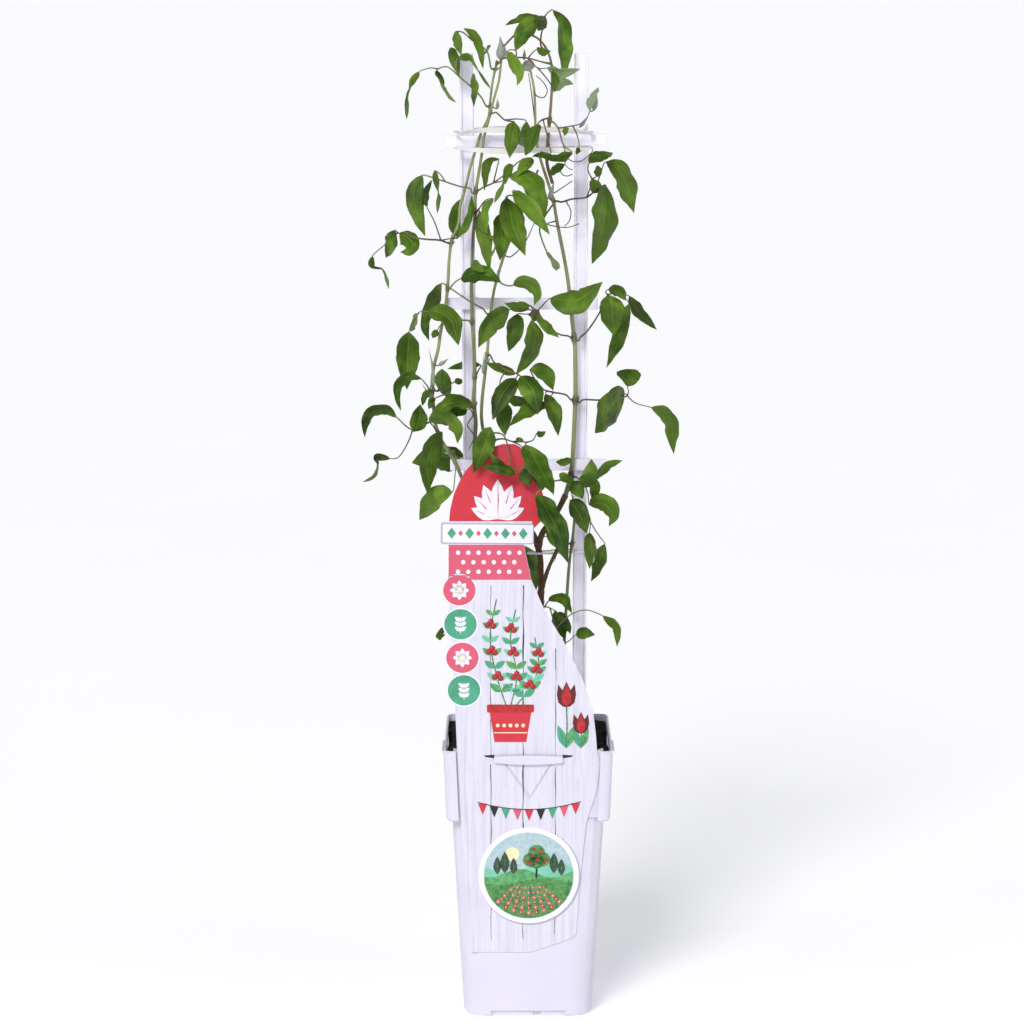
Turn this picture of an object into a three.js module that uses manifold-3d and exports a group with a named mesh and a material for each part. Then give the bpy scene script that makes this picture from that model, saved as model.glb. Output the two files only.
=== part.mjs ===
// A young climbing clematis tied to a ladder trellis, in a tall square plastic pot.
// Millimetres, +Z up, the front of the pot faces -Y. The origin is the middle of the
// pot's central foot pad, on the surface the pot stands on.
import * as THREE from 'three';
import { mergeVertices } from 'three/addons/utils/BufferGeometryUtils.js';
import Module from 'manifold-3d';

const wasm = await Module();
wasm.setup();

// ---------------------------------------------------------------- driving dimensions
const POT_HEIGHT = 222.6;        // floor to rim
const POT_BASE = 103;            // outer width of the body at the bottom
const COLLAR_Z = 165;            // where the stepped collar starts
const BODY_AT_COLLAR = 121;      // outer width of the body just under the collar
const COLLAR_LOW = 129.8;        // outer width of the collar at its lower edge
const RIM = 134;                 // outer width at the rim
const CORNER_R = 6;              // corner radius of the collar, which is squarer than the body
const WALL = 2.0;                // wall thickness
const RECESS_HALF = 57.2;        // half width of the label recess in the collar's front, at the rim
const RECESS_LOW = 55;           // and at the collar's lower edge
const FLOOR_Z = 9;               // top of the raised floor
const FLOOR_T = 2.4;             // thickness of the raised floor
const SOIL_Z = 216;              // soil surface
const GAP = 0.35;                // clearance between pieces that touch

const BAR_W = 11;                // width of a trellis upright
const BAR_D = 8;                 // depth of a trellis upright
const UPRIGHT_TOP = 766;
const UPRIGHT_FOOT = 40;
const SLAT_H = 9;                // height of a trellis slat
const SLAT_T = 3.4;              // thickness of a trellis slat
const SLATS = [                  // centre height, left end, right end, tilt in degrees
  { name: 'crossbar_top', z: 698.7, x0: -65.6, x1: 60.8, tilt: 0.75 },
  { name: 'crossbar_middle', z: 570.8, x0: -65.2, x1: 54.7, tilt: 0 },
  { name: 'crossbar_lower', z: 442.3, x0: -62.0, x1: 62.5, tilt: 0 },
];
const LEFT_X = (z) => -54.2 + 2.4 * (UPRIGHT_TOP - z) / 306;   // outer edge of the left upright
const RIGHT_X = (z) => 47.0;                                   // outer edge of the right upright

const CARD_T = 0.6;              // label card thickness
const LEAF_T = 0.8;              // thickness of a leaflet along its midrib
const PETIOLE_R = 0.65;          // leaf stalk radius

// ---------------------------------------------------------------- colours
const WHITE = { color: 0xece8f8, roughness: 0.45, metalness: 0 };
const SOIL = { color: 0x1c1714, roughness: 0.95, metalness: 0 };
const LEAF = { color: 0x4a7c2a, roughness: 0.55, metalness: 0 };
const STEM = { color: 0x8c9b64, roughness: 0.6, metalness: 0 };
const BARK = { color: 0x6e5a44, roughness: 0.85, metalness: 0 };
const BAND = { color: 0xe9e5d4, roughness: 0.5, metalness: 0 };
const CARD = { color: 0xe6e2e6, roughness: 0.35, metalness: 0 };
const BUD = { color: 0xa9b79a, roughness: 0.7, metalness: 0 };

// ---------------------------------------------------------------- the plant and the label, as tables
const HOOK_X = 0.2, HOOK_Z = 215.5;   // middle of the strip that holds the label
const TIE_BACK_Z = 371.6;              // height of the thin tie on the woody stem
// label card: [height, left edge, right edge] from the foot to the arched top
const CARD_ROWS = [
  [55.2, -45.6, 1.6], [61.1, -47, 19.2], [67, -47.2, 35.2], [70.4, -47.4, 38.4], [86.4, -48.4, 39.5], [115.7, -50.2, 41.4],
  [134.9, -51.4, 43.2], [163.2, -53.2, 45.9], [190.5, -54.6, 54.5], [212.7, -55.7, 56.7], [222.5, -56.2, 54.3], [235.6, -56.7, 53.4],
  [255.9, -57.5, 50.9], [259.4, -57.7, 49.8], [260.6, -58.6, 49.4], [262.3, -60.7, 48.8], [264.4, -62.4, 48.1], [266.7, -63.7, 47.4],
  [269.2, -64.5, 46.5], [271.8, -64.7, 45.7], [274.4, -64.5, 44.8], [276.9, -63.7, 44], [280, -61.9, 43], [281.3, -60.7, 42.4],
  [283, -58.8, 41.5], [285.5, -59, 40.3], [286.8, -59.8, 39.6], [288.4, -61.9, 38.8], [290.5, -63.6, 37.8], [292.8, -64.9, 36.7],
  [295.3, -65.7, 35.4], [297.8, -65.9, 34.2], [300.4, -65.7, 32.9], [302.9, -64.9, 31.7], [305.2, -63.6, 30.5], [307.2, -61.9, 29.5],
  [308.9, -60.1, 28.7], [310.3, -60.2, 28], [312.1, -60.3, 26.9], [313.4, -61.3, 26.1], [315, -63.3, 25.2], [317, -65, 24],
  [319.3, -66.3, 22.6], [321.8, -67.1, 21.1], [324.3, -67.4, 19.5], [326.9, -67.1, 18], [329.4, -66.3, 16.5], [331.6, -65.1, 15.1],
  [333.6, -63.4, 13.9], [335.3, -61.5, 12.9], [336.3, -61.5, 12.3], [338.9, -61.6, 11.2], [340.1, -62, 10.7], [341.8, -64.2, 9.9],
  [343.8, -65.9, 9], [346, -67.2, 8.1], [348.5, -68, 7], [351, -68.2, 5.9], [353.6, -67.9, 4.8], [356, -67.2, 3.7],
  [358.3, -65.9, 2.8], [359.8, -64.6, 2.1], [361.9, -62.7, 1.7], [373, -62.6, -0.7], [386.2, -62.5, -3.4], [386.7, -66.8, -3.2],
  [387.4, -68.4, -2.8], [388.7, -69, -2.2], [396.2, -69, 1.3], [402, -69, 7.4], [403.3, -68.4, 8.7], [404, -66.8, 9.4],
  [404.5, -62.1, 9.9], [413.2, -61.3, 13], [425.2, -58.5, 11.5], [434, -54.6, 8.3], [444, -48.8, 4], [452.4, -40.6, 0.5],
  [458.5, -32.8, -3], [462.3, -26.1, -7.3], [463.9, -19.9, -11.2],
];
// depth of the card at a height: it lies along the wall, then bows back above the rim
function cardY(z) {
  const d = z - 222.6;
  return d < 0 ? -64.3 - 0.0545 * d : -64.3 - 0.054 * d + 6.18e-4 * d * d;
}
// stems: r is the radius at the foot and at the tip, p the centre line
const STEMS = {
  stem_left: { r: [2, 1], p: [[-16, -14, 223.5], [-18, -15.1, 237.9], [-20, -16.2, 252.3], [-22, -16.9, 266.7], [-24.1, -17.1, 281.1], [-26.1, -17, 295.6], [-28.2, -16.6, 310], [-30.4, -16.2, 324.4], [-32.6, -15.9, 338.8], [-34.8, -15.7, 353.2], [-36.9, -15.4, 367.6], [-39.2, -15.1, 382], [-41.8, -14.8, 396.3], [-45, -14.2, 410.5], [-49.3, -13.4, 424.4], [-54.8, -12.1, 437.8], [-61.3, -10.9, 450.8], [-69.1, -10.5, 463], [-73.7, -10.5, 476.7], [-75.1, -10.5, 491.2], [-76.1, -10.6, 505.8], [-74.9, -11, 520.2], [-71.3, -11, 534.3], [-69.1, -11, 548.7], [-66.1, -10.9, 563], [-64.1, -11.6, 577.4], [-63, -12.1, 591.9], [-62.2, -11.9, 606.4], [-60.1, -11.5, 620.8], [-54.8, -10.9, 634.2], [-53.2, -11, 648.7], [-49.2, -11, 662.7], [-45.8, -10.6, 676.8], [-41.5, -10.5, 690.7], [-37.1, -10.5, 704.6], [-31.1, -10.5, 717.6], [-29.5, -10.5, 732.1], [-27.5, -10.5, 746.5], [-24.2, -10.5, 760.7]] },
  stem_middle: { r: [2, 1], p: [[-11.8, -9.1, 399.2], [-22.1, -9.8, 409.6], [-29.7, -10.3, 422.5], [-37, -10.6, 435.6], [-42.4, -11, 449.3], [-42, -11.2, 464.3], [-41.6, -11.5, 479.2], [-43.3, -11.4, 494], [-42.4, -11.1, 508.9], [-42.4, -11, 523.9], [-42.9, -11, 538.8], [-44, -11, 553.8], [-44.4, -11, 568.7], [-44.7, -11, 583.7], [-44.4, -11, 598.6], [-43.8, -11.1, 613.6], [-43, -11.5, 628.5], [-41.8, -11.9, 643.4], [-41.3, -12.4, 658.3], [-38.9, -12.9, 673.1], [-36.5, -13.5, 687.8], [-34.4, -14.1, 702.6], [-30.5, -14.9, 717], [-26.8, -15, 731.5], [-22.9, -14.9, 745.9], [-21.1, -14.5, 760.8]] },
  stem_inner: { r: [1.9, 1], p: [[-6.3, -8, 222.1], [-7.2, -9.1, 236.6], [-8.1, -10.3, 251], [-8.9, -11.5, 265.5], [-9.8, -12.6, 280], [-10.7, -13.6, 294.4], [-11.7, -14.4, 308.9], [-12.6, -15.1, 323.4], [-13.5, -15.8, 337.9], [-14.4, -16.4, 352.4], [-15.5, -16.9, 366.9], [-16.6, -17.1, 381.4], [-18, -17.1, 395.8], [-19.7, -16.5, 410.3], [-21.6, -15.3, 424.6], [-24, -13.8, 438.9], [-27.8, -11.9, 452.8], [-34.3, -10.9, 465.6], [-36.9, -11, 479.7], [-36.5, -11, 494.3], [-35, -11, 508.7], [-33.3, -11, 523.2], [-31.9, -11, 537.6], [-30.9, -11, 552.1], [-29.2, -11, 566.4], [-27.1, -11, 580.8], [-23.5, -11, 594.8], [-19.2, -11.1, 608.7], [-14.1, -11.5, 622.3], [-9.7, -12, 636.2], [-4.7, -11.6, 649.8], [2.3, -10.9, 662.5], [7.5, -10.3, 676]] },
  stem_right: { r: [2.1, 1], p: [[30, -10.5, 418.9], [33.7, -11, 433.1], [35.3, -11, 447.8], [36.1, -11, 462.5], [36.7, -11, 477.2], [37.3, -11, 491.9], [37.4, -11, 506.7], [37.2, -11, 521.4], [37, -11, 536.1], [35.5, -11, 550.8], [33.9, -11.2, 565.4], [32.4, -11.2, 580.1], [30.4, -11.2, 594.7], [27.8, -11.1, 609.2], [24.9, -11, 623.7], [22.1, -11, 638.1], [19.5, -11, 652.6], [15.2, -11, 666.6], [10.7, -11, 680.4], [6.9, -11, 694.6], [5.5, -11, 709.2], [5.2, -11, 724], [4.4, -11, 738.7], [1.7, -11, 752.4]] },
  stem_brown: { r: [1.4, 0.8], p: [[18.8, -14.3, 666.1], [14.6, -11, 681.7], [15.1, -11, 698.2], [16.5, -11, 714.7], [17.8, -11, 731.2], [18.4, -11, 747.7], [16.4, -10.9, 764], [7.7, -13.9, 777.5], [-7.4, -18, 782], [-19.3, -21.5, 772]] },
  stem_low: { r: [1.5, 1.2], p: [[22.7, -8, 222.1], [24.4, -8.7, 238.2], [26.2, -9.5, 254.3], [27.6, -10.1, 270.4], [28.6, -10.4, 286.5], [29.3, -10.7, 302.7], [30.1, -11, 318.9], [31, -11.4, 335], [32, -11.6, 351.2], [33.4, -12.3, 367.3], [35.4, -14, 383.2], [36.9, -15.3, 399.3], [38.8, -16, 415.4]] },
};
// the woody foot: trunk, its two limbs and a side branch
const WOODY = {
  trunk: { r: [3.2, 2.3], p: [[-0.7, 0, 211.1], [0.1, -1, 222.2], [1, -2, 233.4], [2, -2.9, 244.6], [3, -3.7, 255.8], [4.1, -4.5, 266.9], [5.2, -5.2, 278.1], [6.4, -5.8, 289.3], [7.6, -6.4, 300.5], [8.8, -7, 311.6], [9.9, -7.6, 322.8], [10.5, -8.1, 334.1], [10.5, -8, 345.3], [10.2, -8, 356.6], [9.7, -8, 367.8], [7.3, -8, 378.7]] },
  left: { r: [2.2, 1.9], p: [[8.3, -8, 376.1], [4.7, -8, 386], [-2, -7.9, 393.9], [-11.2, -9, 398.9]] },
  right: { r: [2.5, 2.1], p: [[8, -8, 376.1], [11.5, -8.9, 387.5], [18.2, -10.1, 397.3], [24.4, -10.5, 407.5], [29.7, -10.5, 418.2]] },
  branch: { r: [1.8, 1.3], p: [[9.6, -8.5, 333.1], [11.9, -11.6, 345], [15.2, -13.6, 356.9], [20, -14.5, 368.5], [25, -15.4, 379.9], [30.2, -16.5, 391.3]] },
};
// buds: from the base to the tip, r the largest radius, stalk the centre line of the flower stalk
const BUDS = [
  { name: 'bud_tip', r: 4.7, from: [-21.2, -14.5, 761.9], to: [-22.1, -15, 779.6] },
  { name: 'bud_round', r: 4.6, from: [0.9, -11, 753.5], to: [-2.2, -11, 760.6] },
  { name: 'bud_hanging', r: 2.8, from: [14.7, -21, 612.1], to: [23.1, -22, 599.6], stalk: [[19, -13.4, 648.9], [13, -19, 640.7], [8.8, -21, 631], [10.5, -21, 622.6], [14.8, -21, 611.8]] },
];
// leaves: pets are the stalk and its branches; a leaflet sits on the end of branch `on` and has its
// midrib p, full width w, and roll r at its base and tip in degrees (0 faces the front)
const LEAVES = {
  leaf_01: {
    pets: [
      [[-27.2, -11, 754.2], [-28.8, -11.6, 754.6], [-32.3, -15.2, 768], [-43.3, -18, 776.2], [-51.6, -20, 782.9], [-57.1, -20.2, 782.9]],
      [[-43.3, -18, 776.2], [-48.5, -14, 784.3], [-50.1, -13, 785.8]],
      [[-32.3, -15.2, 768], [-29.3, -13, 772.8]],
    ],
    lfs: [
      { on: 0, w: 10.1, r: [49, 39], p: [[-57.1, -20.2, 782.9], [-55.9, -24.3, 779.1], [-54.6, -28.1, 775], [-53.1, -30.4, 770], [-51.6, -32.1, 764.7]] },
      { on: 1, w: 11.1, r: [-54, -44], p: [[-50.1, -13, 785.8], [-43.4, -17.3, 780.7], [-39.2, -20.3, 772.8], [-37.1, -22.2, 763.7], [-35.1, -24, 754.6]] },
      { on: 2, w: 7.6, r: [70, 52], p: [[-29.3, -13, 772.8], [-30.9, -12.1, 770.5], [-32.3, -10.3, 768.7], [-33.5, -7.9, 767.4], [-34.6, -5.5, 766.1]] },
    ],
  },
  leaf_02: {
    pets: [
      [[-31.3, -11.2, 725.4], [-32.8, -12.2, 725.6], [-36.9, -15, 732.8], [-45.4, -18, 741.4], [-53.6, -18.8, 748.4], [-62.5, -19.9, 756], [-70.4, -9.6, 754.3], [-71.5, -9.6, 753.5]],
      [[-53.6, -18.8, 748.4], [-59.4, -17, 759.8], [-60.8, -13.4, 770.9]],
      [[-70.4, -9.6, 754.3], [-76.8, -3.3, 754.9], [-85.4, 2, 752]],
      [[-53.6, -18.8, 748.4], [-56.1, -26.4, 755.4], [-55.3, -26.3, 762.7]],
      [[-45.4, -18, 741.4], [-42.8, -19, 746], [-43.1, -20, 751.4]],
    ],
    lfs: [
      { on: 1, w: 8.8, r: [26, 15], p: [[-60.8, -13.4, 770.9], [-58.9, -17.1, 766], [-57.1, -20.6, 760.9], [-55.3, -23, 755.2], [-53.5, -25.2, 749.4]] },
      { on: 0, w: 9.8, r: [-28, -152], p: [[-71.5, -9.6, 753.5], [-69.3, -16.9, 746.9], [-66.9, -24.1, 740.3], [-62.2, -30.6, 734.2], [-55.6, -36, 728.9]] },
      { on: 2, w: 10.7, r: [28, 152], p: [[-85.4, 2, 752], [-90.2, -1.2, 743.9], [-93.8, -3.6, 734.9], [-94.8, -4.2, 725.1], [-95.3, -4.4, 715.1]] },
      { on: 3, w: 9.8, r: [28, 152], p: [[-55.3, -26.3, 762.7], [-45.7, -26.3, 763.6], [-40.2, -25.4, 755], [-34.5, -23.1, 746.7], [-28.7, -19.9, 738.7]] },
      { on: 4, w: 12.8, r: [72, 54], p: [[-43.1, -20, 751.4], [-42.7, -22.9, 745.3], [-42.3, -25.4, 739], [-42.3, -26, 732.2], [-42.3, -26, 725.4]] },
    ],
  },
  leaf_03: {
    pets: [
      [[-28.7, -16.3, 720.5], [-27.8, -17.9, 720.3], [-25.2, -22, 721.1], [-18.2, -26, 715.4], [-10.8, -27, 713.9]],
      [[-18.2, -26, 715.4], [-9.7, -22, 716.1], [-1.7, -33.6, 715]],
    ],
    lfs: [
      { on: 0, w: 13.4, r: [-24, -14], p: [[-10.8, -27, 713.9], [-12.1, -31.1, 707.7], [-13.3, -34.6, 701], [-14.1, -36.5, 693.7], [-14.7, -38, 686.3]] },
      { on: 1, w: 13.6, r: [-50, -38], p: [[-1.7, -33.6, 715], [-2.3, -33, 706.1], [-3, -25.8, 700.9], [-3.6, -17.5, 697.4], [-4.2, -9.3, 693.9]] },
    ],
  },
  leaf_04: {
    pets: [
      [[15.6, -12.2, 716], [14.4, -13.6, 716.2], [11.3, -17, 715.5], [7.1, -34.5, 712.8]],
      [[11.3, -17, 715.5], [14.4, -24, 703.8], [17.5, -26, 689.2]],
    ],
    lfs: [
      { on: 0, w: 13.9, r: [41, 31], p: [[7.1, -34.5, 712.8], [4.9, -39.5, 707.1], [2.2, -42.2, 700.4], [-0.4, -38.3, 694.1], [-2.7, -33.5, 688.2]] },
      { on: 1, w: 10.2, r: [66, 50], p: [[17.5, -26, 689.2], [14.2, -28.5, 689.2], [10.7, -30.7, 689.2], [6.7, -31.3, 688.5], [2.7, -31, 687.5]] },
    ],
  },
  leaf_05: {
    pets: [
      [[17.2, -12.3, 713.9], [18.1, -13.9, 713.8], [18.8, -15.1, 713.7], [23.1, -22.2, 709], [27.5, -30, 696], [33.7, -33, 691.1]],
      [[23.1, -22.2, 709], [29.1, -24, 710], [34.4, -22.8, 710.9], [40.6, -21.2, 712.4], [45.4, -17.4, 716.4], [47.8, -12.7, 721.9]],
      [[27.5, -30, 696], [28.7, -33, 688.8], [28, -34, 681.4]],
      [[34.4, -22.8, 710.9], [36.9, -24.4, 706], [38.6, -26.4, 700.6], [39.5, -29, 694]],
      [[29.1, -24, 710], [29.7, -25.5, 709.7]],
    ],
    lfs: [
      { on: 0, w: 14.4, r: [64, 48], p: [[33.7, -33, 691.1], [28.3, -36.1, 689.2], [22.5, -38.8, 687.6], [16.1, -39.8, 687.3], [9.6, -40, 687.6]] },
      { on: 2, w: 7.9, r: [30, 20], p: [[28, -34, 681.4], [23.9, -33.5, 679.4], [20.3, -31.9, 677.2], [17.9, -29, 674.7], [15.6, -26, 672.3]] },
      { on: 4, w: 5, r: [23, 13], p: [[29.7, -25.5, 709.7], [29.2, -27.2, 708.5], [28.7, -28.6, 707], [28.3, -28, 705], [28, -27, 703.2]] },
      { on: 3, w: 4.2, r: [-23, -13], p: [[39.5, -29, 694], [38.9, -30.7, 693.1], [38.3, -32.2, 692.1], [37.7, -32, 690.3], [37.3, -31, 688.7]] },
      { on: 1, w: 11.9, r: [-62, -46], p: [[47.8, -12.7, 721.9], [49.1, -12.6, 727.5], [50.8, -10.7, 732.5], [52.7, -7.1, 736.4], [54.7, -3.4, 740.2]] },
    ],
  },
  leaf_06: {
    pets: [
      [[13.6, -10.1, 768.9], [13, -8.3, 768.9], [9.8, -5, 771.9], [10.5, 0, 783.1], [13.1, -3, 790.9], [12.1, -6, 793.8], [9.7, -7, 794.2]],
      [[12.1, -6, 793.8], [15.5, -9, 798.1], [19, -11, 799.9]],
      [[12.1, -6, 793.8], [10.6, -1, 791.1], [13.4, 4, 794.6]],
      [[12.1, -6, 793.8], [8.9, -12, 792.7], [6.6, -14, 792.9]],
    ],
    lfs: [
      { on: 0, w: 12.3, r: [54, 44], p: [[9.7, -7, 794.2], [3.1, -11.5, 794.2], [-3.9, -15.5, 793.4], [-11.1, -18, 790.9], [-18.3, -20, 787.9]] },
      { on: 3, w: 15.3, r: [-32, -22], p: [[6.6, -14, 792.9], [1.1, -19.2, 788.5], [-3.8, -23.9, 783.2], [-7.4, -27.2, 775.9], [-10.4, -30, 768.2]] },
      { on: 1, w: 18.5, r: [-54, -44], p: [[19, -11, 799.9], [25.5, -14.6, 787.9], [26.6, -17.3, 774.1], [27, -18.4, 760], [27.1, -18.7, 745.8]] },
      { on: 2, w: 11.1, r: [23, 13], p: [[13.4, 4, 794.6], [11.1, 4.6, 791.4], [9.3, 6.3, 788.4], [8.4, 9.1, 785.8], [7.6, 12, 783.3]] },
    ],
  },
  leaf_07: {
    pets: [
      [[-24.2, -11.8, 758.6], [-23.5, -13.5, 758.4], [-19.8, -20, 762.4], [-9.7, -24, 763.4], [-0.4, -24, 762.8], [10.4, -25, 760], [16.6, -26, 758.2]],
      [[-9.7, -24, 763.4], [-9.7, -26, 768.4], [-15.1, -29, 769.2], [-16.8, -30, 767.3]],
      [[-0.4, -24, 762.8], [3.5, -21, 767.5], [6.4, -19, 769.4]],
      [[-0.4, -24, 762.8], [7.3, -26, 755.4], [14.3, -28, 755.4]],
      [[10.4, -25, 760], [18.1, -30, 758.5], [18.8, -32, 753.2]],
      [[7.3, -26, 755.4], [15.1, -20, 746], [21.4, -13.1, 737.2]],
    ],
    lfs: [
      { on: 1, w: 13.3, r: [53, 43], p: [[-16.8, -30, 767.3], [-12.7, -33.6, 762], [-8.9, -36.2, 756.1], [-6.7, -37.8, 749.1], [-9, -38, 741.9]] },
      { on: 2, w: 8.5, r: [60, 45], p: [[6.4, -19, 769.4], [8.6, -21.4, 768.5], [11, -23.6, 767.7], [14.2, -24.3, 767.8], [17.5, -24, 768.4]] },
      { on: 3, w: 11.1, r: [60, 45], p: [[14.3, -28, 755.4], [20.2, -30.9, 753.6], [26.6, -33.4, 752.5], [33.4, -34, 753.4], [40.1, -34, 755]] },
      { on: 5, w: 9.6, r: [60, 45], p: [[21.4, -13.1, 737.2], [24, -12.9, 740.9], [27.4, -12.2, 743.7], [31.4, -10.2, 743.4], [35.3, -8.2, 742.5]] },
      { on: 4, w: 8.6, r: [-50, -38], p: [[18.8, -32, 753.2], [19.7, -34, 749.3], [20.3, -35.5, 745.2], [20.1, -35.1, 740.9], [19.6, -34, 736.6]] },
    ],
  },
  leaf_08: {
    pets: [
      [[-42.7, -13.3, 658.1], [-44.2, -14.3, 658.2], [-44.9, -15, 661.5], [-53, -16, 663.4], [-64.9, -18, 667.3], [-74.1, -20, 670.5], [-82.8, -20, 672.6]],
      [[-64.9, -18, 667.3], [-68.9, -22, 673.5], [-73.2, -26, 676.4]],
    ],
    lfs: [
      { on: 0, w: 14.9, r: [25, 19], p: [[-82.8, -20, 672.6], [-88.2, -24.2, 661.8], [-88.3, -27.4, 649.5], [-84.8, -29, 637.3], [-80.3, -30, 625.4]] },
      { on: 1, w: 9.7, r: [28, 152], p: [[-73.2, -26, 676.4], [-71.5, -29.7, 668.6], [-69.9, -33.2, 660.7], [-69.8, -35.2, 652.2], [-70.9, -36, 643.5]] },
    ],
  },
  leaf_09: {
    pets: [
      [[-39.8, -13.7, 660.8], [-38.5, -15, 660.6], [-36.2, -17, 662.4], [-27.2, -20, 666.7], [-14, -26, 677.5], [-12.4, -27, 681.1]],
      [[-27.2, -20, 666.7], [-24.5, -16, 677.9], [-23, -15, 685.1]],
      [[-14, -26, 677.5], [-6.6, -22, 683.6], [2.8, -20, 686.1]],
      [[-27.2, -20, 666.7], [-20.6, -26, 668.3], [-15.3, -28.1, 671.8]],
    ],
    lfs: [
      { on: 1, w: 9.9, r: [50, 38], p: [[-23, -15, 685.1], [-30, -18.7, 683.1], [-32.8, -21.8, 676.5], [-33.4, -23.5, 668.5], [-34.5, -24, 660.4]] },
      { on: 0, w: 13.3, r: [-28, -152], p: [[-12.4, -27, 681.1], [-17.1, -31.6, 675.2], [-19.8, -35.6, 667.8], [-22.9, -38.4, 660], [-26.7, -40, 652.1]] },
      { on: 2, w: 10.2, r: [25, 15], p: [[2.8, -20, 686.1], [0, -24.4, 683.6], [-2.9, -28.6, 680.8], [-6, -31.6, 677], [-9.1, -34, 672.7]] },
      { on: 3, w: 22.4, r: [-46, -36], p: [[-15.3, -28.1, 671.8], [-3, -31.7, 672.3], [6.4, -35, 664.8], [10.6, -37.6, 653.1], [12.4, -39.7, 640.5]] },
    ],
  },
  leaf_10: {
    pets: [
      [[-62.1, -12, 618.9], [-63.9, -12.5, 619.3], [-68.5, -14, 621.2], [-80.9, -5.6, 621.5], [-92.8, 7.9, 622.5], [-103.7, 21.4, 624.7], [-105.9, 23.2, 626.7]],
      [[-68.5, -14, 621.2], [-73.9, -6.3, 635.6], [-79.9, 4.7, 646.1]],
      [[-80.9, -5.6, 621.5], [-91.9, 7.5, 622.6], [-99.1, 11.3, 626], [-101.9, 13.7, 624.5]],
      [[-103.7, 21.4, 624.7], [-112.8, 34.6, 615.5], [-124.6, 36.2, 605.1]],
      [[-68.5, -14, 621.2], [-63.7, -17.8, 622.5], [-55.1, -20, 624.3]],
    ],
    lfs: [
      { on: 0, w: 12.8, r: [35, 26], p: [[-105.9, 23.2, 626.7], [-107.8, 25.5, 620], [-109.9, 28.6, 613.7], [-112, 33.1, 608.4], [-114.1, 37.9, 603.2]] },
      { on: 2, w: 15.3, r: [-23, -13], p: [[-101.9, 13.7, 624.5], [-96.1, 10.9, 621.9], [-92.4, 8.8, 616.7], [-94.6, 8.2, 611], [-101.5, 8.7, 610.3]] },
      { on: 3, w: 9.1, r: [-28, -152], p: [[-124.6, 36.2, 605.1], [-124.9, 33.9, 596.9], [-116.6, 32.8, 594.7], [-113.2, 33.3, 587], [-111.7, 34.4, 578.4]] },
      { on: 1, w: 7.5, r: [50, 38], p: [[-79.9, 4.7, 646.1], [-80.7, 3.6, 651.8], [-80.3, 3.6, 657.5], [-78.2, 5.3, 662.6], [-75.8, 7.2, 667.6]] },
      { on: 4, w: 11.1, r: [-60, -45], p: [[-55.1, -20, 624.3], [-49.9, -22.2, 631.5], [-46.4, -23.4, 639.7], [-44.6, -23.3, 648.6], [-44, -22, 657.5]] },
    ],
  },
  leaf_11: {
    pets: [
      [[-58.8, -9.7, 623], [-58.7, -7.9, 622.9], [-58.8, -3, 622.1], [-57.5, 6, 621.4], [-55.6, 12, 621.2]],
    ],
    lfs: [
      { on: 0, w: 18.2, r: [14, 8], p: [[-55.6, 12, 621.2], [-55.2, 12.5, 630.7], [-54, 13.6, 640.1], [-50.4, 16.5, 648.4], [-46.1, 20, 656.2]] },
    ],
  },
  leaf_12: {
    pets: [
      [[-4.3, -12.4, 653], [-5.6, -13.6, 653.7], [-8.1, -16, 655.3], [-14.4, -20, 656.8], [-16.7, -22, 656.1], [-16.2, -22, 654.9]],
      [[-8.1, -16, 655.3], [-11.2, -24, 661.2], [-12.6, -28.7, 659.6]],
      [[-16.7, -22, 656.1], [-21.4, -18, 648.4], [-22.6, -16.9, 642.1]],
    ],
    lfs: [
      { on: 1, w: 15.4, r: [40, 30], p: [[-12.6, -28.7, 659.6], [-4.5, -36.8, 654.4], [3.3, -44.1, 647.8], [10, -49.1, 638.5], [16.4, -53.5, 628.5]] },
      { on: 0, w: 22.7, r: [-37, -27], p: [[-16.2, -22, 654.9], [-14.9, -28.8, 644], [-12.5, -35.1, 633], [-7.6, -39.8, 622.1], [-2.2, -44, 611.2]] },
      { on: 2, w: 15.5, r: [-35, -26], p: [[-22.6, -16.9, 642.1], [-21.9, -20.2, 633.5], [-21.4, -23.2, 624.7], [-21.7, -24.4, 615.5], [-22.3, -24.8, 606.2]] },
    ],
  },
  leaf_13: {
    pets: [
      [[-41.3, -13.5, 643], [-40.7, -15.2, 642.9], [-39.4, -19, 645.3], [-38.3, -20.1, 644.8]],
      [[-39.4, -19, 645.3], [-33, -27, 653.6], [-27.3, -30, 654.9]],
      [[-39.4, -19, 645.3], [-42.4, -29.9, 636.8], [-36.9, -33, 630], [-32, -33, 627]],
      [[-42.4, -29.9, 636.8], [-43.5, -32, 622.9], [-43.3, -33.3, 606.7]],
    ],
    lfs: [
      { on: 0, w: 12.8, r: [30, 22], p: [[-38.3, -20.1, 644.8], [-36, -23.6, 633.3], [-33.7, -26.2, 621.5], [-31.8, -26.9, 609.5], [-30, -27.1, 597.3]] },
      { on: 1, w: 9.8, r: [50, 38], p: [[-27.3, -30, 654.9], [-31.7, -33.6, 649.9], [-33.6, -35.9, 643], [-33.2, -37, 635.5], [-32.7, -38, 628]] },
      { on: 2, w: 7.9, r: [-28, -152], p: [[-32, -33, 627], [-28, -36.5, 623.6], [-26.1, -39.6, 618.8], [-28.4, -40.9, 613.2], [-31.3, -42, 607.6]] },
      { on: 3, w: 7.5, r: [23, 13], p: [[-43.3, -33.3, 606.7], [-41.5, -36, 604.6], [-39.5, -38.5, 602.5], [-36.5, -39.4, 600.6], [-33, -38.8, 599]] },
    ],
  },
  leaf_14: {
    pets: [
      [[-62.9, -13.4, 582.6], [-62.1, -15, 582.5], [-61, -15.8, 584.4], [-57.3, -23, 589.4], [-53.1, -25.2, 592.2]],
    ],
    lfs: [
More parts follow.
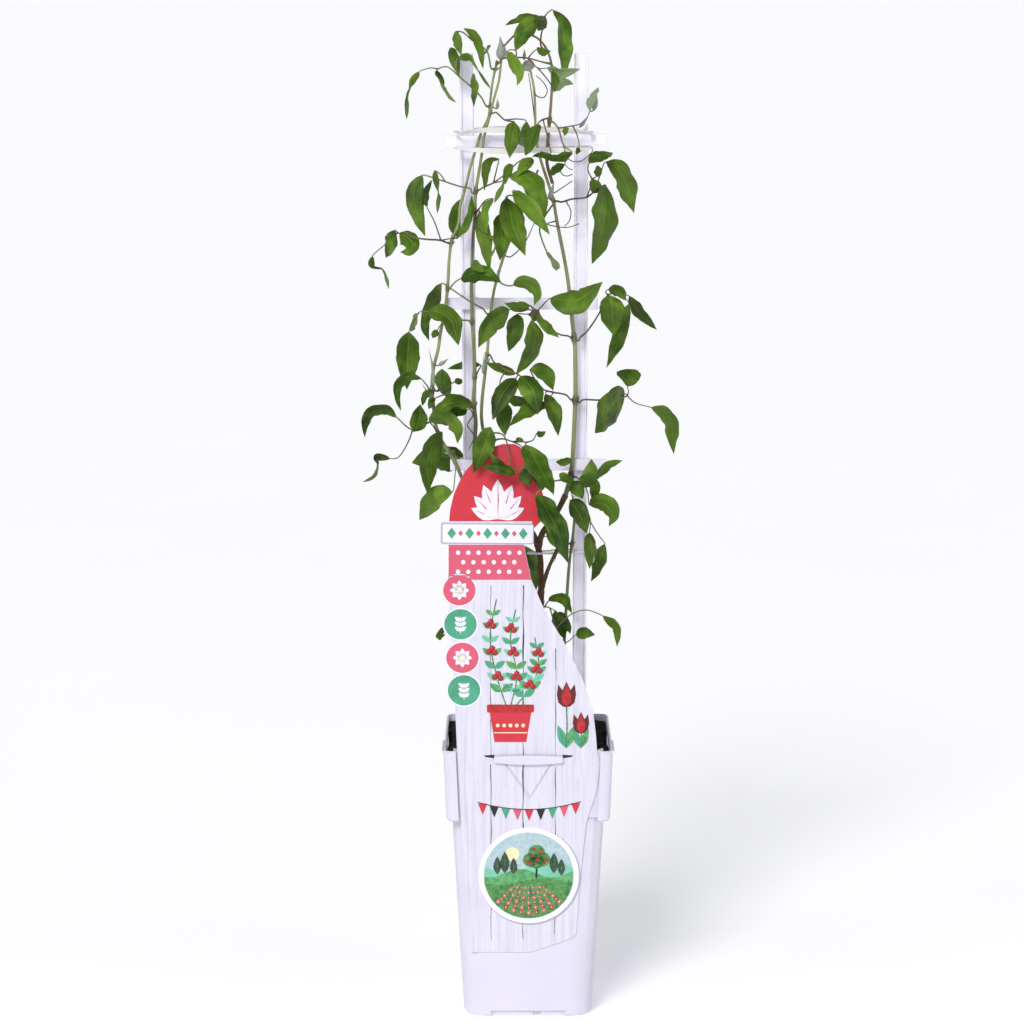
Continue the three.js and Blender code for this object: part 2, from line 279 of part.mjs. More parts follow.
      { on: 0, w: 19, r: [-48, -29], p: [[-53.1, -25.2, 592.2], [-45.4, -30.2, 595.6], [-37.3, -35.1, 597.4], [-28.9, -39.2, 594.5], [-20.9, -42.9, 590.4]] },
    ],
  },
  leaf_15: {
    pets: [
      [[-23.9, -12.3, 591], [-23.1, -13.9, 590.7], [-21.4, -18, 588.1], [-15.7, -22, 586.3], [-11.8, -23, 586.8]],
    ],
    lfs: [
      { on: 0, w: 14.9, r: [50, 40], p: [[-11.8, -23, 586.8], [-4.3, -26.7, 589], [3.3, -29.7, 586.7], [6.8, -31.5, 579.7], [4.4, -32, 571.4]] },
    ],
  },
  leaf_16: {
    pets: [
      [[-31.2, -12.1, 563], [-32.5, -13.3, 563.4], [-35.6, -17, 567.6], [-45.9, -20, 573.8], [-62.2, -18.9, 584.8], [-68.2, -11.7, 587.4]],
    ],
    lfs: [
      { on: 0, w: 17.3, r: [54, 44], p: [[-68.2, -11.7, 587.4], [-72.7, -9.6, 575.8], [-78.4, -7.3, 564.6], [-81.5, -4.8, 552.8], [-78.5, -2.3, 540.7]] },
    ],
  },
  leaf_17: {
    pets: [
      [[-44.9, -12.7, 556.2], [-45.7, -14.4, 556.2], [-46, -15, 557.9], [-59.1, -22, 559.6], [-72.3, -26, 564.5], [-77.9, -27, 567.5]],
      [[-72.3, -26, 564.5], [-81, -24, 566.7], [-86.5, -8.5, 563.6], [-87, -8.5, 562.8]],
      [[-59.1, -22, 559.6], [-69.5, -17, 554.2], [-71.4, -16, 550.9]],
      [[-86.5, -8.5, 563.6], [-92.1, 4, 555.2], [-94.7, 7, 547.1]],
    ],
    lfs: [
      { on: 0, w: 18.7, r: [-37, -27], p: [[-77.9, -27, 567.5], [-69, -32.6, 565.6], [-61.3, -37.9, 560.8], [-57.5, -41.6, 551.5], [-54.4, -45, 541.8]] },
      { on: 1, w: 8.7, r: [50, 38], p: [[-87, -8.5, 562.8], [-89, -1.5, 558], [-90.9, 5.7, 553.5], [-92.7, 13.2, 549.4], [-94.3, 20.8, 545.5]] },
      { on: 2, w: 5.9, r: [-23, -13], p: [[-71.4, -16, 550.9], [-72.5, -17.1, 549.2], [-73.8, -17.2, 547.3], [-74.7, -15.7, 545.8], [-75.5, -14, 544.4]] },
      { on: 3, w: 20.5, r: [-30, -20], p: [[-94.7, 7, 547.1], [-95.6, 3.7, 536], [-96.2, 1, 524.7], [-96.3, 0.2, 513.1], [-96.3, 0, 501.4]] },
    ],
  },
  leaf_18: {
    pets: [
      [[35.1, -12.6, 544.8], [33.9, -14, 544.7], [31.3, -17, 546.3], [25.3, -19, 547.5], [16.9, -22, 553.1], [7, -26, 566.5], [2.1, -26.3, 570.8], [1.3, -26.3, 571.6]],
      [[7, -26, 566.5], [-3.4, -32.9, 569.1], [-14.7, -36.5, 568.9]],
      [[7, -26, 566.5], [-0.2, -22, 564.1], [-9, -20, 563.9]],
      [[7, -26, 566.5], [9.9, -27, 570.1], [17.1, -28, 577.1]],
      [[7, -26, 566.5], [7.2, -31, 562.7]],
      [[7, -26, 566.5], [3.6, -35, 564.6], [2.5, -38, 561]],
      [[2.1, -26.3, 570.8], [2.9, -15, 568.2], [3.4, -11, 566.5]],
    ],
    lfs: [
      { on: 0, w: 9.5, r: [28, 18], p: [[1.3, -26.3, 571.6], [-3.6, -28.5, 570.7], [-8.7, -30.2, 570.5], [-13.9, -30.5, 571.9], [-19.1, -30.4, 573.6]] },
      { on: 1, w: 18.7, r: [-41, -31], p: [[-14.7, -36.5, 568.9], [-23.1, -41.7, 565], [-30.7, -46.4, 559.3], [-35.3, -49.4, 550.2], [-39.2, -52, 540.6]] },
      { on: 2, w: 14.3, r: [23, 13], p: [[-9, -20, 563.9], [-9.5, -23.9, 557], [-10.4, -27.3, 550], [-12.8, -29, 542.6], [-15.7, -30, 535.3]] },
      { on: 3, w: 22.3, r: [-36, -26], p: [[17.1, -28, 577.1], [28, -34.3, 575.6], [39.1, -40.2, 576.5], [48.7, -44.4, 583.6], [57.7, -48, 591.8]] },
      { on: 4, w: 11, r: [-50, -38], p: [[7.2, -31, 562.7], [10.7, -33.7, 558.6], [14.6, -35.9, 554.5], [19.3, -36.2, 550.7], [24.2, -36, 547]] },
      { on: 5, w: 20.7, r: [-54, -44], p: [[2.5, -38, 561], [4.5, -42.5, 550.3], [3.3, -46.3, 539.4], [-2.8, -48.3, 529.6], [-9.7, -50, 520.1]] },
      { on: 6, w: 10.1, r: [23, 13], p: [[3.4, -11, 566.5], [4.5, -12, 564], [5, -11.6, 561.2], [4.6, -9.9, 558.9], [4.3, -8, 556.7]] },
    ],
  },
  leaf_19: {
    pets: [
      [[38.5, -11.9, 542.2], [40.2, -12.6, 542.3], [40.8, -13, 544.3], [46.3, -14, 549.6], [56, -16.5, 564.6], [62.8, -10, 578.3], [63.9, -10, 578.1]],
      [[62.8, -10, 578.3], [66.4, -4.4, 578.6], [72.8, 6, 576.5], [80.1, 10, 575.6]],
      [[62.8, -10, 578.3], [60.6, -16.6, 580.8], [62.5, -20.6, 583.3]],
      [[72.8, 6, 576.5], [76.4, 16, 573.9], [80.5, 20, 568.3]],
    ],
    lfs: [
      { on: 0, w: 21.1, r: [-23, -13], p: [[63.9, -10, 578.1], [65, -13.2, 570.5], [66, -15.7, 562.6], [66.7, -16.4, 554.3], [67.4, -16.6, 546]] },
      { on: 3, w: 16.3, r: [50, 38], p: [[80.5, 20, 568.3], [77.1, 18.2, 555.1], [73.2, 17.1, 541.9], [68.1, 17.9, 529.2], [62.7, 19.2, 516.5]] },
      { on: 2, w: 9.3, r: [23, 13], p: [[62.5, -20.6, 583.3], [67.5, -20.6, 582.9], [71.8, -19.3, 580.9], [74.4, -16.7, 577.5], [76.8, -14, 573.9]] },
      { on: 1, w: 14.4, r: [60, 45], p: [[80.1, 10, 575.6], [84, 7.2, 567.9], [89.3, 5.7, 560.8], [95.8, 5.8, 554.7], [102.5, 6, 548.6]] },
    ],
  },
  leaf_20: {
    pets: [
      [[39.2, -12.1, 493.1], [40.8, -13, 493], [42.6, -14, 495.1], [56.2, -7.6, 494.3], [71.9, 10.4, 493.7], [79.6, 21, 494.2], [77.5, 21, 495.9]],
      [[79.6, 21, 494.2], [87.2, 34, 486.4], [99.4, 36, 482.8]],
      [[79.6, 21, 494.2], [80.8, 29.4, 496.9], [80.1, 31.4, 500.2]],
    ],
    lfs: [
      { on: 2, w: 19.5, r: [15, 15], p: [[80.1, 31.4, 500.2], [81.1, 32.3, 504.3], [81.3, 34.5, 507.9], [80.7, 37.8, 510.7], [80, 41, 513.4]] },
      { on: 0, w: 28.2, r: [-49, -39], p: [[77.5, 21, 495.9], [70.4, 7.4, 491.4], [63.7, -6.1, 485.9], [57.9, -19.1, 478.7], [52.2, -32, 471.1]] },
      { on: 1, w: 17.6, r: [54, 44], p: [[99.4, 36, 482.8], [110.5, 33, 479.2], [115.8, 31.6, 469.1], [116.9, 31.4, 457.2], [117.9, 31.2, 445.2]] },
    ],
  },
  leaf_21: {
    pets: [
      [[35.5, -12.2, 495.1], [33.9, -13.2, 495.2], [29.9, -16, 499.4], [20, -18, 501.8], [10.9, -20, 505], [1.4, -18, 520.3]],
      [[20, -18, 501.8], [14, -24, 502.8], [13.5, -25, 501.5]],
      [[20, -18, 501.8], [16.3, -31, 498.1], [14.7, -29.4, 494.7]],
    ],
    lfs: [
      { on: 0, w: 13.5, r: [-23, -13], p: [[1.4, -18, 520.3], [8.8, -18.7, 519.6], [15, -18.2, 515.9], [17.7, -16.2, 509.2], [19.9, -14, 502.3]] },
      { on: 1, w: 15.8, r: [-45, -35], p: [[13.5, -25, 501.5], [17.4, -28.8, 494.3], [20.6, -31.9, 486.5], [22.3, -33.1, 477.8], [23.6, -34, 468.9]] },
      { on: 2, w: 16.7, r: [53, 43], p: [[14.7, -29.4, 494.7], [6.3, -33.5, 493.1], [-1.6, -37.7, 490.1], [-8.2, -41.9, 484.7], [-14.4, -46, 478.7]] },
    ],
  },
  leaf_22: {
    pets: [
      [[-31.3, -12.2, 530.8], [-30, -13.5, 530.7], [-27, -19, 525.9], [-17.5, -25.8, 520.4], [-8.3, -30.7, 517.3], [-9.9, -30.7, 514.6]],
      [[-17.5, -25.8, 520.4], [-22.3, -15.6, 508.1], [-15.3, -14, 496.9]],
      [[-8.3, -30.7, 517.3], [-8.1, -24, 520.2], [-9.6, -17.5, 516.2]],
      [[-22.3, -15.6, 508.1], [-19.9, -22, 502.5], [-18.5, -26.9, 495.7]],
      [[-8.3, -30.7, 517.3], [-6.2, -30.7, 516.2]],
    ],
    lfs: [
      { on: 2, w: 11.1, r: [50, 38], p: [[-9.6, -17.5, 516.2], [-15.9, -18.4, 518.2], [-22.1, -19.1, 520.3], [-28.1, -19, 523], [-34.1, -18.6, 525.9]] },
      { on: 0, w: 17.6, r: [36, 26], p: [[-9.9, -30.7, 514.6], [-15.8, -35.9, 508.5], [-20.9, -40.4, 501.2], [-24.5, -43.4, 492.4], [-27.9, -46, 483.3]] },
      { on: 4, w: 18.4, r: [-23, -13], p: [[-6.2, -30.7, 516.2], [-1, -36.4, 511.1], [3.6, -41.5, 505], [5.9, -44.4, 496.5], [7.3, -46.5, 487.6]] },
      { on: 1, w: 10.4, r: [40, 30], p: [[-15.3, -14, 496.9], [-11.3, -14.9, 495.2], [-7.1, -15.4, 493.8], [-3, -14.1, 494], [0.9, -12, 494.9]] },
      { on: 3, w: 14.2, r: [-23, -13], p: [[-18.5, -26.9, 495.7], [-18.8, -30.3, 489.5], [-19.1, -33.3, 483.1], [-18.8, -34.7, 476.2], [-18.1, -35.2, 469.1]] },
    ],
  },
  leaf_23: {
    pets: [
      [[-76.9, -12.1, 502.1], [-77.9, -13.7, 502], [-78.7, -15, 504.8], [-82.2, -18, 510], [-84.3, -18, 512.5]],
      [[-78.7, -15, 504.8], [-78.3, -20, 500.7], [-77.7, -22, 504.5]],
    ],
    lfs: [
      { on: 0, w: 11.1, r: [-54, -44], p: [[-84.3, -18, 512.5], [-94.3, -21.6, 515.2], [-103.1, -24.4, 509.2], [-103.4, -25.7, 498.6], [-100.2, -26, 487.9]] },
      { on: 1, w: 6.7, r: [39, 29], p: [[-77.7, -22, 504.5], [-79.6, -24, 501.8], [-81.4, -25.5, 498.8], [-82.6, -25, 495.2], [-83.7, -24, 491.6]] },
    ],
  },
  leaf_24: {
    pets: [
      [[-75.3, -8.8, 504.2], [-74.7, -7.1, 504.2], [-73.4, -4, 501.1], [-65.1, 5.6, 502.5], [-59, 8.3, 506.8]],
      [[-73.4, -4, 501.1], [-71.7, 2, 501.1], [-69.4, 8, 508.4], [-68.6, 10.5, 517.2]],
    ],
    lfs: [
      { on: 1, w: 13.6, r: [23, 13], p: [[-68.6, 10.5, 517.2], [-67.9, 10.8, 510.5], [-66.9, 11.7, 503.9], [-65.1, 14, 497.8], [-63.2, 16.5, 491.8]] },
      { on: 0, w: 6, r: [-23, -13], p: [[-59, 8.3, 506.8], [-56.6, 8.4, 507.3], [-54.5, 9.6, 507.6], [-53.2, 11.8, 507.7], [-52, 14, 507.7]] },
    ],
  },
  leaf_25: {
    pets: [
      [[-44.7, -12.8, 489.3], [-46.2, -14, 489.2], [-49.1, -16, 495.1], [-52.6, -18, 496.2], [-62.5, -20, 500.7], [-73.6, -16, 496.7]],
      [[-52.6, -18, 496.2], [-47.4, -27, 497.6], [-44.2, -30, 494.3]],
      [[-49.1, -16, 495.1], [-45.9, -20, 489.5], [-48.3, -21.9, 488.5]],
    ],
    lfs: [
      { on: 1, w: 17.4, r: [51, 41], p: [[-44.2, -30, 494.3], [-52.6, -35.2, 496], [-61.2, -40, 495.6], [-69.2, -43.2, 490.7], [-76.9, -46, 485]] },
      { on: 2, w: 10.1, r: [23, 13], p: [[-48.3, -21.9, 488.5], [-52.4, -24.6, 488.2], [-56.6, -26.9, 487.4], [-60.5, -27.5, 484.5], [-64, -27.4, 481]] },
      { on: 0, w: 7.6, r: [50, 38], p: [[-73.6, -16, 496.7], [-75.8, -17.3, 495.1], [-77.4, -17.2, 492.8], [-78.1, -15.6, 490.4], [-78.8, -14, 488]] },
    ],
  },
  leaf_26: {
    pets: [
      [[-75.2, -11.9, 479.1], [-76.4, -13.3, 479], [-77.7, -15, 478.1], [-80.9, -16.7, 476.5], [-91.7, -10.3, 471], [-104.4, 2, 479]],
      [[-91.7, -10.3, 471], [-90.1, -18.4, 470.5]],
      [[-91.7, -10.3, 471], [-94.6, -11.2, 462.5], [-103.4, -4.2, 447.9], [-109.9, 1.7, 446]],
    ],
    lfs: [
      { on: 0, w: 13.7, r: [-54, -44], p: [[-104.4, 2, 479], [-113.9, 3.3, 485.8], [-125, 5.7, 482.1], [-130, 9.6, 472.4], [-130.8, 13.8, 461.2]] },
      { on: 1, w: 14.3, r: [23, 13], p: [[-90.1, -18.4, 470.5], [-88, -18.5, 476], [-86.3, -18, 481.5], [-85.8, -15.5, 486.8], [-85.6, -12.4, 491.8]] },
      { on: 2, w: 10.8, r: [-28, -152], p: [[-109.9, 1.7, 446], [-120.7, 2.4, 447.8], [-120.6, 4.5, 439.5], [-124.1, 8, 430.9], [-132.8, 11.8, 425.3]] },
    ],
  },
  leaf_27: {
    pets: [
      [[-71.8, -12.4, 468.5], [-72, -14.2, 468.4], [-74.5, -16, 473.9], [-77.9, -22.9, 479]],
      [[-72, -14.2, 468.4], [-69.5, -15, 469.7], [-67.8, -16, 469.7]],
    ],
    lfs: [
      { on: 0, w: 18.1, r: [50, 40], p: [[-77.9, -22.9, 479], [-69.7, -28.5, 482.4], [-61.2, -33.8, 481.6], [-55.4, -37.2, 473.9], [-55.5, -38.9, 463.6]] },
      { on: 1, w: 23.3, r: [-54, -44], p: [[-67.8, -16, 469.7], [-75.6, -21.6, 460.2], [-80.1, -26.2, 448.5], [-80, -29.2, 435.3], [-79.3, -32, 422.1]] },
    ],
  },
  leaf_28: {
    pets: [
      [[-60.6, -10.5, 453.1], [-59.3, -9.4, 453.9], [-58.6, 2.6, 449.2], [-56.6, 9.4, 446.4], [-50, 13.1, 443.5]],
      [[-58.6, 2.6, 449.2], [-57.1, -21, 448.2], [-57.8, -26, 437.8], [-59.8, -28, 423.7]],
    ],
    lfs: [
      { on: 0, w: 26, r: [-42, -25], p: [[-50, 13.1, 443.5], [-61, 13, 445.6], [-72, 13.3, 446.3], [-82.8, 14.1, 443.8], [-93.4, 15.1, 440.5]] },
      { on: 1, w: 18.6, r: [30, 20], p: [[-59.8, -28, 423.7], [-69.7, -25.6, 420.9], [-77.1, -21.6, 414.7], [-82, -16.8, 406.6], [-86.7, -12, 398.4]] },
    ],
  },
  leaf_29: {
    pets: [
      [[-41.7, -9.1, 514.3], [-41.1, -7.3, 514.3], [-39.8, -3, 516.9], [-37.5, 8, 519.6], [-37.8, 9.8, 520.2]],
    ],
    lfs: [
      { on: 0, w: 8.4, r: [40, 30], p: [[-37.8, 9.8, 520.2], [-44.8, 9.5, 520.4], [-51.7, 9.7, 520.1], [-58.3, 11.4, 518.5], [-64.7, 13.5, 516.6]] },
    ],
  },
  leaf_30: {
    pets: [
      [[-29.4, -12.5, 459.1], [-28.6, -14.1, 459.7], [-25.4, -22, 464.3], [-19.1, -34, 466.8], [-11.9, -44, 466.1], [-2.1, -51.8, 466.5], [-2.2, -51.8, 464.9]],
      [[-25.4, -22, 464.3], [-30.8, -38, 474.5], [-29.4, -45.6, 477.9]],
      [[-2.1, -51.8, 466.5], [3.6, -56, 469.1], [6.6, -58, 475.2]],
      [[-11.9, -44, 466.1], [-9.4, -51, 467.8]],
      [[-11.9, -44, 466.1], [-5.7, -40, 462.1], [-3.9, -38.1, 458.7]],
    ],
    lfs: [
      { on: 1, w: 17.5, r: [-30, -20], p: [[-29.4, -45.6, 477.9], [-32.7, -49.9, 469.6], [-36.1, -53.2, 460.8], [-39.6, -55.3, 451.8], [-43.1, -57.3, 442.7]] },
      { on: 0, w: 23, r: [-46, -36], p: [[-2.2, -51.8, 464.9], [3, -60.9, 457.1], [8.4, -69.5, 448.8], [14, -76.9, 439.6], [19.6, -84, 430.2]] },
      { on: 2, w: 5, r: [23, 13], p: [[6.6, -58, 475.2], [8, -59.8, 474.7], [9.7, -61.3, 474.5], [11.8, -60.9, 475.4], [13.6, -60, 476.4]] },
      { on: 3, w: 4.2, r: [23, 13], p: [[-9.4, -51, 467.8], [-8.2, -52.7, 468.6], [-6.9, -54.3, 469.2], [-5, -54.1, 468.4], [-3.4, -53.2, 467.1]] },
      { on: 4, w: 7.7, r: [50, 38], p: [[-3.9, -38.1, 458.7], [-5.6, -38, 456.3], [-6.7, -37.1, 453.7], [-6.7, -35.3, 451.3], [-6.5, -33.4, 448.9]] },
    ],
  },
  leaf_31: {
    pets: [
      [[-33.4, -12.5, 465.9], [-32.6, -14.2, 466.3], [-27, -28.3, 470.8], [-19.1, -42.5, 470.4], [-15.1, -52, 459.1], [-12.8, -55, 448.5], [-6.6, -55, 446.9]],
      [[-12.8, -55, 448.5], [-17.5, -55, 446.9], [-18, -54.2, 445.2]],
      [[-12.8, -55, 448.5], [-9.7, -58, 445], [-9.7, -59.8, 442.9]],
      [[-6.6, -55, 446.9], [-1.1, -54.9, 448.5], [0.1, -56.4, 446.6]],
      [[-6.6, -55, 446.9], [1.2, -56, 446.3], [5.1, -57.2, 443.3]],
      [[-6.6, -55, 446.9], [-4.7, -56, 445.8]],
    ],
    lfs: [
      { on: 1, w: 8.6, r: [-35, -26], p: [[-18, -54.2, 445.2], [-21.3, -55.6, 448.1], [-24.6, -56.6, 451.2], [-27.4, -56.1, 454.9], [-30, -55.2, 458.8]] },
      { on: 2, w: 9, r: [30, 22], p: [[-9.7, -59.8, 442.9], [-16.4, -61.6, 445.7], [-23.4, -62.6, 448], [-30.7, -61.2, 448.5], [-37.9, -58.9, 448.3]] },
      { on: 3, w: 6, r: [-39, -23], p: [[0.1, -56.4, 446.6], [0.8, -57.9, 447.9], [1.3, -58.3, 449.5], [1, -56.5, 450.6], [0.8, -54.7, 451.6]] },
      { on: 5, w: 11, r: [23, 14], p: [[-4.7, -56, 445.8], [-3.4, -58.4, 443], [-2, -60.4, 440], [-0.4, -60.5, 436.5], [1.2, -60, 433]] },
      { on: 4, w: 12, r: [-24, -15], p: [[5.1, -57.2, 443.3], [7.7, -59.8, 441.1], [9.9, -62, 438.3], [10.4, -62.2, 434.1], [10.6, -61.8, 429.8]] },
    ],
  },
  leaf_32: {
    pets: [
      [[32.4, -13.1, 432.5], [31.5, -14.7, 432.7], [27.6, -22, 432.4], [23.4, -39.4, 434.7], [17.6, -56.3, 435.3], [6, -60.6, 427.2]],
      [[27.6, -22, 432.4], [25.9, -24, 435.1], [24.5, -25.8, 437.8]],
      [[31.5, -14.7, 432.7], [32.1, -17, 436.4], [33.9, -21, 443.4], [34, -23, 449.6]],
    ],
    lfs: [
      { on: 0, w: 26.4, r: [-54, -44], p: [[6, -60.6, 427.2], [14, -64.7, 415.2], [20.9, -67.7, 402.2], [26.1, -69, 388.2], [30.9, -70, 374]] },
      { on: 1, w: 7.5, r: [23, 13], p: [[24.5, -25.8, 437.8], [27.2, -28, 436.2], [30.1, -29.8, 434.6], [33.5, -30, 433], [36.9, -29.5, 431.4]] },
      { on: 2, w: 8.6, r: [50, 38], p: [[34, -23, 449.6], [31, -24.2, 448.6], [27.8, -24.9, 447.7], [24.6, -23.8, 447.4], [21.8, -22, 447.2]] },
    ],
  },
  leaf_33: {
    pets: [
      [[37.8, -17.3, 413.5], [36.9, -18.9, 413.5], [35.5, -22, 416.3], [33, -25, 416.2]],
      [[36.9, -18.9, 413.5], [42.7, -22, 412.3], [48.9, -28, 402.9], [48.6, -30, 391.7]],
      [[35.5, -22, 416.3], [33.8, -28, 425.3], [32.9, -32.9, 430.4]],
      [[42.7, -22, 412.3], [52.3, -20, 393.5], [57.2, -18, 385.9], [61.2, -17, 380.4]],
    ],
    lfs: [
      { on: 0, w: 15.1, r: [23, 13], p: [[33, -25, 416.2], [37.5, -29.7, 411.7], [41.3, -33.5, 406], [43.9, -35.8, 398.9], [46.3, -38, 391.7]] },
      { on: 1, w: 13.1, r: [-43, -33], p: [[48.6, -30, 391.7], [49.2, -33.5, 385.1], [49.6, -36.4, 378.2], [49.1, -37.5, 370.9], [48.3, -38, 363.5]] },
      { on: 2, w: 12.5, r: [-23, -13], p: [[32.9, -32.9, 430.4], [35.8, -36.5, 429.8], [38.7, -39.5, 428.2], [41, -40.4, 424.3], [43, -40.8, 420.1]] },
      { on: 3, w: 13.6, r: [50, 38], p: [[61.2, -17, 380.4], [59, -16.4, 371.7], [56.4, -14.7, 363.3], [53.4, -11.4, 355.5], [50.3, -8, 347.8]] },
    ],
  },
  leaf_34: {
    pets: [
      [[35.6, -12.6, 434], [36.9, -13.9, 433.7], [38, -15, 433.7], [44.3, -19, 430.3], [49, -20, 432.1], [56.1, -20, 433.9]],
      [[44.3, -19, 430.3], [43.3, -26, 427.4]],
      [[44.3, -19, 430.3], [47.6, -14, 419.9], [48.7, -12, 410.7]],
      [[49, -20, 432.1], [51.5, -14, 432.7], [52.4, -12, 432.6]],
    ],
    lfs: [
      { on: 1, w: 14.2, r: [23, 13], p: [[43.8, -26.1, 426.9], [46.5, -29.1, 432.4], [48.8, -31.8, 438.2], [49.4, -33.7, 444.7], [49.6, -35.2, 451.3]] },
      { on: 3, w: 9.3, r: [23, 13], p: [[52.4, -12, 432.6], [52.8, -12, 427.5], [52.8, -11.1, 422.5], [52, -8.7, 418], [51, -6, 413.8]] },
      { on: 0, w: 9.3, r: [40, 30], p: [[56.1, -20, 433.9], [58.5, -22.5, 439.5], [62.3, -24.3, 444.5], [68.4, -24.3, 446.7], [74.8, -24, 448.3]] },
      { on: 2, w: 15.3, r: [25, 15], p: [[48.7, -12, 410.7], [56.4, -15.8, 413.2], [63.7, -19.2, 410.8], [67.3, -21.3, 403.3], [64, -22, 395]] },
    ],
  },
  leaf_35: {
    pets: [
      [[33.5, -13.9, 380], [31.6, -14.2, 380.1], [31.5, -14.9, 382.1], [27.7, -22.4, 389.1], [23.6, -26, 395.3], [19.2, -28, 396.5]],
      [[31.5, -14.9, 382.1], [27.2, -2, 382.3], [17.7, 6, 382.6], [1.7, 9, 378.8], [-4.4, 10, 374.6]],
    ],
    lfs: [
      { on: 0, w: 11.7, r: [-23, -13], p: [[19.2, -28, 396.5], [19.5, -30.9, 392.1], [20.4, -33.4, 387.6], [23, -34, 383.1], [25.9, -34, 378.8]] },
      { on: 1, w: 18, r: [49, 39], p: [[-4.4, 10, 374.6], [1.2, 9.3, 366], [5, 9.7, 356.6], [6, 11.7, 346.5], [6.7, 14, 336.5]] },
    ],
  },
  leaf_36: {
    pets: [
      [[11.7, -10.4, 327.9], [12.6, -12, 327.8], [13.3, -13, 328.7], [16.4, -17, 333.9]],
      [[13.3, -13, 328.7], [17.5, -20, 328.8], [21.2, -20.5, 326.8]],
      [[21.2, -20.5, 326.8], [23.5, -23.6, 325.7]],
      [[17.5, -20, 328.8], [22.2, -26.3, 313.8], [28.9, -28, 302], [38.1, -28, 308.8]],
      [[22.2, -26.3, 313.8], [34.7, -36.8, 327.2], [45.8, -38, 330.7], [59, -38, 326]],
    ],
    lfs: [
      { on: 0, w: 12.3, r: [50, 38], p: [[16.4, -17, 333.9], [22.2, -19.6, 337], [28.4, -21.8, 337.1], [32, -22, 331], [35, -22, 324.6]] },
      { on: 1, w: 13.6, r: [50, 38], p: [[21.3, -20.5, 326.3], [23.3, -20.7, 320.1], [25.3, -19.9, 314], [27.2, -17.9, 308.1], [29.1, -15.6, 302.3]] },
      { on: 2, w: 11.1, r: [50, 38], p: [[23.5, -23.6, 325.7], [27.1, -26.5, 323], [30.3, -28.9, 319.7], [32.2, -29.8, 314.8], [33.7, -30.2, 309.7]] },
      { on: 3, w: 10.1, r: [-23, -13], p: [[38.1, -28, 308.8], [41.4, -30.3, 310.1], [45, -32.3, 311], [49.1, -32.5, 310.4], [53.2, -32, 309.3]] },
      { on: 4, w: 9.8, r: [50, 38], p: [[59, -38, 326], [64.8, -40.5, 321.9], [69.7, -42.5, 316.6], [70.5, -42.5, 309.2], [70.4, -42, 301.6]] },
    ],
  },
  leaf_37: {
    pets: [
      [[-29.3, -17.1, 302.2], [-31.1, -17.4, 302], [-38.4, -18, 312.1], [-52.7, -20, 317.4], [-63.1, -22, 312.9], [-65.9, -22, 311]],
    ],
    lfs: [
      { on: 0, w: 11.5, r: [-64, -38], p: [[-65.9, -22, 311], [-68, -24, 310.4], [-69.7, -25.3, 308.8], [-70, -24.7, 305.9], [-70.2, -24, 303.1]] },
    ],
  },
  leaf_38: {
    pets: [
      [[21.1, -12, 651.7], [22.6, -13, 652], [25.5, -15, 651.3], [34.1, -17, 653.8], [45.8, -18, 655.4], [52.8, -16.7, 660.8], [60.7, -5.4, 664]],
      [[45.8, -18, 655.4], [48, -22, 662.7], [49.5, -23, 669.7]],
      [[52.8, -16.7, 660.8], [56.2, -4.7, 671.8], [60.9, 5.6, 681.7]],
      [[49.5, -23, 669.7], [46.4, -22, 676.6], [47.1, -21, 681.7]],
      [[49.5, -23, 669.7], [52.9, -23, 671.6]],
      [[52.8, -16.7, 660.8], [53.7, -14.3, 658.3]],
    ],
    lfs: [
      { on: 3, w: 11.7, r: [-35, -26], p: [[47.1, -21, 681.7], [52.5, -14.8, 684.3], [57.7, -8.3, 686.4], [62.4, -1.1, 687.6], [66.9, 6.2, 688.7]] },
      { on: 2, w: 22.4, r: [-42, -32], p: [[60.9, 5.6, 681.7], [71.1, 6.7, 674.3], [77.2, 9.8, 663.6], [80.7, 13.6, 651.9], [84.1, 17.4, 640.3]] },
      { on: 4, w: 6.7, r: [-23, -13], p: [[52.9, -23, 671.6], [53.6, -24.3, 673.8], [54.1, -25, 676.2], [53.8, -23.8, 678.5], [53.4, -22.1, 680.5]] },
      { on: 5, w: 10.1, r: [23, 13], p: [[53.7, -14.3, 658.3], [52.8, -15.7, 661.5], [51.7, -15.7, 664.8], [50.8, -13.4, 667.4], [49.8, -10.8, 669.8]] },
      { on: 0, w: 29.5, r: [-54, -44], p: [[60.7, -5.4, 664], [59.8, -15.2, 649.5], [58.2, -24.6, 634.8], [54.1, -32.6, 619.8], [49.2, -40, 604.7]] },
    ],
  },
};

const group = new THREE.Group();
function add(name, geometry, look) {
  const mesh = new THREE.Mesh(geometry, new THREE.MeshStandardMaterial(look));
  mesh.name = name;
  group.add(mesh);
  return mesh;
}

// ---------------------------------------------------------------- geometry helpers
const V = (x, y, z) => new THREE.Vector3(x, y, z);

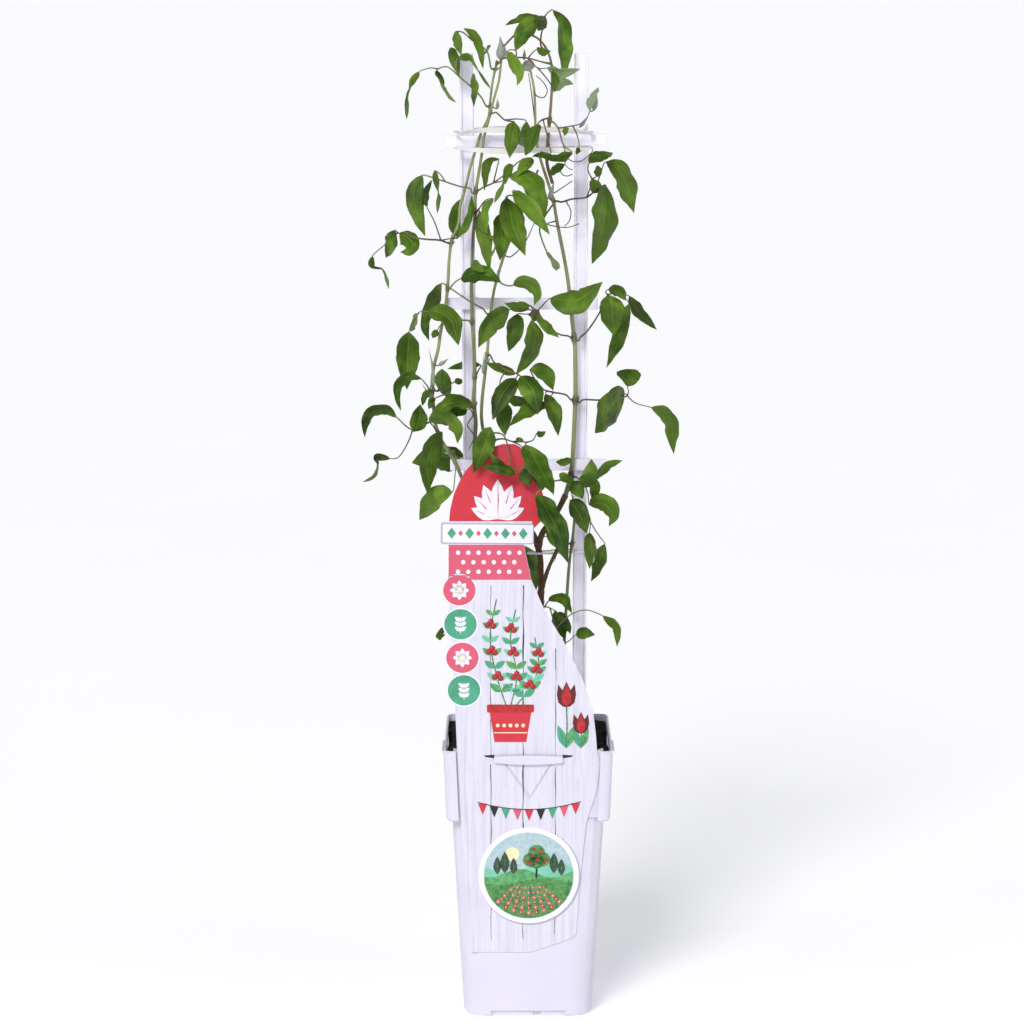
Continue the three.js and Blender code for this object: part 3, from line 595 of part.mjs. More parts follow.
// Closed body from a list of rings with the same number of points, ends capped by fans
// from the first point of the ring, or from the ring's centre when centred is true, or
// from the two points in hubs. The sides in turned are split along their other diagonal.
function loft(rings, { centred = true, looped = false, hubs = null, turned = [] } = {}) {
  const n = rings[0].length, pos = [], idx = [];
  for (const ring of rings) for (const p of ring) pos.push(p.x, p.y, p.z);
  const m = rings.length;
  const at = (i, j) => (i % m) * n + (j % n);
  for (let i = 0; i < (looped ? m : m - 1); i++) for (let j = 0; j < n; j++) {
    const a = at(i, j), b = at(i, j + 1), c = at(i + 1, j + 1), d = at(i + 1, j);
    turned.includes(j) ? idx.push(a, b, d, b, c, d) : idx.push(a, b, c, a, c, d);
  }
  if (!looped) for (const [i, flip] of [[0, true], [m - 1, false]]) {
    if (centred && n > 4) {
      let c = V(0, 0, 0);
      for (const p of rings[i]) c.add(p);
      c.divideScalar(n);
      if (hubs) c = hubs[flip ? 0 : 1];
      const k = pos.length / 3;
      pos.push(c.x, c.y, c.z);
      for (let j = 0; j < n; j++) flip ? idx.push(k, at(i, j + 1), at(i, j)) : idx.push(k, at(i, j), at(i, j + 1));
    } else for (let j = 1; j < n - 1; j++) flip ? idx.push(at(i, 0), at(i, j + 1), at(i, j)) : idx.push(at(i, 0), at(i, j), at(i, j + 1));
  }
  const g = new THREE.BufferGeometry();
  g.setAttribute('position', new THREE.Float32BufferAttribute(pos, 3));
  g.setIndex(idx);
  return outward(g);
}

// Turns the faces outward when the signed volume is negative.
function outward(g) {
  const p = g.attributes.position, ix = g.index.array;
  let vol = 0;
  const a = V(), b = V(), c = V();
  for (let i = 0; i < ix.length; i += 3) {
    a.fromBufferAttribute(p, ix[i]); b.fromBufferAttribute(p, ix[i + 1]); c.fromBufferAttribute(p, ix[i + 2]);
    vol += a.dot(b.clone().cross(c));
  }
  if (vol < 0) for (let i = 0; i < ix.length; i += 3) { const t = ix[i + 1]; ix[i + 1] = ix[i + 2]; ix[i + 2] = t; }
  return g;
}

// three.js geometry -> solid, and back
function solid(geometry) {
  let g = geometry.clone();
  g.deleteAttribute('normal'); g.deleteAttribute('uv');
  g = mergeVertices(g, 1e-4);
  return new wasm.Manifold(new wasm.Mesh({
    numProp: 3,
    vertProperties: new Float32Array(g.attributes.position.array),
    triVerts: new Uint32Array(g.index.array),
  }));
}
// `shortest`: edges below this length, left behind where solids were joined, are closed up
function geometryOf(body, shortest = 0) {
  const clean = shortest > 0 ? body.asOriginal().simplify(shortest) : body;
  const m = clean.getMesh(), g = new THREE.BufferGeometry();
  const p = new Float32Array(m.numVert * 3);
  for (let i = 0; i < m.numVert; i++) for (let k = 0; k < 3; k++) p[i * 3 + k] = m.vertProperties[i * m.numProp + k];
  g.setAttribute('position', new THREE.BufferAttribute(p, 3));
  g.setIndex(new THREE.BufferAttribute(new Uint32Array(m.triVerts), 1));
  g.computeVertexNormals();
  return g;
}
function boxSolid(x0, x1, y0, y1, z0, z1) {
  const g = new THREE.BoxGeometry(x1 - x0, y1 - y0, z1 - z0);
  g.translate((x0 + x1) / 2, (y0 + y1) / 2, (z0 + z1) / 2);
  return solid(g);
}

// Round tube of changing radius along a list of points, with frames carried along the path.
function tube(points, radius, sides) {
  const n = points.length, rings = [];
  const tangent = (i) => points[Math.min(i + 1, n - 1)].clone().sub(points[Math.max(i - 1, 0)]).normalize();
  let t = tangent(0);
  let u = Math.abs(t.y) < 0.9 ? V(0, 1, 0) : V(1, 0, 0);
  u.sub(t.clone().multiplyScalar(u.dot(t))).normalize();
  for (let i = 0; i < n; i++) {
    t = tangent(i);
    u = u.sub(t.clone().multiplyScalar(u.dot(t))).normalize();
    const w = t.clone().cross(u), r = radius(i / (n - 1)), ring = [];
    for (let k = 0; k < sides; k++) {
      const a = 2 * Math.PI * (k + 0.5) / sides;
      ring.push(points[i].clone().addScaledVector(u, r * Math.cos(a)).addScaledVector(w, r * Math.sin(a)));
    }
    rings.push(ring);
  }
  return loft(rings, { centred: false });
}
const vec = (rows) => rows.map((p) => V(p[0], p[1], p[2]));

// Square with rounded corners, as a ring at height z.
function square(half, r, z, seg = 3, cx = 0, cy = 0) {
  const ring = [];
  for (const [sx, sy, a0] of [[1, 1, 0], [-1, 1, 90], [-1, -1, 180], [1, -1, 270]]) for (let k = 0; k <= seg; k++) {
    const a = (a0 + 90 * k / seg) * Math.PI / 180;
    ring.push(V(cx + sx * (half - r) + r * Math.cos(a), cy + sy * (half - r) + r * Math.sin(a), z));
  }
  return ring;
}

// ---------------------------------------------------------------- pot
const bodyHalf = (z) => (POT_BASE + (BODY_AT_COLLAR - POT_BASE) * z / COLLAR_Z) / 2;
const cavityHalf = (z) => bodyHalf(Math.min(z, POT_HEIGHT)) - WALL;
const cavityCorner = 15;
const collarAt = (z) => (COLLAR_LOW + (RIM - COLLAR_LOW) * (z - COLLAR_Z) / (POT_HEIGHT - COLLAR_Z)) / 2;
// The collar is a step in the same thin wall, so the inside widens with it. Behind the
// label recess the front wall stays in line with the body.
const STEP_Z = COLLAR_Z + 5;     // height where the inside starts to widen
const recessAt = (z) => RECESS_LOW + (RECESS_HALF - RECESS_LOW) * (z - COLLAR_Z) / (POT_HEIGHT - COLLAR_Z);
const wedge = (extra, y0, y1, z0, z1) => solid(loft([z0, z1].map((z) => {
  const h = recessAt(z) + extra;
  return [V(h, y1, z), V(-h, y1, z), V(-h, y0, z), V(h, y0, z)];
})));
const recessWall = (gap) => wedge(WALL + gap, -80, -40, COLLAR_Z, POT_HEIGHT + 5)
  .subtract(solid(loft([square(cavityHalf(150) - gap - 0.08, cavityCorner, 150), square(cavityHalf(POT_HEIGHT) - gap - 0.02, cavityCorner, POT_HEIGHT + 6)])));
{
  const outer = solid(loft([
    square(bodyHalf(0) - 2.2, 14, 0), square(bodyHalf(1) - 0.8, 15.4, 1.1), square(bodyHalf(3.2), 16, 3.2),
    square(bodyHalf(POT_HEIGHT - 1), 17, POT_HEIGHT - 1), square(bodyHalf(POT_HEIGHT) - 0.6, 17, POT_HEIGHT),
  ]));
  const collar = solid(loft([
    square(collarAt(COLLAR_Z) - 1.2, CORNER_R - 1, COLLAR_Z), square(collarAt(COLLAR_Z + 1.6), CORNER_R, COLLAR_Z + 1.6),
    square(collarAt(POT_HEIGHT - 1.2), CORNER_R, POT_HEIGHT - 1.2), square(collarAt(POT_HEIGHT) - 0.9, CORNER_R, POT_HEIGHT),
  ]));
  // the collar's lower edge hangs as a short skirt round the body
  const behind = solid(loft([
    square(collarAt(COLLAR_Z) - 1.9, CORNER_R - 2, COLLAR_Z - 1), square(collarAt(COLLAR_Z + 2.6) - 1.9, CORNER_R - 2, COLLAR_Z + 2.6),
  ]));
  const core = solid(loft([square(bodyHalf(COLLAR_Z - 2) - 0.2, 16, COLLAR_Z - 2), square(bodyHalf(POT_HEIGHT + 2) - 0.2, 16, POT_HEIGHT + 2)]));
  // short webs tie the skirt to the body on three sides
  let webs = boxSolid(-1, 1, 50, 64.2, COLLAR_Z + 0.8, COLLAR_Z + 3.5);
  for (const y of [-30, 30]) webs = webs.add(boxSolid(-64.2, -50, y - 1, y + 1, COLLAR_Z + 0.8, COLLAR_Z + 3.5)).add(boxSolid(50, 64.2, y - 1, y + 1, COLLAR_Z + 0.8, COLLAR_Z + 3.5));
  let pot = outer;
  pot = pot.add(collar.subtract(behind.subtract(core)));
  pot = pot.add(webs.intersect(collar));
  // label recess through the collar's front, with a flat floor in line with the body
  pot = pot.subtract(wedge(0, -80, -50, COLLAR_Z - 5, POT_HEIGHT + 5)
    .subtract(solid(loft([square(bodyHalf(150), 3, 150), square(bodyHalf(POT_HEIGHT + 6), 3, POT_HEIGHT + 6)]))));
  // inside, down to the raised floor
  const cavity = loft([square(cavityHalf(FLOOR_Z) - 3, cavityCorner - 3, FLOOR_Z), square(cavityHalf(FLOOR_Z + 3), cavityCorner, FLOOR_Z + 3),
    square(cavityHalf(POT_HEIGHT) + 0.06, cavityCorner, POT_HEIGHT + 2)]);
  pot = pot.subtract(solid(cavity));
  pot = pot.subtract(solid(loft([
    square(cavityHalf(STEP_Z) - 0.1, cavityCorner, STEP_Z), square(collarAt(STEP_Z + 4.4) - WALL, CORNER_R - WALL, STEP_Z + 4.4),
    square(collarAt(POT_HEIGHT + 2) - WALL, CORNER_R - WALL, POT_HEIGHT + 2),
  ])).subtract(recessWall(0)));
  // underside: hollow under the floor, open at the notches
  pot = pot.subtract(solid(loft([square(41.5, 8, -1), square(43, 9, FLOOR_Z - FLOOR_T)])));
  for (const s of [-1, 1]) {
    pot = pot.subtract(boxSolid(-29.4, 29.4, s > 0 ? 30 : -70, s > 0 ? 70 : -30, -1, 5.2));   // front and back notches
    pot = pot.subtract(boxSolid(s > 0 ? 30 : -70, s > 0 ? 70 : -30, -29.4, 29.4, -1, 5.2));   // side notches
  }
  // ribs and the central pad under the floor, drain holes between them
  pot = pot.add(boxSolid(-44.5, 44.5, -1.1, 1.1, 1.2, FLOOR_Z - 1)).add(boxSolid(-1.1, 1.1, -44.5, 44.5, 1.2, FLOOR_Z - 1));
  for (const [x0, x1] of [[-30, 3.8], [10.2, 30]]) pot = pot.add(boxSolid(x0, x1, -49.2, -46.4, 0.7, FLOOR_Z - 1));  // pieces seen through the front notch
  const pad = new THREE.CylinderGeometry(9, 8.4, FLOOR_Z - 1, 16);
  pad.rotateX(Math.PI / 2); pad.translate(0, 0, (FLOOR_Z - 1) / 2);
  pot = pot.add(solid(pad));
  for (const sx of [-1, 1]) for (const sy of [-1, 1]) for (const [x, y] of [[15, 15], [31, 31]]) {
    const hole = new THREE.CylinderGeometry(3.4, 3.4, 12, 8);
    hole.rotateX(Math.PI / 2); hole.translate(sx * x, sy * y, FLOOR_Z - 2);
    pot = pot.subtract(solid(hole));
  }
  // a narrow lip along the front part of each side rim
  for (const s of [-1, 1]) pot = pot.add(boxSolid(s > 0 ? 65.6 : -68.2, s > 0 ? 68.2 : -65.6, -64, -28, 220.8, POT_HEIGHT));
  // slots in the side walls just below the rim, and small ones beside them
  for (const s of [-1, 1]) {
    const x0 = s > 0 ? 52 : -72, x1 = s > 0 ? 72 : -52;
    pot = pot.subtract(boxSolid(x0, x1, -21, 21, 208.4, 216.4));
    pot = pot.subtract(boxSolid(x0, x1, -47.5, -42, 209.5, 215));
    pot = pot.subtract(boxSolid(x0, x1, 42, 47.5, 209.5, 215));
  }
  // the strip that holds the label: two studs through the card and a curved bar in front
  const yw = -bodyHalf(216);
  const bar = new THREE.Shape();
  bar.moveTo(-27, -1.9); bar.quadraticCurveTo(0, -5.2, 27, -1.9); bar.lineTo(27, 3.0); bar.quadraticCurveTo(0, 4.6, -27, 3.0);
  const strip = new THREE.ExtrudeGeometry(bar, { depth: 1.5, bevelEnabled: false, curveSegments: 6 });
  strip.rotateX(Math.PI / 2);            // outline now in XZ, depth along -Y
  strip.translate(HOOK_X, yw - 2.3, HOOK_Z);
  pot = pot.add(solid(strip));
  for (const x of [-17, 17]) pot = pot.add(boxSolid(HOOK_X + x - 4, HOOK_X + x + 4, yw - 3.2, yw + 1, HOOK_Z - 0.8, HOOK_Z + 0.9));
  add('pot', geometryOf(pot), WHITE);
}

// ---------------------------------------------------------------- potting soil, roots and crown
const sweep = (s, sides, extra = 0) => tube(vec(s.p), (t) => s.r[0] + (s.r[1] - s.r[0]) * t + extra, sides);
const ROOTS = [  // cord roots from the crown down into the soil
  [[2, -1, 196], [12, -9, 170], [24, -20, 130], [29, -27, 80], [26, -30, 40]],
  [[-2, -2, 196], [-14, -12, 165], [-26, -22, 120], [-31, -18, 70], [-27, -8, 34]],
  [[1, 3, 196], [7, 16, 168], [20, 26, 126], [30, 24, 78], [24, 14, 36]],
  [[-1, 4, 196], [-9, 18, 160], [-22, 28, 118], [-24, 33, 70], [-12, 34, 32]],
];
const CROWN = [[-1, 1, 190], [0, 0, 197], [1, -1, 205], [3, -2, 213]];
function rootstock(extra) {
  let body = solid(tube(vec(CROWN), (t) => 7.2 - 3.4 * t + extra, 8));
  for (const r of ROOTS) body = body.add(solid(tube(vec(r), (t) => 2.2 - 1.1 * t + extra, 5)));
  return body.add(solid(sweep(WOODY.trunk, 8, extra)));
}
{
  let woody = rootstock(0);
  for (const k of ['left', 'right', 'branch']) woody = woody.add(solid(sweep(WOODY[k], 6)));
  add('stem_woody_base', geometryOf(woody, 0.05), BARK);
}
const upright = {
  left: (extra) => bar(LEFT_X, 1, extra), right: (extra) => bar(RIGHT_X, -1, extra),
};
// Trellis upright: a channel section, open to the front, with softened corners.
function bar(edge, side, extra) {
  const rows = [UPRIGHT_FOOT - extra, UPRIGHT_TOP + extra].map((z) => {
    const x0 = side > 0 ? edge(z) : edge(z) - BAR_W, x1 = x0 + BAR_W, e = extra, y = BAR_D / 2;
    const pts = extra > 0
      ? [[x0 - e, -y - e], [x1 + e, -y - e], [x1 + e, y + e], [x0 - e, y + e]]
      : [[x0 + 0.7, -y], [x0 + 1.7, -y], [x0 + 2.5, -y + 1.3], [x1 - 2.5, -y + 1.3], [x1 - 1.7, -y], [x1 - 0.7, -y], [x1, -y + 0.7],
        [x1, y - 0.7], [x1 - 0.7, y], [x0 + 0.7, y], [x0, y - 0.7], [x0, -y + 0.7]];
    return pts.map(([a, b]) => V(a, b, z));
  });
  // both end caps fan from a point near the back, from which the whole section is in sight
  const hubs = [UPRIGHT_FOOT - extra, UPRIGHT_TOP + extra].map((z) => V((side > 0 ? edge(z) : edge(z) - BAR_W) + BAR_W / 2, BAR_D / 2 - 0.8, z));
  return loft(rows, { centred: true, hubs });
}
{
  let soil = solid(loft([
    square(cavityHalf(FLOOR_Z + 0.4) - 3 - GAP, cavityCorner - 3, FLOOR_Z + GAP), square(cavityHalf(FLOOR_Z + 3.4) - GAP - 0.1, cavityCorner, FLOOR_Z + 3.4),
    square(cavityHalf(STEP_Z + 2) - GAP - 0.1, cavityCorner, STEP_Z + 2),
  ]));
  soil = soil.add(solid(loft([
    square(cavityHalf(STEP_Z) - GAP - 0.6, cavityCorner, STEP_Z + 0.6), square(collarAt(STEP_Z + 5) - WALL - GAP, CORNER_R - WALL, STEP_Z + 5),
    square(collarAt(SOIL_Z - 3) - WALL - GAP, CORNER_R - WALL, SOIL_Z - 3), square(collarAt(SOIL_Z) - WALL - 3, CORNER_R - WALL - 2, SOIL_Z),
    square(26, 10, SOIL_Z + 1.6),
  ])).subtract(recessWall(GAP)));
  for (const s of [-1, 1]) soil = soil.subtract(boxSolid(s > 0 ? 61 : -72, s > 0 ? 72 : -61, -22, 22, 207.6, SOIL_Z + 4));   // clear of the side slots
  soil = soil.subtract(rootstock(GAP)).subtract(solid(upright.left(GAP))).subtract(solid(upright.right(GAP)));
  for (const k of ['stem_left', 'stem_inner', 'stem_low']) soil = soil.subtract(solid(sweep(STEMS[k], 6, GAP)));
  add('potting_soil', geometryOf(soil), SOIL);
}

// ---------------------------------------------------------------- trellis
add('upright_left', geometryOf(solid(upright.left(0))), WHITE);
add('upright_right', geometryOf(solid(upright.right(0))), WHITE);
for (const s of SLATS) {
  // plan of one slat: a flat bar in front of the uprights with clip cheeks that grip their sides
  const yb = -BAR_D / 2 - GAP, yf = yb - SLAT_T, cheek = 1.8, back = BAR_D / 2 - 1, g = 0.45;
  const l0 = LEFT_X(s.z), l1 = l0 + BAR_W, r1 = RIGHT_X(s.z), r0 = r1 - BAR_W;
  const plan = new THREE.Shape();
  plan.moveTo(s.x0, yf + 0.6); plan.lineTo(s.x0 + 0.6, yf); plan.lineTo(s.x1 - 0.6, yf); plan.lineTo(s.x1, yf + 0.6);
  plan.lineTo(s.x1, yb - 0.4); plan.lineTo(s.x1 - 0.4, yb);
  for (const x of [r1 + g, r0 - g - cheek, l1 + g, l0 - g - cheek]) {
    plan.lineTo(x + cheek, yb); plan.lineTo(x + cheek, back); plan.lineTo(x, back); plan.lineTo(x, yb);
  }
  plan.lineTo(s.x0 + 0.4, yb); plan.lineTo(s.x0, yb - 0.4);
  const g3 = new THREE.ExtrudeGeometry(plan, { depth: SLAT_H, bevelEnabled: false });
  g3.translate(-(s.x0 + s.x1) / 2, 0, -SLAT_H / 2);
  g3.rotateY(-s.tilt * Math.PI / 180);
  g3.translate((s.x0 + s.x1) / 2, 0, s.z);
  add(s.name, geometryOf(solid(g3)), WHITE);
}

// ---------------------------------------------------------------- elastic ties
// A flat band closed on itself: rectangle section swept round a plan outline.
function band(outline, z, height, thick) {
  const rings = outline.map(([x, y], i) => {
    const a = outline[(i + outline.length - 1) % outline.length], b = outline[(i + 1) % outline.length];
    const nx = b[1] - a[1], ny = -(b[0] - a[0]), n = Math.hypot(nx, ny), k = thick / 2 / n;
    return [V(x - nx * k, y - ny * k, z(x) - height / 2), V(x + nx * k, y + ny * k, z(x) - height / 2),
      V(x + nx * k, y + ny * k, z(x) + height / 2), V(x - nx * k, y - ny * k, z(x) + height / 2)];
  });
  return loft(rings, { looped: true });
}
const TIE_LOOP = [[-50, -17.2], [-30, -17.2], [-10, -17.3], [12, -17.2], [32, -17.2], [43, -17], [48.6, -14.4], [49.6, -8], [49.6, 1], [48.4, 4.8],
  [44, 5.6], [20, 5.6], [-8, 5.6], [-34, 5.6], [-52, 5.6], [-55.8, 4.6], [-56.8, 1], [-56.8, -8], [-55.4, -14.4]];
add('tie_upper', geometryOf(solid(band(TIE_LOOP, () => 707.6, 4, 0.7))), BAND);
add('tie_lower', geometryOf(solid(band(TIE_LOOP, () => 691.4, 4, 0.7))), BAND);
const TIE_BACK = [[0.8, -12.4], [6, -13.8], [12.5, -14], [16, -12], [30, -6.6], [43, -5.6], [48, -5.0], [48.9, 0], [48, 5],
  [42, 5.8], [34, 4.8], [14, -1], [6, -3.6], [1.6, -6.2], [-0.4, -9.4]];
add('tie_back', geometryOf(solid(band(TIE_BACK, (x) => TIE_BACK_Z, 1.6, 0.7))), BAND);

// ---------------------------------------------------------------- label card
{
  const rings = CARD_ROWS.map(([z, x0, x1]) => {
    const y = cardY(z);
    const dy = (cardY(z + 1) - cardY(z - 1)) / 2, n = Math.hypot(1, dy), ty = CARD_T / 2 / n, tz = dy * CARD_T / 2 / n;
    return [V(x0, y - ty, z + tz), V(x1, y - ty, z + tz), V(x1, y + ty, z - tz), V(x0, y + ty, z - tz)];
  });
  let card = solid(loft(rings, { centred: false }));
  card = card.subtract(boxSolid(HOOK_X - 26.5, HOOK_X + 26.5, -72, -58, HOOK_Z - 1.3, HOOK_Z + 1.4));
  add('label_card', geometryOf(card), CARD);
}

// ---------------------------------------------------------------- stems
for (const [name, s] of Object.entries(STEMS)) add(name, geometryOf(solid(sweep(s, 6))), name === 'stem_brown' ? BARK : STEM);

// ---------------------------------------------------------------- buds
// A bud is a lathe profile set along its own axis; points are [radius, height].
function bud(profile, from, to, segments = 8) {
  const pts = profile.map(([r, h]) => new THREE.Vector2(r, h));
  const g = new THREE.LatheGeometry(pts, segments);
  const axis = V(...to).sub(V(...from)), len = axis.length();
  g.scale(1, len / profile[profile.length - 1][1], 1);
  g.applyQuaternion(new THREE.Quaternion().setFromUnitVectors(V(0, 1, 0), axis.normalize()));
  g.translate(...from);
  return solid(g);
}
const POINTED = [[0, 0], [0.42, 0.03], [0.9, 0.2], [1, 0.4], [0.7, 0.7], [0.25, 0.94], [0, 1]];
// the hanging bud is about to open: slender at its stalk, widest near its blunt end
const OPENING = [[0, 0], [0.36, 0.03], [0.5, 0.16], [0.54, 0.44], [0.8, 0.6], [1, 0.77], [0.88, 0.91], [0.4, 1], [0, 1]];
for (const b of BUDS) {
  let body = bud((b.stalk ? OPENING : POINTED).map(([r, h]) => [r * b.r, h]), b.from, b.to);
  if (b.stalk) body = body.add(solid(tube(vec(b.stalk), () => 0.7, 5)));
  add(b.name, geometryOf(body, 0.03), BUD);
}

// ---------------------------------------------------------------- leaves
// One compound leaf: the stalk and its branches, and one leaflet at the end of each.
// A leaflet follows its midrib points; roll turns its face about the midrib, folded
// slightly upward along it, widest a third of the way out and drawn to a point. The
// branch it sits on runs into it as one skin.
const WIDTHS = [[0.06, 0.36], [0.22, 0.9], [0.44, 1], [0.72, 0.62], [0.97, 0.08]];
const SHARP = 75;   // a leaflet that turns more than this from its stalk starts as a blade of its own
function leaflet(f, branch) {
  const curve = new THREE.CatmullRomCurve3(vec(f.p), false, 'centripetal'), face = V(0, -0.987, 0.16), rings = [];
  let N0 = null;
  const end = branch[branch.length - 1], last = end.clone().sub(branch[branch.length - 2]);
  const sharp = last.angleTo(curve.getTangent(0)) * 180 / Math.PI > SHARP;
  for (const [t, w] of sharp ? [[0, 0.05], ...WIDTHS] : WIDTHS) {
    const c = curve.getPoint(t), T = curve.getTangent(t);
    const n0 = face.clone().addScaledVector(T, -face.dot(T)).normalize(), s0 = T.clone().cross(n0);
    const roll = (f.r[0] + (f.r[1] - f.r[0]) * t) * Math.PI / 180;
    const N = n0.clone().multiplyScalar(Math.cos(roll)).addScaledVector(s0, Math.sin(roll));
    const S = T.clone().cross(N), h = Math.max(f.w / 2 * w, 0.5), rise = h * 0.2, th = LEAF_T / 2;
    N0 = N0 || N.clone();
    rings.push([c.clone().addScaledVector(S, -h).addScaledVector(N, rise), c.clone().addScaledVector(N, -th),
      c.clone().addScaledVector(S, h).addScaledVector(N, rise), c.clone().addScaledVector(N, th)]);
  }
  const blade = (r) => loft(r, { centred: false, turned: [2, 3] });
  if (sharp) {
    const path = end.distanceTo(curve.getPoint(0)) > 0.25 ? [...branch, curve.getPoint(0)] : branch;
    return solid(tube(path, () => PETIOLE_R, 4)).add(solid(blade(rings)));
  }
  const stalk = [];
  for (let i = branch.length - 1, N = N0; i >= 0; i--) {
    const T = branch[Math.min(i + 1, branch.length - 1)].clone().sub(branch[Math.max(i - 1, 0)]).normalize();
    N = N.clone().addScaledVector(T, -N.dot(T)).normalize();
    const S = T.clone().cross(N), c = branch[i], r = PETIOLE_R;
    stalk.unshift([c.clone().addScaledVector(S, -r), c.clone().addScaledVector(N, -r), c.clone().addScaledVector(S, r), c.clone().addScaledVector(N, r)]);
  }
  return solid(blade([...stalk, ...rings]));
}
for (const [name, leaf] of Object.entries(LEAVES)) {
  let body = null;
  leaf.pets.forEach((p, i) => {
    const f = leaf.lfs.find((q) => q.on === i);
    const b = f ? leaflet(f, vec(p)) : solid(tube(vec(p), () => PETIOLE_R, 4));
    body = body ? body.add(b) : b;
  });
  // the joins can leave crumbs of no volume behind: only the leaf itself is kept
  const leafBody = body.decompose().reduce((a, b) => (b.volume() > a.volume() ? b : a));
  add(name, geometryOf(leafBody, 0.05), LEAF);
}

export default group;
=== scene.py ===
"""A young climbing clematis on a white ladder trellis, in a tall square pot.

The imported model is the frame. Every leaf, stem, bud, band, the label and the soil's
surface are made here around it, in metres, and the moulded pieces take refined copies
of their own shapes with soft edges.
"""

import math

import bmesh
import bpy
import numpy as np
from mathutils import Matrix, Vector
from mathutils.geometry import tessellate_polygon


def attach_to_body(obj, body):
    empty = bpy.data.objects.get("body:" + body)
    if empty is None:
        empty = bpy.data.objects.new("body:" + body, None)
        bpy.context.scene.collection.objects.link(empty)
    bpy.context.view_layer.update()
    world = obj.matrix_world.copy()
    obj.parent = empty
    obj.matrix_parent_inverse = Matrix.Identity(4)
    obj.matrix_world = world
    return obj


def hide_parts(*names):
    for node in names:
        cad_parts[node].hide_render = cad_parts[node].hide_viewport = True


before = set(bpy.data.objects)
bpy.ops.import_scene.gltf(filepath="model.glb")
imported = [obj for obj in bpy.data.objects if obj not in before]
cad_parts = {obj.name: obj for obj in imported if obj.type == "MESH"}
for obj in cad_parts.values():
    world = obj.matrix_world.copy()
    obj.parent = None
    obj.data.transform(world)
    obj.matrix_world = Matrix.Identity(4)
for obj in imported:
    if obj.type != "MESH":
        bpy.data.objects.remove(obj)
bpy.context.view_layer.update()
SCENE = bpy.context.scene
MM = 0.001

# ---------------------------------------------------------------- measurements, in millimetres
POT_HEIGHT, POT_BASE, POT_AT_COLLAR, COLLAR_Z, WALL = 222.6, 103, 121, 165, 2.0
SOIL_Z, FLOOR_Z = 216, 9
COLLAR_LOW, RIM, RECESS_HALF, CORNER_R = 129.8, 134, 57.2, 6
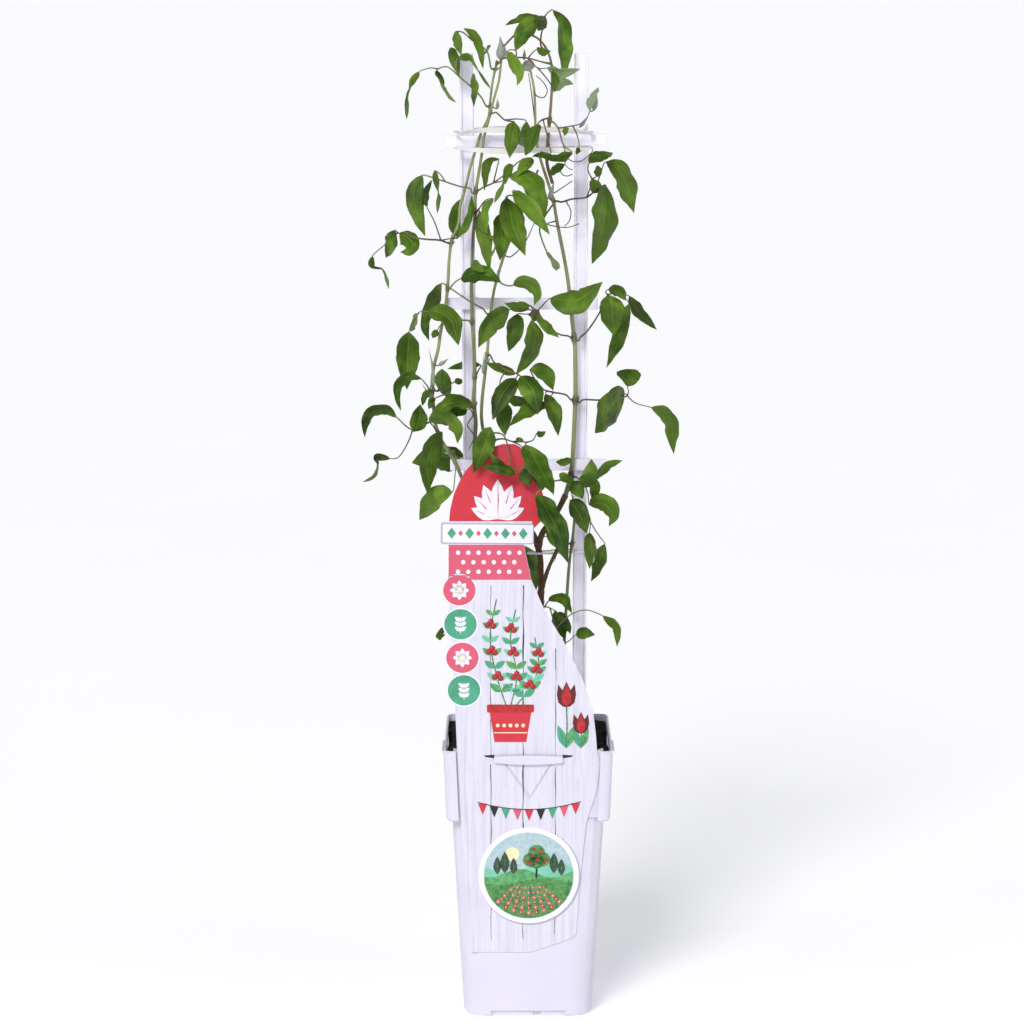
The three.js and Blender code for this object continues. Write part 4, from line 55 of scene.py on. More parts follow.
# stems: first and last radius, then the points they run through
STEMS = {
    "stem_left": ([2,1], [[-16,-14,223.5],[-18,-15.1,237.9],[-20,-16.2,252.3],[-22,-16.9,266.7],[-24.1,-17.1,281.1],[-26.1,-17,295.6],[-28.2,-16.6,310],
        [-30.4,-16.2,324.4],[-32.6,-15.9,338.8],[-34.8,-15.7,353.2],[-36.9,-15.4,367.6],[-39.2,-15.1,382],[-41.8,-14.8,396.3],[-45,-14.2,410.5],[-49.3,-13.4,424.4],
        [-54.8,-12.1,437.8],[-61.3,-10.9,450.8],[-69.1,-10.5,463],[-73.7,-10.5,476.7],[-75.1,-10.5,491.2],[-76.1,-10.6,505.8],[-74.9,-11,520.2],[-71.3,-11,534.3],
        [-69.1,-11,548.7],[-66.1,-10.9,563],[-64.1,-11.6,577.4],[-63,-12.1,591.9],[-62.2,-11.9,606.4],[-60.1,-11.5,620.8],[-54.8,-10.9,634.2],[-53.2,-11,648.7],
        [-49.2,-11,662.7],[-45.8,-10.6,676.8],[-41.5,-10.5,690.7],[-37.1,-10.5,704.6],[-31.1,-10.5,717.6],[-29.5,-10.5,732.1],[-27.5,-10.5,746.5],[-24.2,-10.5,760.7]]),
    "stem_middle": ([2,1], [[-11.8,-9.1,399.2],[-22.1,-9.8,409.6],[-29.7,-10.3,422.5],[-37,-10.6,435.6],[-42.4,-11,449.3],[-42,-11.2,464.3],[-41.6,-11.5,479.2],
        [-43.3,-11.4,494],[-42.4,-11.1,508.9],[-42.4,-11,523.9],[-42.9,-11,538.8],[-44,-11,553.8],[-44.4,-11,568.7],[-44.7,-11,583.7],[-44.4,-11,598.6],
        [-43.8,-11.1,613.6],[-43,-11.5,628.5],[-41.8,-11.9,643.4],[-41.3,-12.4,658.3],[-38.9,-12.9,673.1],[-36.5,-13.5,687.8],[-34.4,-14.1,702.6],[-30.5,-14.9,717],
        [-26.8,-15,731.5],[-22.9,-14.9,745.9],[-21.1,-14.5,760.8]]),
    "stem_inner": ([1.9,1], [[-6.3,-8,222.1],[-7.2,-9.1,236.6],[-8.1,-10.3,251],[-8.9,-11.5,265.5],[-9.8,-12.6,280],[-10.7,-13.6,294.4],[-11.7,-14.4,308.9],
        [-12.6,-15.1,323.4],[-13.5,-15.8,337.9],[-14.4,-16.4,352.4],[-15.5,-16.9,366.9],[-16.6,-17.1,381.4],[-18,-17.1,395.8],[-19.7,-16.5,410.3],
        [-21.6,-15.3,424.6],[-24,-13.8,438.9],[-27.8,-11.9,452.8],[-34.3,-10.9,465.6],[-36.9,-11,479.7],[-36.5,-11,494.3],[-35,-11,508.7],[-33.3,-11,523.2],
        [-31.9,-11,537.6],[-30.9,-11,552.1],[-29.2,-11,566.4],[-27.1,-11,580.8],[-23.5,-11,594.8],[-19.2,-11.1,608.7],[-14.1,-11.5,622.3],[-9.7,-12,636.2],
        [-4.7,-11.6,649.8],[2.3,-10.9,662.5],[7.5,-10.3,676]]),
    "stem_right": ([2.1,1], [[30,-10.5,418.9],[33.7,-11,433.1],[35.3,-11,447.8],[36.1,-11,462.5],[36.7,-11,477.2],[37.3,-11,491.9],[37.4,-11,506.7],
        [37.2,-11,521.4],[37,-11,536.1],[35.5,-11,550.8],[33.9,-11.2,565.4],[32.4,-11.2,580.1],[30.4,-11.2,594.7],[27.8,-11.1,609.2],[24.9,-11,623.7],
        [22.1,-11,638.1],[19.5,-11,652.6],[15.2,-11,666.6],[10.7,-11,680.4],[6.9,-11,694.6],[5.5,-11,709.2],[5.2,-11,724],[4.4,-11,738.7],[1.7,-11,752.4]]),
    "stem_brown": ([1.4,0.8], [[18.8,-14.3,666.1],[14.6,-11,681.7],[15.1,-11,698.2],[16.5,-11,714.7],[17.8,-11,731.2],[18.4,-11,747.7],[16.4,-10.9,764],
        [7.7,-13.9,777.5],[-7.4,-18,782],[-19.3,-21.5,772]]),
    "stem_low": ([1.5,1.2], [[22.7,-8,222.1],[24.4,-8.7,238.2],[26.2,-9.5,254.3],[27.6,-10.1,270.4],[28.6,-10.4,286.5],[29.3,-10.7,302.7],[30.1,-11,318.9],
        [31,-11.4,335],[32,-11.6,351.2],[33.4,-12.3,367.3],[35.4,-14,383.2],[36.9,-15.3,399.3],[38.8,-16,415.4]]),
}
WOODY = [
    ([3.2,2.3], [[-0.7,0,211.1],[0.1,-1,222.2],[1,-2,233.4],[2,-2.9,244.6],[3,-3.7,255.8],[4.1,-4.5,266.9],[5.2,-5.2,278.1],[6.4,-5.8,289.3],[7.6,-6.4,300.5],
        [8.8,-7,311.6],[9.9,-7.6,322.8],[10.5,-8.1,334.1],[10.5,-8,345.3],[10.2,-8,356.6],[9.7,-8,367.8],[7.3,-8,378.7]]),
    ([2.2,1.9], [[8.3,-8,376.1],[4.7,-8,386],[-2,-7.9,393.9],[-11.2,-9,398.9]]),
    ([2.5,2.1], [[8,-8,376.1],[11.5,-8.9,387.5],[18.2,-10.1,397.3],[24.4,-10.5,407.5],[29.7,-10.5,418.2]]),
    ([1.8,1.3], [[9.6,-8.5,333.1],[11.9,-11.6,345],[15.2,-13.6,356.9],[20,-14.5,368.5],[25,-15.4,379.9],[30.2,-16.5,391.3]]),
]
ROOTSTOCK = [
    ([7.2, 3.8], [[-1, 1, 190], [0, 0, 197], [1, -1, 205], [3, -2, 213]]),
    ([2.2, 1.1], [[2, -1, 196], [12, -9, 170], [24, -20, 130], [29, -27, 80], [26, -30, 40]]),
    ([2.2, 1.1], [[-2, -2, 196], [-14, -12, 165], [-26, -22, 120], [-31, -18, 70], [-27, -8, 34]]),
    ([2.2, 1.1], [[1, 3, 196], [7, 16, 168], [20, 26, 126], [30, 24, 78], [24, 14, 36]]),
    ([2.2, 1.1], [[-1, 4, 196], [-9, 18, 160], [-22, 28, 118], [-24, 33, 70], [-12, 34, 32]]),
]
# leaves: where the stalk leaves its stem, the stem, the stalk and its branches, and the blades
# (midrib points, width, first and last roll in degrees, kind, branch)
LEAVES = {
    "leaf_01": ([-25.9,-10.5,753.9], "stem_left", [[[-27.2,-11,754.2],[-28.8,-11.6,754.6],[-32.3,-15.2,768],[-43.3,-18,776.2],[-51.6,-20,782.9],
        [-57.1,-20.2,782.9]],[[-43.3,-18,776.2],[-48.5,-14,784.3],[-50.1,-13,785.8]],[[-32.3,-15.2,768],[-29.3,-13,772.8]]], [([[-57.1,-20.2,782.9],
        [-55.9,-24.3,779.1],[-54.6,-28.1,775],[-53.1,-30.4,770],[-51.6,-32.1,764.7]],10.1,49,39,"plain",0),([[-50.1,-13,785.8],[-43.4,-17.3,780.7],
        [-39.2,-20.3,772.8],[-37.1,-22.2,763.7],[-35.1,-24,754.6]],11.1,-54,-44,"plain",1),([[-29.3,-13,772.8],[-30.9,-12.1,770.5],[-32.3,-10.3,768.7],
        [-33.5,-7.9,767.4],[-34.6,-5.5,766.1]],7.6,70,52,"plain",2)]),
    "leaf_02": ([-30.1,-10.5,725.3], "stem_left", [[[-31.3,-11.2,725.4],[-32.8,-12.2,725.6],[-36.9,-15,732.8],[-45.4,-18,741.4],[-53.6,-18.8,748.4],
        [-62.5,-19.9,756],[-70.4,-9.6,754.3],[-71.5,-9.6,753.5]],[[-53.6,-18.8,748.4],[-59.4,-17,759.8],[-60.8,-13.4,770.9]],[[-70.4,-9.6,754.3],[-76.8,-3.3,754.9],
        [-85.4,2,752]],[[-53.6,-18.8,748.4],[-56.1,-26.4,755.4],[-55.3,-26.3,762.7]],[[-45.4,-18,741.4],[-42.8,-19,746],[-43.1,-20,751.4]]], [([[-60.8,-13.4,770.9],
        [-58.9,-17.1,766],[-57.1,-20.6,760.9],[-55.3,-23,755.2],[-53.5,-25.2,749.4]],8.8,26,15,"plain",1),([[-71.5,-9.6,753.5],[-69.3,-16.9,746.9],
        [-66.9,-24.1,740.3],[-62.2,-30.6,734.2],[-55.6,-36,728.9]],9.8,-28,-152,"twisted",0),([[-85.4,2,752],[-90.2,-1.2,743.9],[-93.8,-3.6,734.9],
        [-94.8,-4.2,725.1],[-95.3,-4.4,715.1]],10.7,28,152,"twisted",2),([[-55.3,-26.3,762.7],[-45.7,-26.3,763.6],[-40.2,-25.4,755],[-34.5,-23.1,746.7],
        [-28.7,-19.9,738.7]],9.8,28,152,"twisted",3),([[-43.1,-20,751.4],[-42.7,-22.9,745.3],[-42.3,-25.4,739],[-42.3,-26,732.2],
        [-42.3,-26,725.4]],12.8,72,54,"plain",4)]),
    "leaf_03": ([-29.4,-15,720.7], "stem_middle", [[[-28.7,-16.3,720.5],[-27.8,-17.9,720.3],[-25.2,-22,721.1],[-18.2,-26,715.4],[-10.8,-27,713.9]],
        [[-18.2,-26,715.4],[-9.7,-22,716.1],[-1.7,-33.6,715]]], [([[-10.8,-27,713.9],[-12.1,-31.1,707.7],[-13.3,-34.6,701],[-14.1,-36.5,693.7],
        [-14.7,-38,686.3]],13.4,-24,-14,"plain",0),([[-1.7,-33.6,715],[-2.3,-33,706.1],[-3,-25.8,700.9],[-3.6,-17.5,697.4],[-4.2,-9.3,693.9]],13.6,-50,-38,"plain",1)]),
    "leaf_04": ([16.6,-11,716], "stem_brown", [[[15.6,-12.2,716],[14.4,-13.6,716.2],[11.3,-17,715.5],[7.1,-34.5,712.8]],[[11.3,-17,715.5],[14.4,-24,703.8],
        [17.5,-26,689.2]]], [([[7.1,-34.5,712.8],[4.9,-39.5,707.1],[2.2,-42.2,700.4],[-0.4,-38.3,694.1],
        [-2.7,-33.5,688.2]],13.9,41,31,"plain",0),([[17.5,-26,689.2],[14.2,-28.5,689.2],[10.7,-30.7,689.2],[6.7,-31.3,688.5],[2.7,-31,687.5]],10.2,66,50,"plain",1)]),
    "leaf_05": ([16.4,-11,714], "stem_brown", [[[17.2,-12.3,713.9],[18.1,-13.9,713.8],[18.8,-15.1,713.7],[23.1,-22.2,709],[27.5,-30,696],[33.7,-33,691.1]],
        [[23.1,-22.2,709],[29.1,-24,710],[34.4,-22.8,710.9],[40.6,-21.2,712.4],[45.4,-17.4,716.4],[47.8,-12.7,721.9]],[[27.5,-30,696],[28.7,-33,688.8],
        [28,-34,681.4]],[[34.4,-22.8,710.9],[36.9,-24.4,706],[38.6,-26.4,700.6],[39.5,-29,694]],[[29.1,-24,710],[29.7,-25.5,709.7]]], [([[33.7,-33,691.1],
        [28.3,-36.1,689.2],[22.5,-38.8,687.6],[16.1,-39.8,687.3],[9.6,-40,687.6]],14.4,64,48,"plain",0),([[28,-34,681.4],[23.9,-33.5,679.4],[20.3,-31.9,677.2],
        [17.9,-29,674.7],[15.6,-26,672.3]],7.9,30,20,"plain",2),([[29.7,-25.5,709.7],[29.2,-27.2,708.5],[28.7,-28.6,707],[28.3,-28,705],
        [28,-27,703.2]],5.0,23,13,"plain",4),([[39.5,-29,694],[38.9,-30.7,693.1],[38.3,-32.2,692.1],[37.7,-32,690.3],
        [37.3,-31,688.7]],4.2,-23,-13,"plain",3),([[47.8,-12.7,721.9],[49.1,-12.6,727.5],[50.8,-10.7,732.5],[52.7,-7.1,736.4],
        [54.7,-3.4,740.2]],11.9,-62,-46,"plain",1)]),
    "leaf_06": ([14,-11.3,769], "stem_brown", [[[13.6,-10.1,768.9],[13,-8.3,768.9],[9.8,-5,771.9],[10.5,0,783.1],[13.1,-3,790.9],[12.1,-6,793.8],[9.7,-7,794.2]],
        [[12.1,-6,793.8],[15.5,-9,798.1],[19,-11,799.9]],[[12.1,-6,793.8],[10.6,-1,791.1],[13.4,4,794.6]],[[12.1,-6,793.8],[8.9,-12,792.7],
        [6.6,-14,792.9]]], [([[9.7,-7,794.2],[3.1,-11.5,794.2],[-3.9,-15.5,793.4],[-11.1,-18,790.9],[-18.3,-20,787.9]],12.3,54,44,"plain",0),([[6.6,-14,792.9],
        [1.1,-19.2,788.5],[-3.8,-23.9,783.2],[-7.4,-27.2,775.9],[-10.4,-30,768.2]],15.3,-32,-22,"plain",3),([[19,-11,799.9],[25.5,-14.6,787.9],[26.6,-17.3,774.1],
        [27,-18.4,760],[27.1,-18.7,745.8]],18.5,-54,-44,"plain",1),([[13.4,4,794.6],[11.1,4.6,791.4],[9.3,6.3,788.4],[8.4,9.1,785.8],
        [7.6,12,783.3]],11.1,23,13,"plain",2)]),
    "leaf_07": ([-24.7,-10.5,758.7], "stem_left", [[[-24.2,-11.8,758.6],[-23.5,-13.5,758.4],[-19.8,-20,762.4],[-9.7,-24,763.4],[-0.4,-24,762.8],[10.4,-25,760],
        [16.6,-26,758.2]],[[-9.7,-24,763.4],[-9.7,-26,768.4],[-15.1,-29,769.2],[-16.8,-30,767.3]],[[-0.4,-24,762.8],[3.5,-21,767.5],[6.4,-19,769.4]],
        [[-0.4,-24,762.8],[7.3,-26,755.4],[14.3,-28,755.4]],[[10.4,-25,760],[18.1,-30,758.5],[18.8,-32,753.2]],[[7.3,-26,755.4],[15.1,-20,746],
        [21.4,-13.1,737.2]]], [([[-16.8,-30,767.3],[-12.7,-33.6,762],[-8.9,-36.2,756.1],[-6.7,-37.8,749.1],[-9,-38,741.9]],13.3,53,43,"plain",1),([[6.4,-19,769.4],
        [8.6,-21.4,768.5],[11,-23.6,767.7],[14.2,-24.3,767.8],[17.5,-24,768.4]],8.5,60,45,"plain",2),([[14.3,-28,755.4],[20.2,-30.9,753.6],[26.6,-33.4,752.5],
        [33.4,-34,753.4],[40.1,-34,755]],11.1,60,45,"plain",3),([[21.4,-13.1,737.2],[24,-12.9,740.9],[27.4,-12.2,743.7],[31.4,-10.2,743.4],
        [35.3,-8.2,742.5]],9.6,60,45,"plain",5),([[18.8,-32,753.2],[19.7,-34,749.3],[20.3,-35.5,745.2],[20.1,-35.1,740.9],[19.6,-34,736.6]],8.6,-50,-38,"plain",4)]),
    "leaf_08": ([-41.3,-12.4,658.1], "stem_middle", [[[-42.7,-13.3,658.1],[-44.2,-14.3,658.2],[-44.9,-15,661.5],[-53,-16,663.4],[-64.9,-18,667.3],[-74.1,-20,670.5],
        [-82.8,-20,672.6]],[[-64.9,-18,667.3],[-68.9,-22,673.5],[-73.2,-26,676.4]]], [([[-82.8,-20,672.6],[-88.2,-24.2,661.8],[-88.3,-27.4,649.5],[-84.8,-29,637.3],
        [-80.3,-30,625.4]],14.9,25,19,"plain",0),([[-73.2,-26,676.4],[-71.5,-29.7,668.6],[-69.9,-33.2,660.7],[-69.8,-35.2,652.2],
        [-70.9,-36,643.5]],9.7,28,152,"twisted",1)]),
    "leaf_09": ([-41,-12.5,661], "stem_middle", [[[-39.8,-13.7,660.8],[-38.5,-15,660.6],[-36.2,-17,662.4],[-27.2,-20,666.7],[-14,-26,677.5],[-12.4,-27,681.1]],
        [[-27.2,-20,666.7],[-24.5,-16,677.9],[-23,-15,685.1]],[[-14,-26,677.5],[-6.6,-22,683.6],[2.8,-20,686.1]],[[-27.2,-20,666.7],[-20.6,-26,668.3],
        [-15.3,-28.1,671.8]]], [([[-23,-15,685.1],[-30,-18.7,683.1],[-32.8,-21.8,676.5],[-33.4,-23.5,668.5],
        [-34.5,-24,660.4]],9.9,50,38,"plain",1),([[-12.4,-27,681.1],[-17.1,-31.6,675.2],[-19.8,-35.6,667.8],[-22.9,-38.4,660],
        [-26.7,-40,652.1]],13.3,-28,-152,"twisted",0),([[2.8,-20,686.1],[0,-24.4,683.6],[-2.9,-28.6,680.8],[-6,-31.6,677],
        [-9.1,-34,672.7]],10.2,25,15,"plain",2),([[-15.3,-28.1,671.8],[-3,-31.7,672.3],[6.4,-35,664.8],[10.6,-37.6,653.1],[12.4,-39.7,640.5]],22.4,-46,-36,"plain",3)]),
    "leaf_10": ([-60.6,-11.5,618.6], "stem_left", [[[-62.1,-12,618.9],[-63.9,-12.5,619.3],[-68.5,-14,621.2],[-80.9,-5.6,621.5],[-92.8,7.9,622.5],
        [-103.7,21.4,624.7],[-105.9,23.2,626.7]],[[-68.5,-14,621.2],[-73.9,-6.3,635.6],[-79.9,4.7,646.1]],[[-80.9,-5.6,621.5],[-91.9,7.5,622.6],[-99.1,11.3,626],
        [-101.9,13.7,624.5]],[[-103.7,21.4,624.7],[-112.8,34.6,615.5],[-124.6,36.2,605.1]],[[-68.5,-14,621.2],[-63.7,-17.8,622.5],
        [-55.1,-20,624.3]]], [([[-105.9,23.2,626.7],[-107.8,25.5,620],[-109.9,28.6,613.7],[-112,33.1,608.4],
        [-114.1,37.9,603.2]],12.8,35,26,"plain",0),([[-101.9,13.7,624.5],[-96.1,10.9,621.9],[-92.4,8.8,616.7],[-94.6,8.2,611],
        [-101.5,8.7,610.3]],15.3,-23,-13,"plain",2),([[-124.6,36.2,605.1],[-124.9,33.9,596.9],[-116.6,32.8,594.7],[-113.2,33.3,587],
        [-111.7,34.4,578.4]],9.1,-28,-152,"twisted",3),([[-79.9,4.7,646.1],[-80.7,3.6,651.8],[-80.3,3.6,657.5],[-78.2,5.3,662.6],
        [-75.8,7.2,667.6]],7.5,50,38,"plain",1),([[-55.1,-20,624.3],[-49.9,-22.2,631.5],[-46.4,-23.4,639.7],[-44.6,-23.3,648.6],
        [-44,-22,657.5]],11.1,-60,-45,"plain",4)]),
    "leaf_11": ([-58.8,-11.3,623.1], "stem_left", [[[-58.8,-9.7,623],[-58.7,-7.9,622.9],[-58.8,-3,622.1],[-57.5,6,621.4],[-55.6,12,621.2]]], [([[-55.6,12,621.2],
        [-55.2,12.5,630.7],[-54,13.6,640.1],[-50.4,16.5,648.4],[-46.1,20,656.2]],18.2,14,8,"plain",0)]),
    "leaf_12": ([-3.4,-11.5,652.6], "stem_inner", [[[-4.3,-12.4,653],[-5.6,-13.6,653.7],[-8.1,-16,655.3],[-14.4,-20,656.8],[-16.7,-22,656.1],[-16.2,-22,654.9]],
        [[-8.1,-16,655.3],[-11.2,-24,661.2],[-12.6,-28.7,659.6]],[[-16.7,-22,656.1],[-21.4,-18,648.4],[-22.6,-16.9,642.1]]], [([[-12.6,-28.7,659.6],
        [-4.5,-36.8,654.4],[3.3,-44.1,647.8],[10,-49.1,638.5],[16.4,-53.5,628.5]],15.4,40,30,"plain",1),([[-16.2,-22,654.9],[-14.9,-28.8,644],[-12.5,-35.1,633],
        [-7.6,-39.8,622.1],[-2.2,-44,611.2]],22.7,-37,-27,"plain",0),([[-22.6,-16.9,642.1],[-21.9,-20.2,633.5],[-21.4,-23.2,624.7],[-21.7,-24.4,615.5],
        [-22.3,-24.8,606.2]],15.5,-35,-26,"plain",2)]),
    "leaf_13": ([-41.8,-11.9,643.1], "stem_middle", [[[-41.3,-13.5,643],[-40.7,-15.2,642.9],[-39.4,-19,645.3],[-38.3,-20.1,644.8]],[[-39.4,-19,645.3],
        [-33,-27,653.6],[-27.3,-30,654.9]],[[-39.4,-19,645.3],[-42.4,-29.9,636.8],[-36.9,-33,630],[-32,-33,627]],[[-42.4,-29.9,636.8],[-43.5,-32,622.9],
        [-43.3,-33.3,606.7]]], [([[-38.3,-20.1,644.8],[-36,-23.6,633.3],[-33.7,-26.2,621.5],[-31.8,-26.9,609.5],
        [-30,-27.1,597.3]],12.8,30,22,"plain",0),([[-27.3,-30,654.9],[-31.7,-33.6,649.9],[-33.6,-35.9,643],[-33.2,-37,635.5],
        [-32.7,-38,628]],9.8,50,38,"plain",1),([[-32,-33,627],[-28,-36.5,623.6],[-26.1,-39.6,618.8],[-28.4,-40.9,613.2],
        [-31.3,-42,607.6]],7.9,-28,-152,"twisted",2),([[-43.3,-33.3,606.7],[-41.5,-36,604.6],[-39.5,-38.5,602.5],[-36.5,-39.4,600.6],
        [-33,-38.8,599]],7.5,23,13,"plain",3)]),
    "leaf_14": ([-63.7,-11.9,582.8], "stem_left", [[[-62.9,-13.4,582.6],[-62.1,-15,582.5],[-61,-15.8,584.4],[-57.3,-23,589.4],
        [-53.1,-25.2,592.2]]], [([[-53.1,-25.2,592.2],[-45.4,-30.2,595.6],[-37.3,-35.1,597.4],[-28.9,-39.2,594.5],[-20.9,-42.9,590.4]],19.0,-48,-29,"plain",0)]),
    "leaf_15": ([-24.7,-11,591.2], "stem_inner", [[[-23.9,-12.3,591],[-23.1,-13.9,590.7],[-21.4,-18,588.1],[-15.7,-22,586.3],
        [-11.8,-23,586.8]]], [([[-11.8,-23,586.8],[-4.3,-26.7,589],[3.3,-29.7,586.7],[6.8,-31.5,579.7],[4.4,-32,571.4]],14.9,50,40,"plain",0)]),
    "leaf_16": ([-30,-11,562.8], "stem_inner", [[[-31.2,-12.1,563],[-32.5,-13.3,563.4],[-35.6,-17,567.6],[-45.9,-20,573.8],[-62.2,-18.9,584.8],
        [-68.2,-11.7,587.4]]], [([[-68.2,-11.7,587.4],[-72.7,-9.6,575.8],[-78.4,-7.3,564.6],[-81.5,-4.8,552.8],[-78.5,-2.3,540.7]],17.3,54,44,"plain",0)]),
    "leaf_17": ([-44.1,-11,556.2], "stem_middle", [[[-44.9,-12.7,556.2],[-45.7,-14.4,556.2],[-46,-15,557.9],[-59.1,-22,559.6],[-72.3,-26,564.5],[-77.9,-27,567.5]],
        [[-72.3,-26,564.5],[-81,-24,566.7],[-86.5,-8.5,563.6],[-87,-8.5,562.8]],[[-59.1,-22,559.6],[-69.5,-17,554.2],[-71.4,-16,550.9]],[[-86.5,-8.5,563.6],
        [-92.1,4,555.2],[-94.7,7,547.1]]], [([[-77.9,-27,567.5],[-69,-32.6,565.6],[-61.3,-37.9,560.8],[-57.5,-41.6,551.5],
        [-54.4,-45,541.8]],18.7,-37,-27,"plain",0),([[-87,-8.5,562.8],[-89,-1.5,558],[-90.9,5.7,553.5],[-92.7,13.2,549.4],
        [-94.3,20.8,545.5]],8.7,50,38,"plain",1),([[-71.4,-16,550.9],[-72.5,-17.1,549.2],[-73.8,-17.2,547.3],[-74.7,-15.7,545.8],
        [-75.5,-14,544.4]],5.9,-23,-13,"plain",2),([[-94.7,7,547.1],[-95.6,3.7,536],[-96.2,1,524.7],[-96.3,0.2,513.1],[-96.3,0,501.4]],20.5,-30,-20,"plain",3)]),
    "leaf_18": ([36.3,-11,545], "stem_right", [[[35.1,-12.6,544.8],[33.9,-14,544.7],[31.3,-17,546.3],[25.3,-19,547.5],[16.9,-22,553.1],[7,-26,566.5],
        [2.1,-26.3,570.8],[1.3,-26.3,571.6]],[[7,-26,566.5],[-3.4,-32.9,569.1],[-14.7,-36.5,568.9]],[[7,-26,566.5],[-0.2,-22,564.1],[-9,-20,563.9]],[[7,-26,566.5],
        [9.9,-27,570.1],[17.1,-28,577.1]],[[7,-26,566.5],[7.2,-31,562.7]],[[7,-26,566.5],[3.6,-35,564.6],[2.5,-38,561]],[[2.1,-26.3,570.8],[2.9,-15,568.2],
        [3.4,-11,566.5]]], [([[1.3,-26.3,571.6],[-3.6,-28.5,570.7],[-8.7,-30.2,570.5],[-13.9,-30.5,571.9],
        [-19.1,-30.4,573.6]],9.5,28,18,"plain",0),([[-14.7,-36.5,568.9],[-23.1,-41.7,565],[-30.7,-46.4,559.3],[-35.3,-49.4,550.2],
        [-39.2,-52,540.6]],18.7,-41,-31,"plain",1),([[-9,-20,563.9],[-9.5,-23.9,557],[-10.4,-27.3,550],[-12.8,-29,542.6],
        [-15.7,-30,535.3]],14.3,23,13,"plain",2),([[17.1,-28,577.1],[28,-34.3,575.6],[39.1,-40.2,576.5],[48.7,-44.4,583.6],
        [57.7,-48,591.8]],22.3,-36,-26,"plain",3),([[7.2,-31,562.7],[10.7,-33.7,558.6],[14.6,-35.9,554.5],[19.3,-36.2,550.7],
        [24.2,-36,547]],11.0,-50,-38,"plain",4),([[2.5,-38,561],[4.5,-42.5,550.3],[3.3,-46.3,539.4],[-2.8,-48.3,529.6],
        [-9.7,-50,520.1]],20.7,-54,-44,"plain",5),([[3.4,-11,566.5],[4.5,-12,564],[5,-11.6,561.2],[4.6,-9.9,558.9],[4.3,-8,556.7]],10.1,23,13,"plain",6)]),
    "leaf_19": ([36.7,-11,542], "stem_right", [[[38.5,-11.9,542.2],[40.2,-12.6,542.3],[40.8,-13,544.3],[46.3,-14,549.6],[56,-16.5,564.6],[62.8,-10,578.3],
        [63.9,-10,578.1]],[[62.8,-10,578.3],[66.4,-4.4,578.6],[72.8,6,576.5],[80.1,10,575.6]],[[62.8,-10,578.3],[60.6,-16.6,580.8],[62.5,-20.6,583.3]],
        [[72.8,6,576.5],[76.4,16,573.9],[80.5,20,568.3]]], [([[63.9,-10,578.1],[65,-13.2,570.5],[66,-15.7,562.6],[66.7,-16.4,554.3],
        [67.4,-16.6,546]],21.1,-23,-13,"plain",0),([[80.5,20,568.3],[77.1,18.2,555.1],[73.2,17.1,541.9],[68.1,17.9,529.2],
        [62.7,19.2,516.5]],16.3,50,38,"plain",3),([[62.5,-20.6,583.3],[67.5,-20.6,582.9],[71.8,-19.3,580.9],[74.4,-16.7,577.5],
        [76.8,-14,573.9]],9.3,23,13,"plain",2),([[80.1,10,575.6],[84,7.2,567.9],[89.3,5.7,560.8],[95.8,5.8,554.7],[102.5,6,548.6]],14.4,60,45,"plain",1)]),
    "leaf_20": ([37.3,-11,493.1], "stem_right", [[[39.2,-12.1,493.1],[40.8,-13,493],[42.6,-14,495.1],[56.2,-7.6,494.3],[71.9,10.4,493.7],[79.6,21,494.2],
        [77.5,21,495.9]],[[79.6,21,494.2],[87.2,34,486.4],[99.4,36,482.8]],[[79.6,21,494.2],[80.8,29.4,496.9],[80.1,31.4,500.2]]], [([[80.1,31.4,500.2],
        [81.1,32.3,504.3],[81.3,34.5,507.9],[80.7,37.8,510.7],[80,41,513.4]],19.5,15,15,"fan",2),([[77.5,21,495.9],[70.4,7.4,491.4],[63.7,-6.1,485.9],
        [57.9,-19.1,478.7],[52.2,-32,471.1]],28.2,-49,-39,"plain",0),([[99.4,36,482.8],[110.5,33,479.2],[115.8,31.6,469.1],[116.9,31.4,457.2],
        [117.9,31.2,445.2]],17.6,54,44,"plain",1)]),
    "leaf_21": ([37.3,-11,495.1], "stem_right", [[[35.5,-12.2,495.1],[33.9,-13.2,495.2],[29.9,-16,499.4],[20,-18,501.8],[10.9,-20,505],[1.4,-18,520.3]],
        [[20,-18,501.8],[14,-24,502.8],[13.5,-25,501.5]],[[20,-18,501.8],[16.3,-31,498.1],[14.7,-29.4,494.7]]], [([[1.4,-18,520.3],[8.8,-18.7,519.6],
        [15,-18.2,515.9],[17.7,-16.2,509.2],[19.9,-14,502.3]],13.5,-23,-13,"plain",0),([[13.5,-25,501.5],[17.4,-28.8,494.3],[20.6,-31.9,486.5],[22.3,-33.1,477.8],
        [23.6,-34,468.9]],15.8,-45,-35,"plain",1),([[14.7,-29.4,494.7],[6.3,-33.5,493.1],[-1.6,-37.7,490.1],[-8.2,-41.9,484.7],[-14.4,-46,478.7]],16.7,53,43,"plain",2)]),
    "leaf_22": ([-32.5,-11,530.9], "stem_inner", [[[-31.3,-12.2,530.8],[-30,-13.5,530.7],[-27,-19,525.9],[-17.5,-25.8,520.4],[-8.3,-30.7,517.3],[-9.9,-30.7,514.6]],
        [[-17.5,-25.8,520.4],[-22.3,-15.6,508.1],[-15.3,-14,496.9]],[[-8.3,-30.7,517.3],[-8.1,-24,520.2],[-9.6,-17.5,516.2]],[[-22.3,-15.6,508.1],[-19.9,-22,502.5],
        [-18.5,-26.9,495.7]],[[-8.3,-30.7,517.3],[-6.2,-30.7,516.2]]], [([[-9.6,-17.5,516.2],[-15.9,-18.4,518.2],[-22.1,-19.1,520.3],[-28.1,-19,523],
